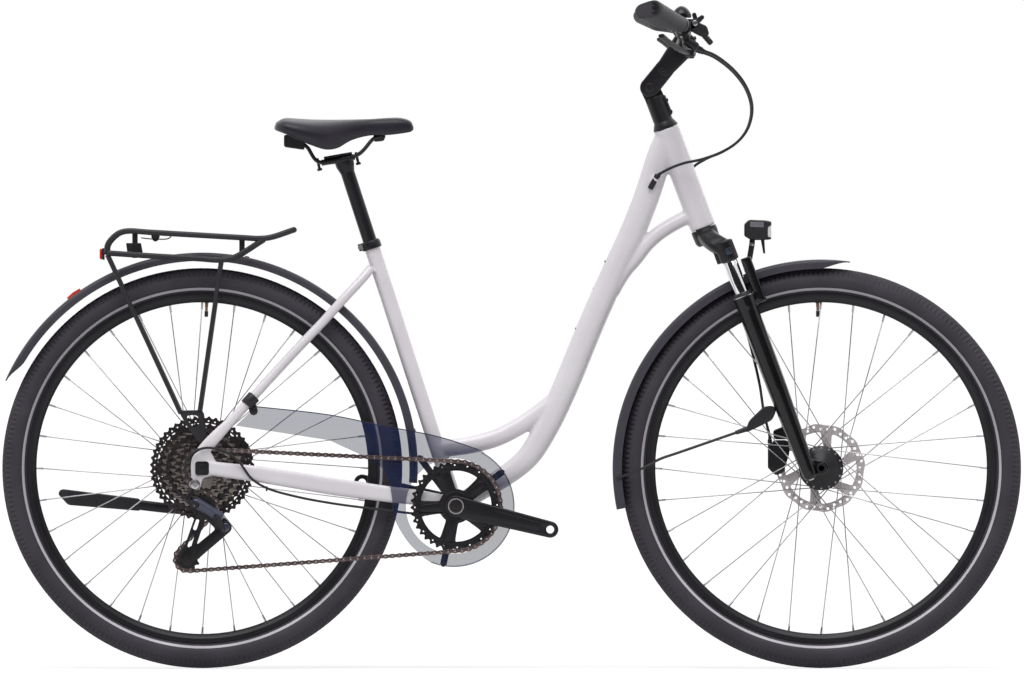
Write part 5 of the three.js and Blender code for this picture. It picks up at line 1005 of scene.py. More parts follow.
# Frame tubes, skinned into one frame with dressed welds
HEAD_TUBE_RADIUS = 23.3
DOWN_TUBE_HALVES = (23.2, 20.8)
BRACE_HALVES = (16.3, 13.8)
GUSSET_HALVES = (13.3, 14.8)
SEAT_TUBE_RADIUS = 14.2
SHELL_RADIUS = 21
SHELL_HALF = 36.4
HANGER_RADIUS = 11
SKIN_VOXEL = 2.0
down_tube_pixels = [
    (666.5, 141), (661, 153), (645.5, 200), (631, 236), (613, 275), (590, 327), (564.5, 389), (545, 430),
    (528, 457), (505, 476), (480, 491), (461, 502.5),
]
brace_pixels = [(566, 390), (553, 402), (536, 415), (518, 427), (497, 437.5), (474, 444), (454, 447), (438, 448.5)]
gusset_pixels = [(700, 213), (692, 215.5), (683, 219), (670, 226), (658, 234), (647, 244), (636, 258), (624, 272)]
chain_stay_pixels = [
    (205, 467.5), (230, 470.5), (254, 473.5), (292, 479.5), (330, 486), (366, 491), (392, 494.5), (420, 498),
    (446, 502.5),
]
chain_stay_shares = [1, 0.985, 0.95, 0.85, 0.69, 0.56, 0.515, 0.45, 0.39]
seat_stay_pixels = [
    (371, 268), (362, 279), (345, 297.5), (322, 323), (300, 346), (268.5, 380), (236, 416), (212, 441), (207.5, 446)
]
seat_stay_shares = [0.2, 0.39, 0.57, 0.63, 0.69, 0.8, 0.93, 1, 1]
dropout_pixels = [
    (191.5, 478), (191, 463), (193, 455.5), (198.5, 450.8), (206, 449.5), (212, 452.5), (216, 460), (216, 474),
    (206, 478),
]
kickstand_pivot = seen((199, 511))
hanger_place = seen((195.6, 484.5))
port_root, port_mouth = placed((651.5, 185, -6.6)), placed((657, 177.5, -16.6))


def ease(low, high, value):
    t = min(max((value - low) / (high - low), 0), 1)
    return t * t * (3 - 2 * t)


def spread(pixels, shares):
    return [seen(p, -STAY_LINE * s) for p, s in zip(pixels, shares)]


def main_frame():
    def down_sizes(share):
        narrowing = ease(0.64, 1, share)
        return DOWN_TUBE_HALVES[0] * (1 - 0.24 * narrowing), DOWN_TUBE_HALVES[1] * (1 - 0.33 * narrowing)

    def chain_stay_sizes(share):
        return (26 + 5 * math.sin(math.pi * share)) / 2, 6.6

    def seat_stay_sizes(share):
        return 8.5 + 3.4 * ease(0.8, 0.96, share), 8.5 - 2.5 * ease(0.64, 1, share)

    circle_section = round_section(36)
    stays = [
        sweep(spread(chain_stay_pixels, chain_stay_shares), soft_box(3.2), chain_stay_sizes),
        sweep(
            [*spread(seat_stay_pixels[:-1], seat_stay_shares), seen((202.5, 452), -STAY_LINE)],
            circle_section, seat_stay_sizes,
        ),
        plate(
            rounded(seen_all(dropout_pixels), 6), -DROPOUT_OUTER, -DROPOUT_INNER, [circle(rear_axle, 6.3, 24)], 1.2
        ),
    ]
    hanger = plate(
        arm_outline(seen((199, 470)), HANGER_RADIUS, hanger_place, HANGER_RADIUS),
        -DROPOUT_OUTER, -DROPOUT_INNER, [], 1.2,
    )
    stand = plate(
        arm_outline(seen((214, 474)), HANGER_RADIUS, kickstand_pivot, HANGER_RADIUS),
        -DROPOUT_OUTER, -DROPOUT_INNER, [], 1.2,
    )
    tubes = joined(
        rod(steered(0, 0, 0.5), steered(0, 0, HEAD_TUBE_LENGTH - 0.3), HEAD_TUBE_RADIUS, edge=1.2, count=48),
        sweep(seen_all(down_tube_pixels), circle_section, down_sizes, count=90),
        sweep(seen_all(brace_pixels), circle_section, BRACE_HALVES),
        sweep(seen_all((*gusset_pixels, (612, 292))), circle_section, GUSSET_HALVES),
        rod(bracket + seat_up * 10, along_seat(-0.5), SEAT_TUBE_RADIUS, count=40),
        across(bracket, SHELL_RADIUS, -SHELL_HALF, SHELL_HALF, 1.5, 48),
        rod(port_root, port_mouth, 6.8),
        *stays,
        *[mirrored(s) for s in stays],
        hanger,
        mirrored(stand),
    )
    skin = remesh(tubes, SKIN_VOXEL, 7)
    plug = bar(placed((650.2, 188.5, -12.2)), placed((657.6, 175.0, -15.2)), 5.2, 6.4, power=3)
    nodes = [
        "head_tube", "down_tube", "seat_tube", "chain_stay_right", "chain_stay_left", "seat_stay_right",
        "seat_stay_left",
    ]
    fasteners = [
        bolt(seen(p, -2), Vector((-0.92, 0, -0.38)), 3.4, 3) for p in ((606.3, 262), (594.8, 289), (577, 329))
    ]
    pin = across(kickstand_pivot, 5, 70, 92.9, 0.8)
    piece(
        "main_frame", "frame",
        [(skin, frame_lacquer), ([plug, pin], black_anodised), (fasteners, blackened_steel)],
        nodes, 60,
    )


main_frame()

# Seat clamp, post, rails and saddle
clamp_ring = lathe(
    along_seat(-9), along_seat(7), [(0, 17), (1, 18), (11, 18), (12, 17.4), (13, 17.4), (15, 16), (16, 14)], 48
)
clamp_ears = [
    bar(along_seat(0) + AXIS_Y * s * 5.2, along_seat(0, 23.5) + AXIS_Y * s * 5.2, 6.6, 3.6) for s in SIDES
]
clamp_bolt = joined(across(along_seat(0, 19), 3.2, -8.8, 8.8), across(along_seat(0, 19), 5.4, -9, -6.8))
piece(
    "seat_clamp_collar", "frame",
    [([clamp_ring, *clamp_ears], black_anodised), (clamp_bolt, zinc_steel)],
    ["seat_clamp"],
)

POST_RADIUS = 12.7
POST_TOP = 160
RAIL_HALF_GAUGE = 22
RAIL_RADIUS = 3.4
RAIL_PIXELS = [(297, 141), (306.6, 146.6), (318.6, 161.8), (357.6, 154.8), (374, 138.5), (381, 136.5)]
RAIL_SHARES = [1, 1, 1, 1, 0.62, 0.55]
post_shaft = rod(along_seat(-124), along_seat(POST_TOP), POST_RADIUS, edge=0.8, count=48)
post_head = lathe(
    along_seat(POST_TOP - 24), along_seat(POST_TOP), [(0, 12.8), (6, 14.5), (14, 16.8), (22, 17), (24, 15.5)], 40
)
cradle = bar(seen((321.4, 163.0)), seen((354.8, 157.0)), 5.6, 26.6, power=4)
cradle_top = bar(seen((324, 158.2)), seen((352, 153.2)), 2.6, 27, power=4)
post_bolts = []
for foot in (seen((319.8, 170)), seen((358.5, 164))):
    heading = Vector((-0.22, 0, 0.97))
    post_bolts.append(rod(foot, foot + heading * 22, 2.6, count=16))
    post_bolts.append(rod(foot - heading * 1.5, foot + heading * 3, 4.6, count=20))
piece(
    "seatpost_with_cradle", "seat",
    [([post_shaft, post_head, cradle, cradle_top], black_anodised), (post_bolts, blackened_steel)],
    ["seatpost"],
)

rail_wires = []
for side in SIDES:
    route = [seen(p, side * RAIL_HALF_GAUGE * s) for p, s in zip(RAIL_PIXELS, RAIL_SHARES)]
    rail_wires.append(sweep(route, round_section(16), (RAIL_RADIUS, RAIL_RADIUS), count=60))
rail_holder = seen_plate([(284, 134.9), (304.5, 134.9), (304.5, 150), (284, 147)], -27, 27, 4, 1.5)
rail_nose = seen_plate([(373, 134.9), (386, 134.9), (384, 141), (374, 142)], -14, 14, 4, 1.5)
piece(
    "saddle_rail_set", "seat",
    [(rail_wires, blackened_steel), ([rail_holder, rail_nose], moulded_nylon)],
    ["saddle_rails"],
)

SADDLE_PIXELS = [
    (274.6, 126.5, 129.5), (277.5, 121.5, 131), (285.5, 118, 134), (297, 118.4, 139.6), (311, 119.2, 145),
    (325, 119.4, 149.3), (337, 119.3, 148),
    (352, 119, 140), (370, 118.3, 135.5), (388, 117.6, 135), (402, 118, 133.4), (410.5, 121, 131.8),
    (413.5, 126.6, 129.5),
]
SADDLE_HALF = 84
SADDLE_WIDTHS = [0.5, 0.8, 0.96, 1, 0.95, 0.82, 0.66, 0.46, 0.3, 0.25, 0.22, 0.17, 0.08]
SADDLE_SIDES = [(0.92, 0), (0.98, 0.14), (1, 0.32), (0.98, 0.54), (0.89, 0.75), (0.68, 0.9), (0.36, 0.975), (0, 1)]
SADDLE_BASE = seen((0, 134.4)).z


def saddle():
    """Foam saddle under a stretched cover: crowned and hollowed along its middle."""
    count, around = 120, 44
    table = [(c, t, e, SADDLE_HALF * w) for (c, t, e), w in zip(SADDLE_PIXELS, SADDLE_WIDTHS)]
    stations, _ = smooth(table, count)
    flank, _ = smooth([*SADDLE_SIDES, *[(-s, r) for s, r in reversed(SADDLE_SIDES[:-1])]], around * 2 + 1)
    rings = []
    for i, (column, top_row, edge_row, width) in enumerate(stations):
        top, edge = seen((column, top_row)), seen((column, edge_row)).z
        share = i / (count - 1)
        hollow = 1.6 * ease(0.12, 0.25, share) * (1 - ease(0.72, 0.88, share))
        ring = []
        for s, rise in flank:
            y, z = s * width, edge + (top.z - edge) * rise
            ring.append(Vector((top.x, y, z - hollow * math.exp(-((y / 9) ** 2)))))
        inner = max(SADDLE_BASE, edge + (top.z - edge) * 0.1)
        lip, inside = width * 0.84, width * 0.78
        ring += [
            Vector((top.x, -lip, edge)), Vector((top.x, -inside, inner)), Vector((top.x, inside, inner)),
            Vector((top.x, lip, edge)),
        ]
        rings.append(ring)
    made = piece("saddle_cushion", "seat", [(loft(rings), saddle_cover)], ["saddle"], 50)


saddle()


# Mudguards
GUARD_WALL = 1.9
REAR_GUARD_RADIUS = 389
FRONT_GUARD_RADIUS = 376.5


def guard_section(radius, width, lip):
    """Closed profile of a rolled mudguard: radius and place along Y, with round shoulders."""
    half = width / 2
    outer = [(radius - lip, half), (radius - 7, half)]
    for step in range(1, 7):
        a = math.pi / 2 * step / 7
        outer.append((radius - 7 + 7 * math.sin(a), half - 9 + 9 * math.cos(a)))
    outer.append((radius, half - 9))
    wall = GUARD_WALL
    inner = [(r - wall if i > 1 else r, y - wall if i < 5 else y) for i, (r, y) in enumerate(outer)]
    return [*outer, *[(r, -y) for r, y in reversed(outer)], *[(r, -y) for r, y in inner], *reversed(inner)]


def guard(centre, radius, width, lip, start, end, tapers, count=150):
    """A mudguard's arc; its lips run out towards the ends as far as tapers say, in degrees."""
    rings = []
    for i in range(count + 1):
        degrees = start + (end - start) * i / count
        a = math.radians(degrees)
        share = 1.0
        for taper, reach in zip(tapers, (abs(degrees - start), abs(end - degrees))):
            if taper:
                share *= 0.12 + 0.88 * ease(0, taper, reach)
        ring = []
        for r, y in guard_section(radius, width, lip):
            shrunk = radius - (radius - r) * share if radius - r > 2.2 else r
            ring.append(polar(centre, shrunk, a, y * (0.72 + 0.28 * share)))
        rings.append(ring)
    return loft(rings)


rear_guard = guard(rear_axle, REAR_GUARD_RADIUS, 60, 15, -4, 156, (0, 7))
reflector_rings = []
for i in range(13):
    a = math.radians(124.3 + 4.2 * i / 12)
    low, high = REAR_GUARD_RADIUS + 0.1, 394.2 - 1.4 * abs(i - 6) / 6
    profile = ((low, -13), (high - 1, -13), (high, -11.5), (high, 11.5), (high - 1, 13), (low, 13))
    reflector_rings.append([polar(rear_axle, r, a, y) for r, y in profile])
guard_bolts = [
    bolt(polar(rear_axle, REAR_GUARD_RADIUS, math.radians(d)), polar(Vector(), 1, math.radians(d)), 4, 2)
    for d in (10, 78)
]
piece(
    "rear_mudguard_shell", "frame",
    [(rear_guard, guard_plastic), (loft(reflector_rings), red_acrylic), (guard_bolts, blackened_steel)],
    ["rear_mudguard"], 40,
)

front_guard = guard(front_axle, FRONT_GUARD_RADIUS, 56, 17, 82, 191.5, (9, 0), 110)
boss = bar(steered(52, 0, FRONT_GUARD_RADIUS - AXLE_DROP - 2), steered(52, 0, -98.3), 8, 9)
guard_stays, guard_clips = [], []
for side in SIDES:
    route = [seen((618, 478), side * 27), *seen_all(((643, 468), (660, 459), (748, 428.5)), side * 55)]
    points = [route[0], route[0].lerp(route[1], 0.8), route[1], route[2], route[2].lerp(route[3], 0.2), route[3]]
    guard_stays.append(sweep(points, round_section(14), (2.2, 2.2), count=50))
    guard_stays.append(across(seen((618, 478)), 4.5, min(side * 26, side * 29), max(side * 26, side * 29)))
    low = FORK_DROPOUT_INNER if side > 0 else -FORK_DROPOUT_OUTER
    guard_clips.append(
        seen_plate(
            [(745, 433), (749, 421), (764, 406.5), (773.5, 405.5), (776, 411), (772, 420), (756, 428)],
            low, low + 10, 6, 2,
        )
    )
    guard_clips.append(rod(route[3].lerp(route[2], 0.14), route[3], 3.6, 4.6))
piece(
    "front_mudguard_shell", "fork_slider",
    [([front_guard, boss], guard_plastic), (guard_stays, powder_coat), (guard_clips, moulded_nylon)],
    ["front_mudguard"], 40,
)

# Rack and rear light
RACK_TOP = [
    (107, 253), (108, 245), (113, 238), (120, 232.8), (128, 231), (150, 232.3), (200, 235.2), (245, 237.8),
    (258, 238.5), (270, 237.5), (294, 229.8),
]
RACK_LOWER = [(107, 253), (140, 255.2), (200, 258.8), (220, 260), (234, 257.5), (264, 239.5)]
RACK_HALF = 55
RACK_RAIL = 5
RACK_ROD = 4
RACK_FOOT = 60.4
RACK_FOOT_THICKNESS = 4
STRAP_LINE = 18
rack_tubes, rack_plates = [], []
for side in SIDES:
    y = side * RACK_HALF
    for pixels, count in ((RACK_TOP, 110), (RACK_LOWER, 90)):
        rack_tubes.append(sweep(seen_all(pixels, y), round_section(20), (RACK_RAIL, RACK_RAIL), count=count))
    foot_low = RACK_FOOT if side > 0 else -RACK_FOOT - RACK_FOOT_THICKNESS
    for top, foot in (((107.6, 255), (181, 413.5)), ((221.5, 260), (200, 411))):
        rack_tubes.append(rod(seen(top, y), seen(foot, foot_low + RACK_FOOT_THICKNESS / 2), RACK_ROD, count=20))
    hole = rounded(seen_all(((185, 415.5), (198.6, 415), (199.8, 424), (195.5, 428.5), (190.5, 425))), 9, 6)
    corners = rounded(
        seen_all(
            ((178.5, 410.5), (203.2, 410), (206.6, 434), (208, 443), (203.5, 446), (199.5, 442.5), (187, 426))
        ),
        9, 6,
    )
    rack_plates.append(plate(corners, foot_low, foot_low + RACK_FOOT_THICKNESS, [hole], 0.8))
for pixel in ((107, 253), (135, 231.4), (200, 235.2), (245, 237.8)):
    rack_tubes.append(across(seen(pixel), RACK_ROD, -RACK_HALF, RACK_HALF, count=20))
rack_tubes.append(across(seen((294, 229.8)), RACK_RAIL, -RACK_HALF, RACK_HALF, 2.2, 24))
for side in SIDES:
    rack_tubes.append(
        rod(seen((135, 231.4), side * STRAP_LINE), seen((245, 237.8), side * STRAP_LINE), RACK_ROD, count=20)
    )
for pixel, foot in (((135, 231.4), (135, 258)), ((242, 237.6), (242, 256))):
    rack_plates.append(bar(seen(foot), seen(pixel), 8, 5, AXIS_X, 8))
bracket_plate = plate(rounded(seen_all(((126, 243), (141, 243), (143.5, 256.5), (128, 256.5))), 2), -9, 9, [], 1)
strap_hook = lathe(seen((155.5, 233.5)), seen((155.5, 241.5)), [(0, 8), (7, 7.5), (12, 5), (14.4, 2)], 24)
strap_wire = sweep(
    seen_all(((141, 237.8), (150, 238.8), (160, 239.2), (168, 238.6), (171, 236.5)), STRAP_LINE),
    round_section(8), (1.1, 1.1),
    count=30,
)
piece(
    "rear_rack_tubes", "frame",
    [(rack_tubes, powder_coat), ([*rack_plates, bracket_plate, strap_hook, strap_wire], moulded_nylon)],
    ["rear_rack"], 40,
)
lamp_back = seen_plate([(102, 248.6), (104.5, 247.8), (104.5, 260.2), (102, 259.4)], -31.5, 31.5, 2, 1)
lamp_lens = seen_plate([(99.8, 249), (102, 248.4), (102, 259.8), (99.8, 259)], -32, 32, 2, 1.4)
piece(
    "tail_light_lens", "frame", [(lamp_back, moulded_nylon), (lamp_lens, red_acrylic)], ["tail_light"]
)

# Chain guard: a see-through plate with its rim, and a black spider, collar and strap that hold it
guard_centre = seen((453.7, 505.9))
GUARD_RADIUS = 110
GUARD_OPENING = 86
GUARD_OUTWARD = 17
SHEET_OUTER = 46.5
LIP_OUTER = 56.5
SPIDER_LINE = 43.5
GUARD_TOP = [(256.6, 406), (330, 414.4), (380, 424.6), (440, 436.5), (481, 449.8)]
GUARD_BOTTOM = [
    (425, 558.5), (408, 541.7), (394, 516.5), (392, 498), (388, 478.6), (380, 466), (330, 440.3), (236.2, 425.6)
]


def guard_bent(points, drop=0):
    """Points of the flat sheet, led outwards towards its rear end."""
    bend, end = seen((330, 0)).x, seen((236.2, 0)).x
    return [
        Vector((p[0], p[1] - min(max((bend - p[0]) / (bend - end), 0), 1) * GUARD_OUTWARD, p[2] - drop))
        for p in points
    ]


guard_top_line, _ = smooth(seen_all(GUARD_TOP), 60)
guard_low_line, _ = smooth(seen_all(GUARD_BOTTOM[:-1]), 60)
guard_tail = [seen(GUARD_BOTTOM[-2]).lerp(seen(GUARD_BOTTOM[-1]), i / 30) for i in range(1, 31)]
guard_arc = circle(guard_centre, GUARD_RADIUS, 80, math.radians(58), math.radians(-170))
guard_outline = [Vector(p) for p in guard_top_line] + guard_arc + [Vector(p) for p in guard_low_line] + guard_tail
flat_points, flat_faces = plate(
    guard_outline, -SHEET_OUTER, 2 - SHEET_OUTER, [circle(guard_centre, GUARD_OPENING, 120)], 0.3, 1
)
guard_sheet = guard_bent(flat_points), flat_faces
lip_profile = ((107.4, -LIP_OUTER), (109.9, -LIP_OUTER), (109.9, 1 - SHEET_OUTER), (107.4, 1 - SHEET_OUTER))
lip_rings = []
for i in range(90):
    a = math.radians(63 - 175 * i / 89)
    lip_rings.append([polar(guard_centre, r, a, y) for r, y in lip_profile])
guard_edge_line, _ = smooth(seen_all(GUARD_TOP, 1 - SHEET_OUTER), 80)
guard_edge = sweep(guard_bent(guard_edge_line, 1)[::6], round_section(8), (0.9, 0.9), count=70)
piece(
    "chain_guard_sheet", "frame",
    [([guard_sheet, loft(lip_rings)], tinted_clear), (guard_edge, moulded_nylon)],
    ["chain_guard"], 40,
)
spider_arms = []
for degrees in (35, -100, 125):
    tip = polar(guard_centre, 107, math.radians(degrees))
    tip.y = -SPIDER_LINE
    spider_arms.append(bar(Vector((bracket.x, tip.y, bracket.z)), tip, 6, 1.3, AXIS_Y, 8))
    spider_arms.append(rod(Vector((tip.x, -42.8, tip.z)), Vector((tip.x, -48.6, tip.z)), 4.4))
collar = turned([(19.8, -44.3), (26, -44.3), (26, -37), (19.8, -37)], bracket, 60)
strap_ends = [placed((254.6, 396.2, -33.6)), placed((246.6, 405, -34.9))]
strap_width = (strap_ends[1] - strap_ends[0]).length
strap = lathe(
    *strap_ends, [(0, 9.8), (0, 11.4), (1, 12), (strap_width - 1, 12), (strap_width, 11.4), (strap_width, 9.8)], 36
)
tab = plate(arm_outline(seen((251, 401.5)), 7.5, seen((254, 411)), 7.5), -62.8, -57.8, [], 1.5)
tab_bolt = bolt(seen((254, 411), -62.6), -AXIS_Y, 4, 1.4)
piece(
    "chain_guard_holder", "frame",
    [([*spider_arms, collar, strap, tab], moulded_nylon), (tab_bolt, blackened_steel)],
    (), 40,
)

# Calipers
REAR_CALIPER = [(223, 459), (224, 440), (233, 436), (246, 441), (252, 452), (252, 461.5)]
rear_halves = [seen_plate(REAR_CALIPER, low, high, 8, 2.5) for low, high in ((39, 49), (53.8, 61))]
rear_bridge = seen_plate(
    [(234, 437.5), (246, 442.5), (252, 453), (251.5, 461), (246, 461), (243, 449), (236, 443)], 45, 58, 4, 1
)
rear_foot = seen_plate([(229, 455), (250, 455), (250, 463), (229, 462)], 54.5, 72, 4, 1.5)
rear_piston = across(seen((233, 448)), 13, 60.5, 63.5, 1, 36)
piece(
    "rear_caliper_body", "frame",
    [([*rear_halves, rear_bridge, rear_foot], black_anodised), (rear_piston, blackened_steel)],
    ["rear_caliper"],
)
FRONT_CALIPER = [
    (768, 443.5), (772.4, 443.5), (773.5, 440.1), (788, 440.1), (790, 452), (784, 472), (776, 476), (768, 468)
]
front_halves = [seen_plate(FRONT_CALIPER, *sizes) for sizes in ((28.5, 33.2, 6, 1.8), (38.6, 52, 6, 3))]
front_bridge = seen_plate(
    [(768, 443.5), (772.4, 443.5), (776, 442), (777, 452), (775, 474), (768, 468)], 32, 40, 2, 0.6
)
piston = across(seen((779, 458)), 13, 51, 53.5, 1, 36)
piece(
    "front_caliper_body", "fork_slider",
    [([*front_halves, front_bridge], black_anodised), (piston, blackened_steel)],
    ["front_caliper"],
)

# Fork
ARCH_FORWARD = 52
LEG_END = 492
STANCHION_RADIUS = 13
STEERER_RADIUS = 14.3
KNOB_LENGTH = 26


def on_leg(side, down, forward=FORK_LEG_OFFSET):
    """A place on one of the fork's legs, measured down from the foot of the head tube."""
    return steered(forward, side * FORK_LEG_HALF, -down)


CROWN_PIXELS = [(706.2, 236), (708.1, 237.7), (714.8, 242.9), (723.9, 248.3)]
CROWN_SHARES = [0, 0.4, 0.8, 1]
knob_top = placed((715.6, 250.2, -27.7))
knob_bottom = knob_top - steering_up * KNOB_LENGTH
crown_half = [seen(p, -FORK_LEG_HALF * s) for p, s in zip(CROWN_PIXELS, CROWN_SHARES)]
shoulder = list(reversed(crown_half)) + [flipped(p) for p in crown_half[1:]]
crown = joined(
    lathe(steered(0, 0, -30), steered(0, 0, -GAP), [(0, 19), (6, 23), (24, 24), (29.7, 23.6)], 48),
    sweep(shoulder, soft_box(3.4, 40), (12.6, 16.6), steering_forward, 50),
    *[lathe(on_leg(s, 34), on_leg(s, 72), [(0, 14), (2, 17), (36, 17.4), (38, 16.6)], 40) for s in SIDES],
)
crown_skin = remesh(crown, 1.6, 5)
stanchions = [rod(on_leg(s, 60), on_leg(s, 250), STANCHION_RADIUS, count=48) for s in SIDES]
steerer = rod(steered(0, 0, -30), steered(0, 0, 240), STEERER_RADIUS, count=40)
leg_plate = plate(
    rounded(seen_all(((724.6, 249), (730.4, 247.2), (732.4, 253.4), (726.6, 255.4))), 1.6), -76, -73.6, [], 0.5
)
piece(
    "fork_crown_casting", "fork",
    [(crown_skin, black_anodised), (stanchions, chrome), (steerer, zinc_steel), (leg_plate, graphite_paint)],
    ["fork_crown"], 45,
)
knob_ribs = []
for i in range(9):
    a = TURN * i / 9
    out = steering_forward * math.cos(a) + AXIS_Y * math.sin(a)
    knob_ribs.append(
        bar(knob_top - steering_up * 3 + out * 5.6, knob_bottom + steering_up * 1.5 + out * 5.6, 0.9, 0.9)
    )
knob = lathe(knob_bottom, knob_top, [(0, 5.2), (1.2, 6), (23, 6), (25, 5), (26, 3.6)], 36)
piece("lockout_dial", "lockout", [([knob, *knob_ribs], moulded_nylon)], ["lockout_knob"])


def lower_leg(side):
    top, foot = on_leg(side, 138), on_leg(side, LEG_END)
    leg = lathe(
        top, foot,
        [
            (0, 17), (1.5, 19.2), (22, 19.2), (28, 18.5), (180, 17.8), (300, 14.6), (340, 13.4), (350, 12.4),
            (354, 9),
        ],
        44,
    )
    low = FORK_DROPOUT_INNER if side > 0 else -FORK_DROPOUT_OUTER
    foot_top = on_leg(side, LEG_END - 27)
    dropout = plate(arm_outline(foot_top, 13.4, front_axle, 13.4, 20), low, low + 10, [], 2)
    column = bar(on_leg(side, 162, ARCH_FORWARD), on_leg(side, 76, ARCH_FORWARD), 9.5, 9.5, power=3.6)
    web = bar(on_leg(side, 150), on_leg(side, 150, ARCH_FORWARD), 12, 9.5, power=3.6)
    return [leg, dropout, column, web]


arch = bar(on_leg(-1, 87, ARCH_FORWARD), on_leg(1, 87, ARCH_FORWARD), 11, 9.5, steering_forward, 3.6)
lamp_pivot = seen((752, 244))
ears = [plate(arm_outline(lamp_pivot, 5, seen((749.5, 259)), 5), low, low + 4, [], 1) for low in (-7.3, 3.3)]
lug = seen_plate([(773, 430.5), (786, 425.5), (792, 439.5), (774, 439.5)], 40, 58, 4, 1.5)
lowers = remesh(joined(*lower_leg(-1), *lower_leg(1), arch, lug), 1.8, 5)
seals = [lathe(on_leg(s, 133), on_leg(s, 139), [(0, 13.6), (1, 16.5), (6, 18.2)], 44) for s in SIDES]
seal_rings = [
    lathe(on_leg(s, 139.5), on_leg(s, 142), [(0, 18.4), (0.5, 19.4), (2, 19.4), (2.5, 18.8)], 44) for s in SIDES
]
lamp_pin = across(lamp_pivot, 2.5, -7.3, 7.3, 0.4, 20)
lamp_bolt = bolt(lamp_pivot + AXIS_Y * -7.2, -AXIS_Y, 3.6, 1.6)
foot_bolts = [bolt(on_leg(s, 490), -steering_up, 5.5, 4) for s in SIDES]
piece(
    "fork_lower_legs", "fork_slider",
    [
        (lowers, gloss_enamel), ([*seals, *ears], moulded_nylon),
        ([*seal_rings, lamp_pin, lamp_bolt, *foot_bolts], zinc_steel),
    ],
    ["fork_lowers"], 45,
)

# Headlight
lamp_shell = seen_plate(
    [
        (744.2, 224), (749, 219.7), (766, 220.4), (771.4, 221.6), (771.4, 225.8), (768, 227), (768, 236.6),
        (771.4, 237.4), (771.2, 239.4), (764, 240.1), (751, 240.1), (744.2, 236),
    ],
    -24, 24, 3, 3.5,
)
lamp_glass = seen_plate([(760, 223.5), (771.2, 224.5), (771.2, 238), (760, 238)], -22, 22, 3, 2)
lamp_window = seen_plate([(750, 221.9), (763.6, 222.2), (763.6, 227.4), (750, 227.0)], -24.5, -23.5, 1.6, 0.4)
lamp_tongue = plate(arm_outline(seen((753, 230)), 5, lamp_pivot, 5), -3, 3, [], 1)
lamp_switch = rod(seen((762.5, 239), 0), seen((764.3, 253.5), 0), 3.4, 1.8)
piece(
    "headlight_shell", "front_lamp",
    [
        ([lamp_shell, lamp_tongue, lamp_switch], moulded_nylon),
        (lamp_glass, clear_acrylic),
        ([lamp_window, mirrored(lamp_window)], grey_acrylic),
    ],
    ["headlight"],
)

# Stem
stem_pivot, bar_centre = seen((649.7, 87.6)), seen((684, 45))
stem_waist = stem_pivot.lerp(bar_centre, 0.45)
stem_tongue_foot = steered(0, 0, 249)
base_tube = lathe(
    steered(0, 0, HEAD_TUBE_LENGTH + GAP),
    steered(0, 0, 253),
    [(0, 22.6), (1, 23), (4, 22.6), (12, 18.6), (14, 17.6), (58, 17.6), (60.6, 16.4)],
    48,
)
base_back = bar(steered(10, 0, 212), steered(9, 0, 250), 11, 12, power=4)
tongue = plate(arm_outline(stem_tongue_foot, 17.2, stem_pivot, 17.5, 20), -9, 9, [], 2)
clamp_bolts = [bolt(steered(18.5, -8, up), Vector((0.6, -0.8, 0)), 3.4, 2.4) for up in (218, 240)]
piece(
    "stem_base_post", "fork",
    [([base_tube, tongue, base_back], black_anodised), (clamp_bolts, blackened_steel)],
    ["stem_base"],
)
ear_outline = arm_outline(stem_pivot, 17.5, stem_waist, 17.2, 20)
arm_ears = [plate(ear_outline, low, high, [], 2.5) for low, high in ((-19.4, -9.3), (9.3, 19.4))]
arm_body = plate(arm_outline(stem_waist, 16.5, bar_centre, 22.8, 24), -20, 20, [], 5, 4)
pivot_bolts = [bolt(stem_pivot + AXIS_Y * s * 19.0, AXIS_Y * s, 8.5, 2.2) for s in SIDES]
side_bolts = [bolt(stem_waist + AXIS_Y * s * 19.6 + Vector((-4, 0, -3)), AXIS_Y * s, 4, 1.4) for s in SIDES]
face_bolts = [
    bolt(
        bar_centre + Vector((18, 13 * side, z)), Vector((0.9, 0, 0.3)), 3.2, 4
    ) for side in SIDES for z in (-13, 12)
]
piece(
    "stem_arm_body", "bar",
    [([*arm_ears, arm_body], black_anodised), ([*pivot_bolts, *side_bolts, *face_bolts], blackened_steel)],
    ["stem_arm"],
)

# Handlebar and grips
BOTH_HANDS = (("right", lambda shape: shape), ("left", mirrored))
CLAMP_RADIUS = 15.9
BAR_RADIUS = 11.1
GRIP_START, GRIP_END = 190, 324
bar_points = placed_all(((684, 45, -25), (683.2, 34.9, -61), (681.5, 27.1, -102.5), (653.2, 10.5, -176.7)))


def on_bar(distance):
    i = 1 if distance < -bar_points[2].y else 2
    share = (distance + bar_points[i].y) / (bar_points[i].y - bar_points[i + 1].y)
    return bar_points[i].lerp(bar_points[i + 1], share)


bar_half = [
    bar_points[3],
    bar_points[3].lerp(bar_points[2], 0.9),
    bar_points[2],
    bar_points[2].lerp(bar_points[1], 0.2),
    bar_points[1].lerp(bar_points[2], 0.2),
    bar_points[1],
    bar_points[1].lerp(bar_points[0], 0.3),
    bar_points[0],
]
bar_line = bar_half + [flipped(p) for p in reversed(bar_half)]


def bar_sizes(share):
    middle = abs(share - 0.5) * 2
    radius = CLAMP_RADIUS - (CLAMP_RADIUS - BAR_RADIUS) * ease(0.1, 0.26, middle)
    return radius, radius


piece(
    "handlebar_tube", "bar",
    [(sweep(bar_line, round_section(32), bar_sizes, AXIS_X, 160), black_anodised)],
    ["handlebar"],
)


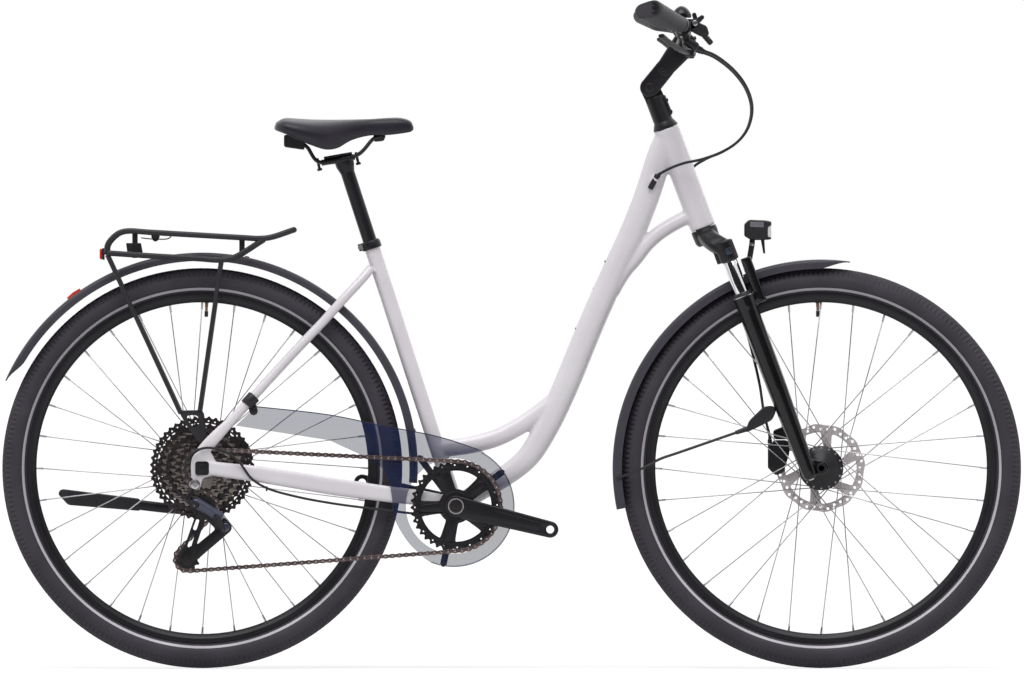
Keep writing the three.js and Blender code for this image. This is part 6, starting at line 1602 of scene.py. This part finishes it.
def grip():
    """Rubber grip swelling into a palm rest behind, with a clamp ring at its inner end and a plug outside."""
    ends = [on_bar(GRIP_START), on_bar(GRIP_END)]
    heading = (ends[1] - ends[0]).normalized()
    length = (ends[1] - ends[0]).length
    rings = []
    for i in range(41):
        share = i / 40
        centre = ends[0].lerp(ends[1], share)
        wing = ease(0.1, 0.45, share) * (15 + 6 * share)
        end_round = 1 - 0.25 * (1 - ease(0, 0.05, share)) - 0.12 * ease(0.96, 1, share)
        up = heading.cross(-AXIS_X).normalized()
        ring = []
        for u, v in round_section(40):
            flat = Vector((-0.95, 0, -0.3)) * ease(-0.15, 0.6, v) * wing
            thin = 1 - 0.22 * max(v, 0) ** 2 * ease(0.1, 0.4, share)
            ring.append(centre + (up * u * 15.6 * thin - AXIS_X * v * 15.4 + flat) * end_round)
        rings.append(ring)
    body = loft(rings)
    collar = rod(ends[0] - heading * 1, ends[0] + heading * 8, 15.6, edge=1)
    plug = lathe(
        ends[1] - heading * 2, ends[1] + heading * 0.8,
        [(0, 11.5), (2, 11.5), (2.8, 10.8), (2.8, 8.4), (1.0, 8.0), (1.0, 4), (2.4, 3.6)],
        32,
    )
    return body, joined(collar, plug)


grip_body, grip_hard = grip()
for side, turn in BOTH_HANDS:
    shapes = [(turn(grip_body), grip_rubber), (turn(grip_hard), black_anodised)]
    piece("grip_cover_" + side, "bar", shapes, ["grip_" + side], 40)

# Brake levers
reservoir = placed_all(((683.2, 41.5, -92), (697.3, 48.7, -88.9)))
lever_points = placed_all(
    ((688.7, 54.2, -88.6), (682.1, 52.3, -105.3), (672.1, 46.5, -130.2), (660.5, 37.5, -160.7))
)
lever_axis = (lever_points[3] - lever_points[0]).normalized().cross(AXIS_Z).normalized()
pivot_low, pivot_high = lever_points[0] - lever_axis * 10.8, lever_points[0] + lever_axis * 6
perch_ring = rod(on_bar(160), on_bar(176), 15.8, edge=1.5, count=40)
reservoir_length = (reservoir[1] - reservoir[0]).length
reservoir_body = lathe(*reservoir, [(0, 6.5), (2, 8.3), (reservoir_length - 4, 8.3), (reservoir_length, 5.6)], 32)
lug_end = lever_points[0] - lever_axis * 8.5
under = reservoir[0].lerp(reservoir[1], 0.7)
perch_arm = bar(on_bar(168), reservoir[0].lerp(reservoir[1], 0.25), 7, 7, power=3)
perch_web = bar(lug_end, under, 6.3, 2.2, lever_axis, 4)
perch_lug = rod(pivot_low, pivot_low + lever_axis * 4.5, 6.4)
perch_pin = rod(pivot_low, pivot_high, 2.9, count=16)
perch_bolt = bolt(on_bar(168) + Vector((0, 0, -15.2)), Vector((0, 0, -1)), 3.6, 2.5)
perch_shapes = [
    (remesh(joined(perch_ring, reservoir_body, perch_arm, perch_web, perch_lug), 0.9, 3), black_anodised),
    (joined(perch_pin, perch_bolt), zinc_steel),
]
lever_eye = rod(lever_points[0] - lever_axis * 5.9, lever_points[0] + lever_axis * 5.9, 6.4)


def lever_sizes(share):
    return 3.4, 5.2 + 1.2 * math.sin(math.pi * min(share * 1.2, 1)) + 0.5 * ease(0.8, 1, share)


lever_blade = sweep(lever_points, soft_box(3, 28), lever_sizes, AXIS_X, 40)
lever_shape = joined(lever_eye, lever_blade)
for side, turn in BOTH_HANDS:
    piece(
        "perch_" + side, "bar", [(turn(s), m) for s, m in perch_shapes], ["lever_perch_" + side], 45
    )
    piece(
        "lever_blade_" + side, "lever_" + side,
        [(turn(lever_shape), moulded_nylon)],
        ["brake_lever_" + side], 45,
    )

# Shifter and bell
SHIFT_INNER, SHIFT_OUTER = 141, 153
shift_end = seen((694.4, 24.2))
shift_ring = rod(on_bar(SHIFT_INNER), on_bar(SHIFT_OUTER), 15.3, edge=1.5, count=36)
shift_neck = plate(arm_outline(on_bar(SHIFT_INNER), 8, shift_end, 8), -SHIFT_OUTER, -SHIFT_INNER, [], 2)
shift_body = seen_plate(
    [(690, 21), (698.5, 23.5), (706.5, 27), (709, 36), (701, 38), (688, 31)], -SHIFT_OUTER, -SHIFT_INNER, 5, 2.5
)
barrel_start, barrel_end = placed((703, 35.5, -81.5)), placed((711.2, 45, -81.5))
barrel = lathe(
    barrel_start, barrel_end,
    [(0, 5.2), (6, 5.4), (7, 4.6), (8, 5.4), (12, 5.4), (13, 4.6), (14, 5.4), (20, 5.2), (22.4, 3.4)],
    24,
)
shift_bolt = bolt(shift_end + AXIS_Y * -152.8, -AXIS_Y, 5, 2)
shift_pin = rod(shift_end + AXIS_Y * -150, shift_end + AXIS_Y * -135.8, 2.4, count=16)
piece(
    "shifter_housing", "bar",
    [([shift_ring, shift_neck, shift_body, barrel], moulded_nylon), ([shift_bolt, shift_pin], zinc_steel)],
    ["shifter"], 40,
)
trigger = plate(arm_outline(shift_end, 6, seen((701.5, 18.2)), 4), -140.7, -135.7, [], 1.4)
piece("shift_trigger_paddle", "trigger", [(trigger, moulded_nylon)], ["shift_lever"])
bell_line = -124.5
striker_pivot = seen((695.5, 21.5))
bell_centre = seen((681.3, 18.6), bell_line)
dome = lathe(
    bell_centre, bell_centre + AXIS_Z,
    [
        (0.4, 14), (0, 16.4), (0.6, 17.3), (2, 17.4), (6, 17.1), (10, 15.6), (14, 12.9), (17.6, 9.4), (20, 5.4),
        (21.2, 2.2), (21.5, 0.4),
    ],
    48,
)
bell_ring = rod(on_bar(118), on_bar(131), 13.9, edge=1.2, count=36)
bell_post = rod(on_bar(-bell_line), bell_centre + AXIS_Z * 4, 4)
bell_lug = bar(seen((681.3, 21.5), bell_line), seen((695.5, 21.5), bell_line), 3, 3)
bell_pin = across(striker_pivot, 2, bell_line, bell_line + 7.3, 0.4, 16)
piece(
    "bell_dome", "bar",
    [(dome, gloss_enamel), ([bell_ring, bell_post, bell_lug], moulded_nylon), (bell_pin, zinc_steel)],
    ["bell"], 45,
)
striker = plate(arm_outline(striker_pivot, 4, seen((693.8, 15.6)), 4), bell_line + 3.3, bell_line + 7.3, [], 1)
piece("bell_hammer", "striker", [(striker, moulded_nylon)], ["bell_striker"])

# Derailleur
LINK_HALF = 6
EAR_SPAN = (6.3, 9.8)
link_upper, link_lower = placed((196.5, 502, -45.4)), placed((219, 516, -45.4))
link_along = (link_lower - link_upper).normalized()
link_pins = -link_along.cross(AXIS_Y).normalized()
link_pins.rotate(Quaternion(link_along, math.radians(-45)))
link_square = link_along.cross(link_pins)
link_length = (link_lower - link_upper).length


def in_link(origin, along, pin, square):
    return origin + link_along * along + link_pins * pin + link_square * square


def link_placed(shape, origin):
    return [in_link(origin, p[0], p[1], p[2]) for p in shape[0]], shape[1]


def flat_arm(start, start_radius, end, end_radius, low, high, edge=1.0):
    return plate(arm_outline(Vector(start), start_radius, Vector(end), end_radius), low, high, [], edge)


mount_head = across(hanger_place, 9, -88, -74.3, 1.2, 36)
mount_ear = link_placed(flat_arm((0, 0, 0), 8, (-16, 0, 0), 4.5, *EAR_SPAN), link_upper)
mount_arm = bar(
    in_link(link_upper, -16, EAR_SPAN[1], 0), Vector((hanger_place.x, -81, hanger_place.z)), 4.5, 4.5, power=3.5
)
mount_pin = rod(in_link(link_upper, 0, -LINK_HALF, 0), in_link(link_upper, 0, EAR_SPAN[1], 0), 3, count=20)
mount_bolt = bolt(hanger_place + AXIS_Y * -87.8, -AXIS_Y, 8, 2)
piece(
    "derailleur_bracket", "frame",
    [([mount_head, mount_ear, mount_arm], black_anodised), ([mount_pin, mount_bolt], zinc_steel)],
    ["derailleur_mount"], 40,
)
link_block = link_placed(flat_arm((0, 0, 0), 9, (link_length, 0, 0), 9, -LINK_HALF, LINK_HALF, 2.2), link_upper)
link_face = link_placed(
    flat_arm((link_length * 0.22, 0, 0), 6.5, (link_length * 0.8, 0, 0), 6.5, -6.8, -5.4, 0.6), link_upper
)
link_pins_heads = [
    rod(in_link(p, 0, -6.9, 0), in_link(p, 0, -5.8, 0), 3.2, count=20) for p in (link_upper, link_lower)
]
piece(
    "derailleur_link_block", "link",
    [([link_block, link_face], graphite_paint), (link_pins_heads, zinc_steel)],
    ["derailleur_link"], 40,
)
CAGE_THICKNESS = 1.7
CAGE_CLEARANCE = 0.45
cage_outer_high = engaged_line - CHAIN_HALF_WIDTH - CAGE_CLEARANCE
cage_outer_low = cage_outer_high - CAGE_THICKNESS
cage_inner_low = engaged_line + CHAIN_HALF_WIDTH + CAGE_CLEARANCE
knuckle_barrel = across(cage_pivot, 11.5, -76.7, cage_outer_low - GAP, 1.5, 40)
knuckle_web = link_placed(flat_arm((0, 0, 0), 8, (18, 0, 15), 6, *EAR_SPAN), link_lower)
knuckle_pin = rod(in_link(link_lower, 0, -LINK_HALF, 0), in_link(link_lower, 0, EAR_SPAN[1], 0), 3, count=20)
knuckle_cap = lathe(
    cage_pivot + AXIS_Y * -76.2, cage_pivot + AXIS_Y * -79, [(0, 8), (1.4, 8), (2.2, 7), (2.2, 4), (1.2, 3.8)], 32
)
piece(
    "derailleur_knuckle_barrel", "knuckle",
    [([knuckle_barrel, knuckle_web], black_anodised), ([knuckle_pin, knuckle_cap], graphite_paint)],
    ["derailleur_knuckle"], 40,
)


def cage_plate(low):
    right = math.pi / 2
    outline = circle(cage_pivot, 11.5, 12, -right / 2, right) + circle(
        guide_centre, 12, 14, right / 2, right * 1.5
    ) + circle(tension_centre, 13, 20, math.pi, right * 1.5)
    corners = (cage_pivot, guide_centre, tension_centre)
    middle = (cage_pivot + guide_centre + tension_centre) / 3
    slots = [rounded([corner.lerp(middle, 0.5) for corner in corners], 5)]
    run = tension_centre - guide_centre
    side = run.cross(AXIS_Y).normalized()
    for share, length, shift in ((0.36, 7, -4.5), (0.68, 8, -4)):
        middle = guide_centre + run * share + side * shift
        ahead = run.normalized() * length
        slots.append(arm_outline(middle - ahead, 3, middle + ahead, 3.4, 8))
    return plate(outline, low, low + CAGE_THICKNESS, slots, 0.4, 1)


cage_bolts = [
    across(c, 3, cage_outer_low, cage_inner_low + CAGE_THICKNESS, 0.4, 20) for c in (guide_centre, tension_centre)
]
cage_heads = [bolt(Vector((c.x, cage_outer_low, c.z)), -AXIS_Y, 5, 1.6) for c in (guide_centre, tension_centre)]
cage_pin = across(cage_pivot, 5, -76, cage_outer_high, 0.6, 24)
piece(
    "derailleur_cage_plates", "cage",
    [
        ([cage_plate(cage_inner_low), cage_plate(cage_outer_low)], black_anodised),
        ([*cage_bolts, *cage_heads, cage_pin], blackened_steel),
    ],
    ["derailleur_cage"], 40,
)
for which, centre in (("upper", guide_centre), ("lower", tension_centre)):
    radius = pitch_radius(PULLEY_TEETH)
    outline = toothed(centre, PULLEY_TEETH, radius + 1.4, radius - TOOTH_ROOT, phase_at(centre, radius))
    holes = [circle(polar(centre, 9.6, TURN * i / 5), 2, 12) for i in range(5)] + [circle(centre, 3.3, 20)]
    wheel_shape = plate(outline, engaged_line - PULLEY_HALF, engaged_line + PULLEY_HALF, holes, 0.4, 1)
    low, high = engaged_line - 1.5, engaged_line + 1.5
    bush = turned([(3.4, low), (6, low), (6, high), (3.4, high)], centre, 36)
    piece(
        "jockey_wheel_" + which, which + "_pulley",
        [(wheel_shape, moulded_nylon), (bush, blackened_steel)],
        ["pulley_" + which], 40,
    )

# Kickstand
STAND_LINE = DROPOUT_OUTER + 9.8
STAND_HALF = 9
stand_route = seen_all(((199, 511), (168, 508.5), (137, 505)), STAND_LINE)
stand_leg = sweep(stand_route, soft_box(3.4), (9.3, 9.3), AXIS_Y, 30)
sleeve_outline = seen_all(
    ((57.5, 494.8), (58.5, 490.8), (62, 489.2), (138.3, 498.7), (139.5, 500.4), (139.5, 511.3), (67.5, 505.3))
)
stand_sleeve = plate(rounded(sleeve_outline, 4), STAND_LINE - STAND_HALF, STAND_LINE + STAND_HALF, [], 3, 3)
foot_outline = seen_all(((57.8, 494.8), (58.8, 491), (62.2, 489.7), (67, 490.3), (71.5, 505.4), (67.4, 505)))
stand_eye = across(kickstand_pivot, 13, STAND_LINE - 9.4, STAND_LINE + 9.4, 1.5, 40)
stand_foot = plate(rounded(foot_outline, 3), STAND_LINE - 9.2, STAND_LINE + 9.2, [], 2, 3)
stand_buttons = [
    bolt(seen(p, side * 8.8 + STAND_LINE), AXIS_Y * side, 3, 0.6)
    for p in ((78, 500.5), (96, 503), (104, 504))
    for side in SIDES
]
stand_bolt = bolt(kickstand_pivot + AXIS_Y * (STAND_LINE + STAND_HALF), AXIS_Y, 6, 1.8)
piece(
    "kickstand_leg_and_foot", "kickstand",
    [
        ([stand_leg, stand_eye], black_anodised),
        (stand_sleeve, moulded_nylon), (stand_foot, grip_rubber),
        ([stand_bolt, *stand_buttons], blackened_steel),
    ],
    ["kickstand_leg"], 40,
)

# Hoses and cable, each held at both ends
HOSE_RADIUS = 2.5
HOSE_LEAD = 10
CABLE_RADIUS = 2.2
REAR_HOSE = [
    (714.8, 56.4, -83), (733.9, 71.4, -75), (746.7, 89.3, -66.5), (751.8, 108.4, -58), (748, 127.6, -50),
    (737.8, 141.6, -42), (722.4, 151.8, -36), (702, 159.4, -31), (684, 163.3, -28), (671, 168, -24.5),
]
FRONT_HOSE = [
    (714.8, 56.4, 83), (733.9, 71.4, 75), (746.7, 89.3, 66.5), (751.8, 108.4, 58), (748, 127.6, 50),
    (737.8, 141.6, 42), (722.4, 151.8, 36), (706, 158.8, 33), (692, 169, 33.5), (690, 187, 36.5), (699, 211, 41),
    (712, 237, 44.3), (728, 270, 43.8), (741, 310, 42.7), (752, 350, 41), (760, 385, 34.3), (764, 412, 23),
]
CABLE = [
    (428, 514.5, -18.8), (405, 512.5, -20), (390, 510.5, -21), (360, 507, -23.8), (330, 502.8, -27.7),
    (296, 496.3, -33.2), (267, 487.8, -38.8), (252, 478.4, -42.9), (239.3, 461.5, -44.9), (226.5, 451.9, -45.7),
    (210.6, 447.6, -45.7), (199.7, 449.3, -45.7), (189.5, 456.3, -45.7), (185.5, 467, -45.7), (188.5, 476, -45.7),
    (192.2, 480.4, -45.7),
]


def hose(start, start_heading, places, end, end_heading):
    route = [start, start + start_heading * HOSE_LEAD, *placed_all(places), end - end_heading * HOSE_LEAD, end]
    line = sweep(route, round_section(16), (HOSE_RADIUS, HOSE_RADIUS), count=160)
    nuts = [
        lathe(start - start_heading * 0.2, start + start_heading * 14, [(0, 4.6), (8, 4.6), (9, 3.6), (14, 3)], 12),
        lathe(end, end - end_heading * 12, [(0, 4.2), (6, 4.2), (7, 3.4), (12, 2.9)], 12),
    ]
    return line, joined(*nuts)


reservoir_heading = (reservoir[1] - reservoir[0]).normalized()
hose_start = reservoir[1] + reservoir_heading * GAP
port_heading = (port_mouth - port_root).normalized()
rear_hose, rear_nuts = hose(
    hose_start, reservoir_heading, REAR_HOSE, port_mouth + port_heading * GAP, -port_heading
)
piece(
    "rear_hose_line", "frame",
    [(rear_hose, moulded_nylon), (rear_nuts, black_anodised)],
    ["rear_brake_hose"],
)


front_end = placed((770, 443.5, 18.5)) + AXIS_Z * GAP
front_hose, front_nuts = hose(flipped(hose_start), flipped(reservoir_heading), FRONT_HOSE, front_end, -AXIS_Z)
piece(
    "front_hose_line", "bar",
    [(front_hose, moulded_nylon), (front_nuts, black_anodised)],
    ["front_brake_hose"],
)
cable_route = placed_all(CABLE)
cable_line = sweep(cable_route, round_section(14), (CABLE_RADIUS, CABLE_RADIUS), count=170)
ferrule = lathe(cable_route[-1], cable_route[-2], [(0, 3.2), (7, 3.2), (8, 2.6)], 20)
tie = rod(placed((267, 486, -38.8)), placed((267, 491, -38.8)), 1.6, count=12)
piece(
    "gear_cable_line", "frame",
    [(cable_line, moulded_nylon), ([ferrule, tie], blackened_steel)],
    ["shift_cable"],
)

# Studio: floor, world, lamps, card and camera
FLOOR_HALF = 400.0
FLOOR_LIT = 0.5
FLOOR_GLOW = 0.5
SKY_LIT = 0.52
CARD_HALF, CARD_AHEAD, CARD_LOW, CARD_HIGH = 20, 9, 0.1, 9
CAMERA_DISTANCE = 50.0
SENSOR_WIDTH = 36
VIEW_WIDTH = 1024 * PIXEL * METRES


def sight_rays(tree):
    """One for the rays that camera, gloss and glass send, nothing for those that carry soft light."""
    ray = add_node(tree, "ShaderNodeLightPath")
    first = add_node(
        tree, "ShaderNodeMath",
        {0: ray.outputs["Is Camera Ray"], 1: ray.outputs["Is Glossy Ray"]},
        operation="MAXIMUM",
    )
    return add_node(
        tree, "ShaderNodeMath", {0: first.outputs[0], 1: ray.outputs["Is Transmission Ray"]}, operation="MAXIMUM"
    ).outputs[0]


def stage_object(name, corners, material):
    """One flat face of the studio."""
    mesh = bpy.data.meshes.new(name)
    mesh.from_pydata(corners, [], [(0, 1, 2, 3)])
    mesh.materials.append(material)
    made = bpy.data.objects.new(name, mesh)
    bpy.context.scene.collection.objects.link(made)
    return made


def stage_material(name, lit, glow):
    """Pale matt ground that camera, gloss and glass see a little brighter than its lit colour."""
    material = bpy.data.materials.new(name)
    material.use_nodes = True
    tree = material.node_tree
    tree.nodes.clear()
    strength = add_node(tree, "ShaderNodeMath", {0: sight_rays(tree), 1: glow}, operation="MULTIPLY")
    shine = add_node(tree, "ShaderNodeEmission", {"Color": (1, 1, 1, 1), "Strength": strength.outputs[0]})
    matt = add_node(tree, "ShaderNodeBsdfDiffuse", {"Color": (lit, lit, lit, 1)})
    both = add_node(tree, "ShaderNodeAddShader", {0: shine.outputs[0], 1: matt.outputs[0]})
    add_node(tree, "ShaderNodeOutputMaterial", {"Surface": both.outputs[0]})
    return material


floor_corners = [(x * FLOOR_HALF, y * FLOOR_HALF, 0) for x, y in ((-1, -1), (1, -1), (1, 1), (-1, 1))]
floor = stage_object("studio_floor", floor_corners, stage_material("studio_floor_paint", FLOOR_LIT, FLOOR_GLOW))
floor.location.z = -0.0005

world = bpy.data.worlds.new("studio")
bpy.context.scene.world = world
world.use_nodes = True
sky = world.node_tree
sky.nodes.clear()
level = add_node(sky, "ShaderNodeMapRange", {"Value": sight_rays(sky), "To Min": SKY_LIT, "To Max": 1.0})
back = add_node(sky, "ShaderNodeBackground", {"Color": (1, 1, 1, 1), "Strength": level.outputs["Result"]})
add_node(sky, "ShaderNodeOutputWorld", {"Surface": back.outputs[0]})


def sun(name, towards, level, spread_degrees):
    """A soft lamp; level is the share of a full plain exposure that it gives to a surface facing it."""
    data = bpy.data.lights.new(name, "SUN")
    data.energy, data.angle = math.pi * level, math.radians(spread_degrees)
    lamp = bpy.data.objects.new(name, data)
    lamp.rotation_mode = "QUATERNION"
    lamp.rotation_quaternion = Vector(towards).to_track_quat("-Z", "Y")
    bpy.context.scene.collection.objects.link(lamp)


sun("overhead_softbox", (0.15, 0.6, -1.0), 0.62, 50)
sun("rear_softbox", (-0.4, -0.8, -0.7), 0.2, 60)

# A dark card in front of the bicycle, seen in gloss alone, draws the dark line down polished tubes.
card_material = bpy.data.materials.new("studio_card_cloth")
card_material.use_nodes = True
card_shader = card_material.node_tree.nodes["Principled BSDF"]
card_shader.inputs["Base Color"].default_value = (0.01, 0.01, 0.01, 1)
card_shader.inputs["Roughness"].default_value = 1.0
card_corners = [
    (x * CARD_HALF, -CARD_AHEAD, z) for x, z in ((-1, CARD_LOW), (1, CARD_LOW), (1, CARD_HIGH), (-1, CARD_HIGH))
]
card = stage_object("studio_card", card_corners, card_material)
card.visible_camera = card.visible_diffuse = card.visible_shadow = card.visible_transmission = False

camera_data = bpy.data.cameras.new("camera")
camera_data.sensor_width = SENSOR_WIDTH
camera_data.lens = SENSOR_WIDTH * CAMERA_DISTANCE / VIEW_WIDTH
camera_data.clip_start, camera_data.clip_end = 1.0, 900.0
camera = bpy.data.objects.new("camera", camera_data)
middle = seen((512, 345)) * METRES
camera.location = (middle.x, -CAMERA_DISTANCE, middle.z)
camera.rotation_euler = (math.pi / 2, 0, 0)
bpy.context.scene.collection.objects.link(camera)
bpy.context.scene.camera = camera
bpy.context.scene.view_settings.view_transform = "Standard"
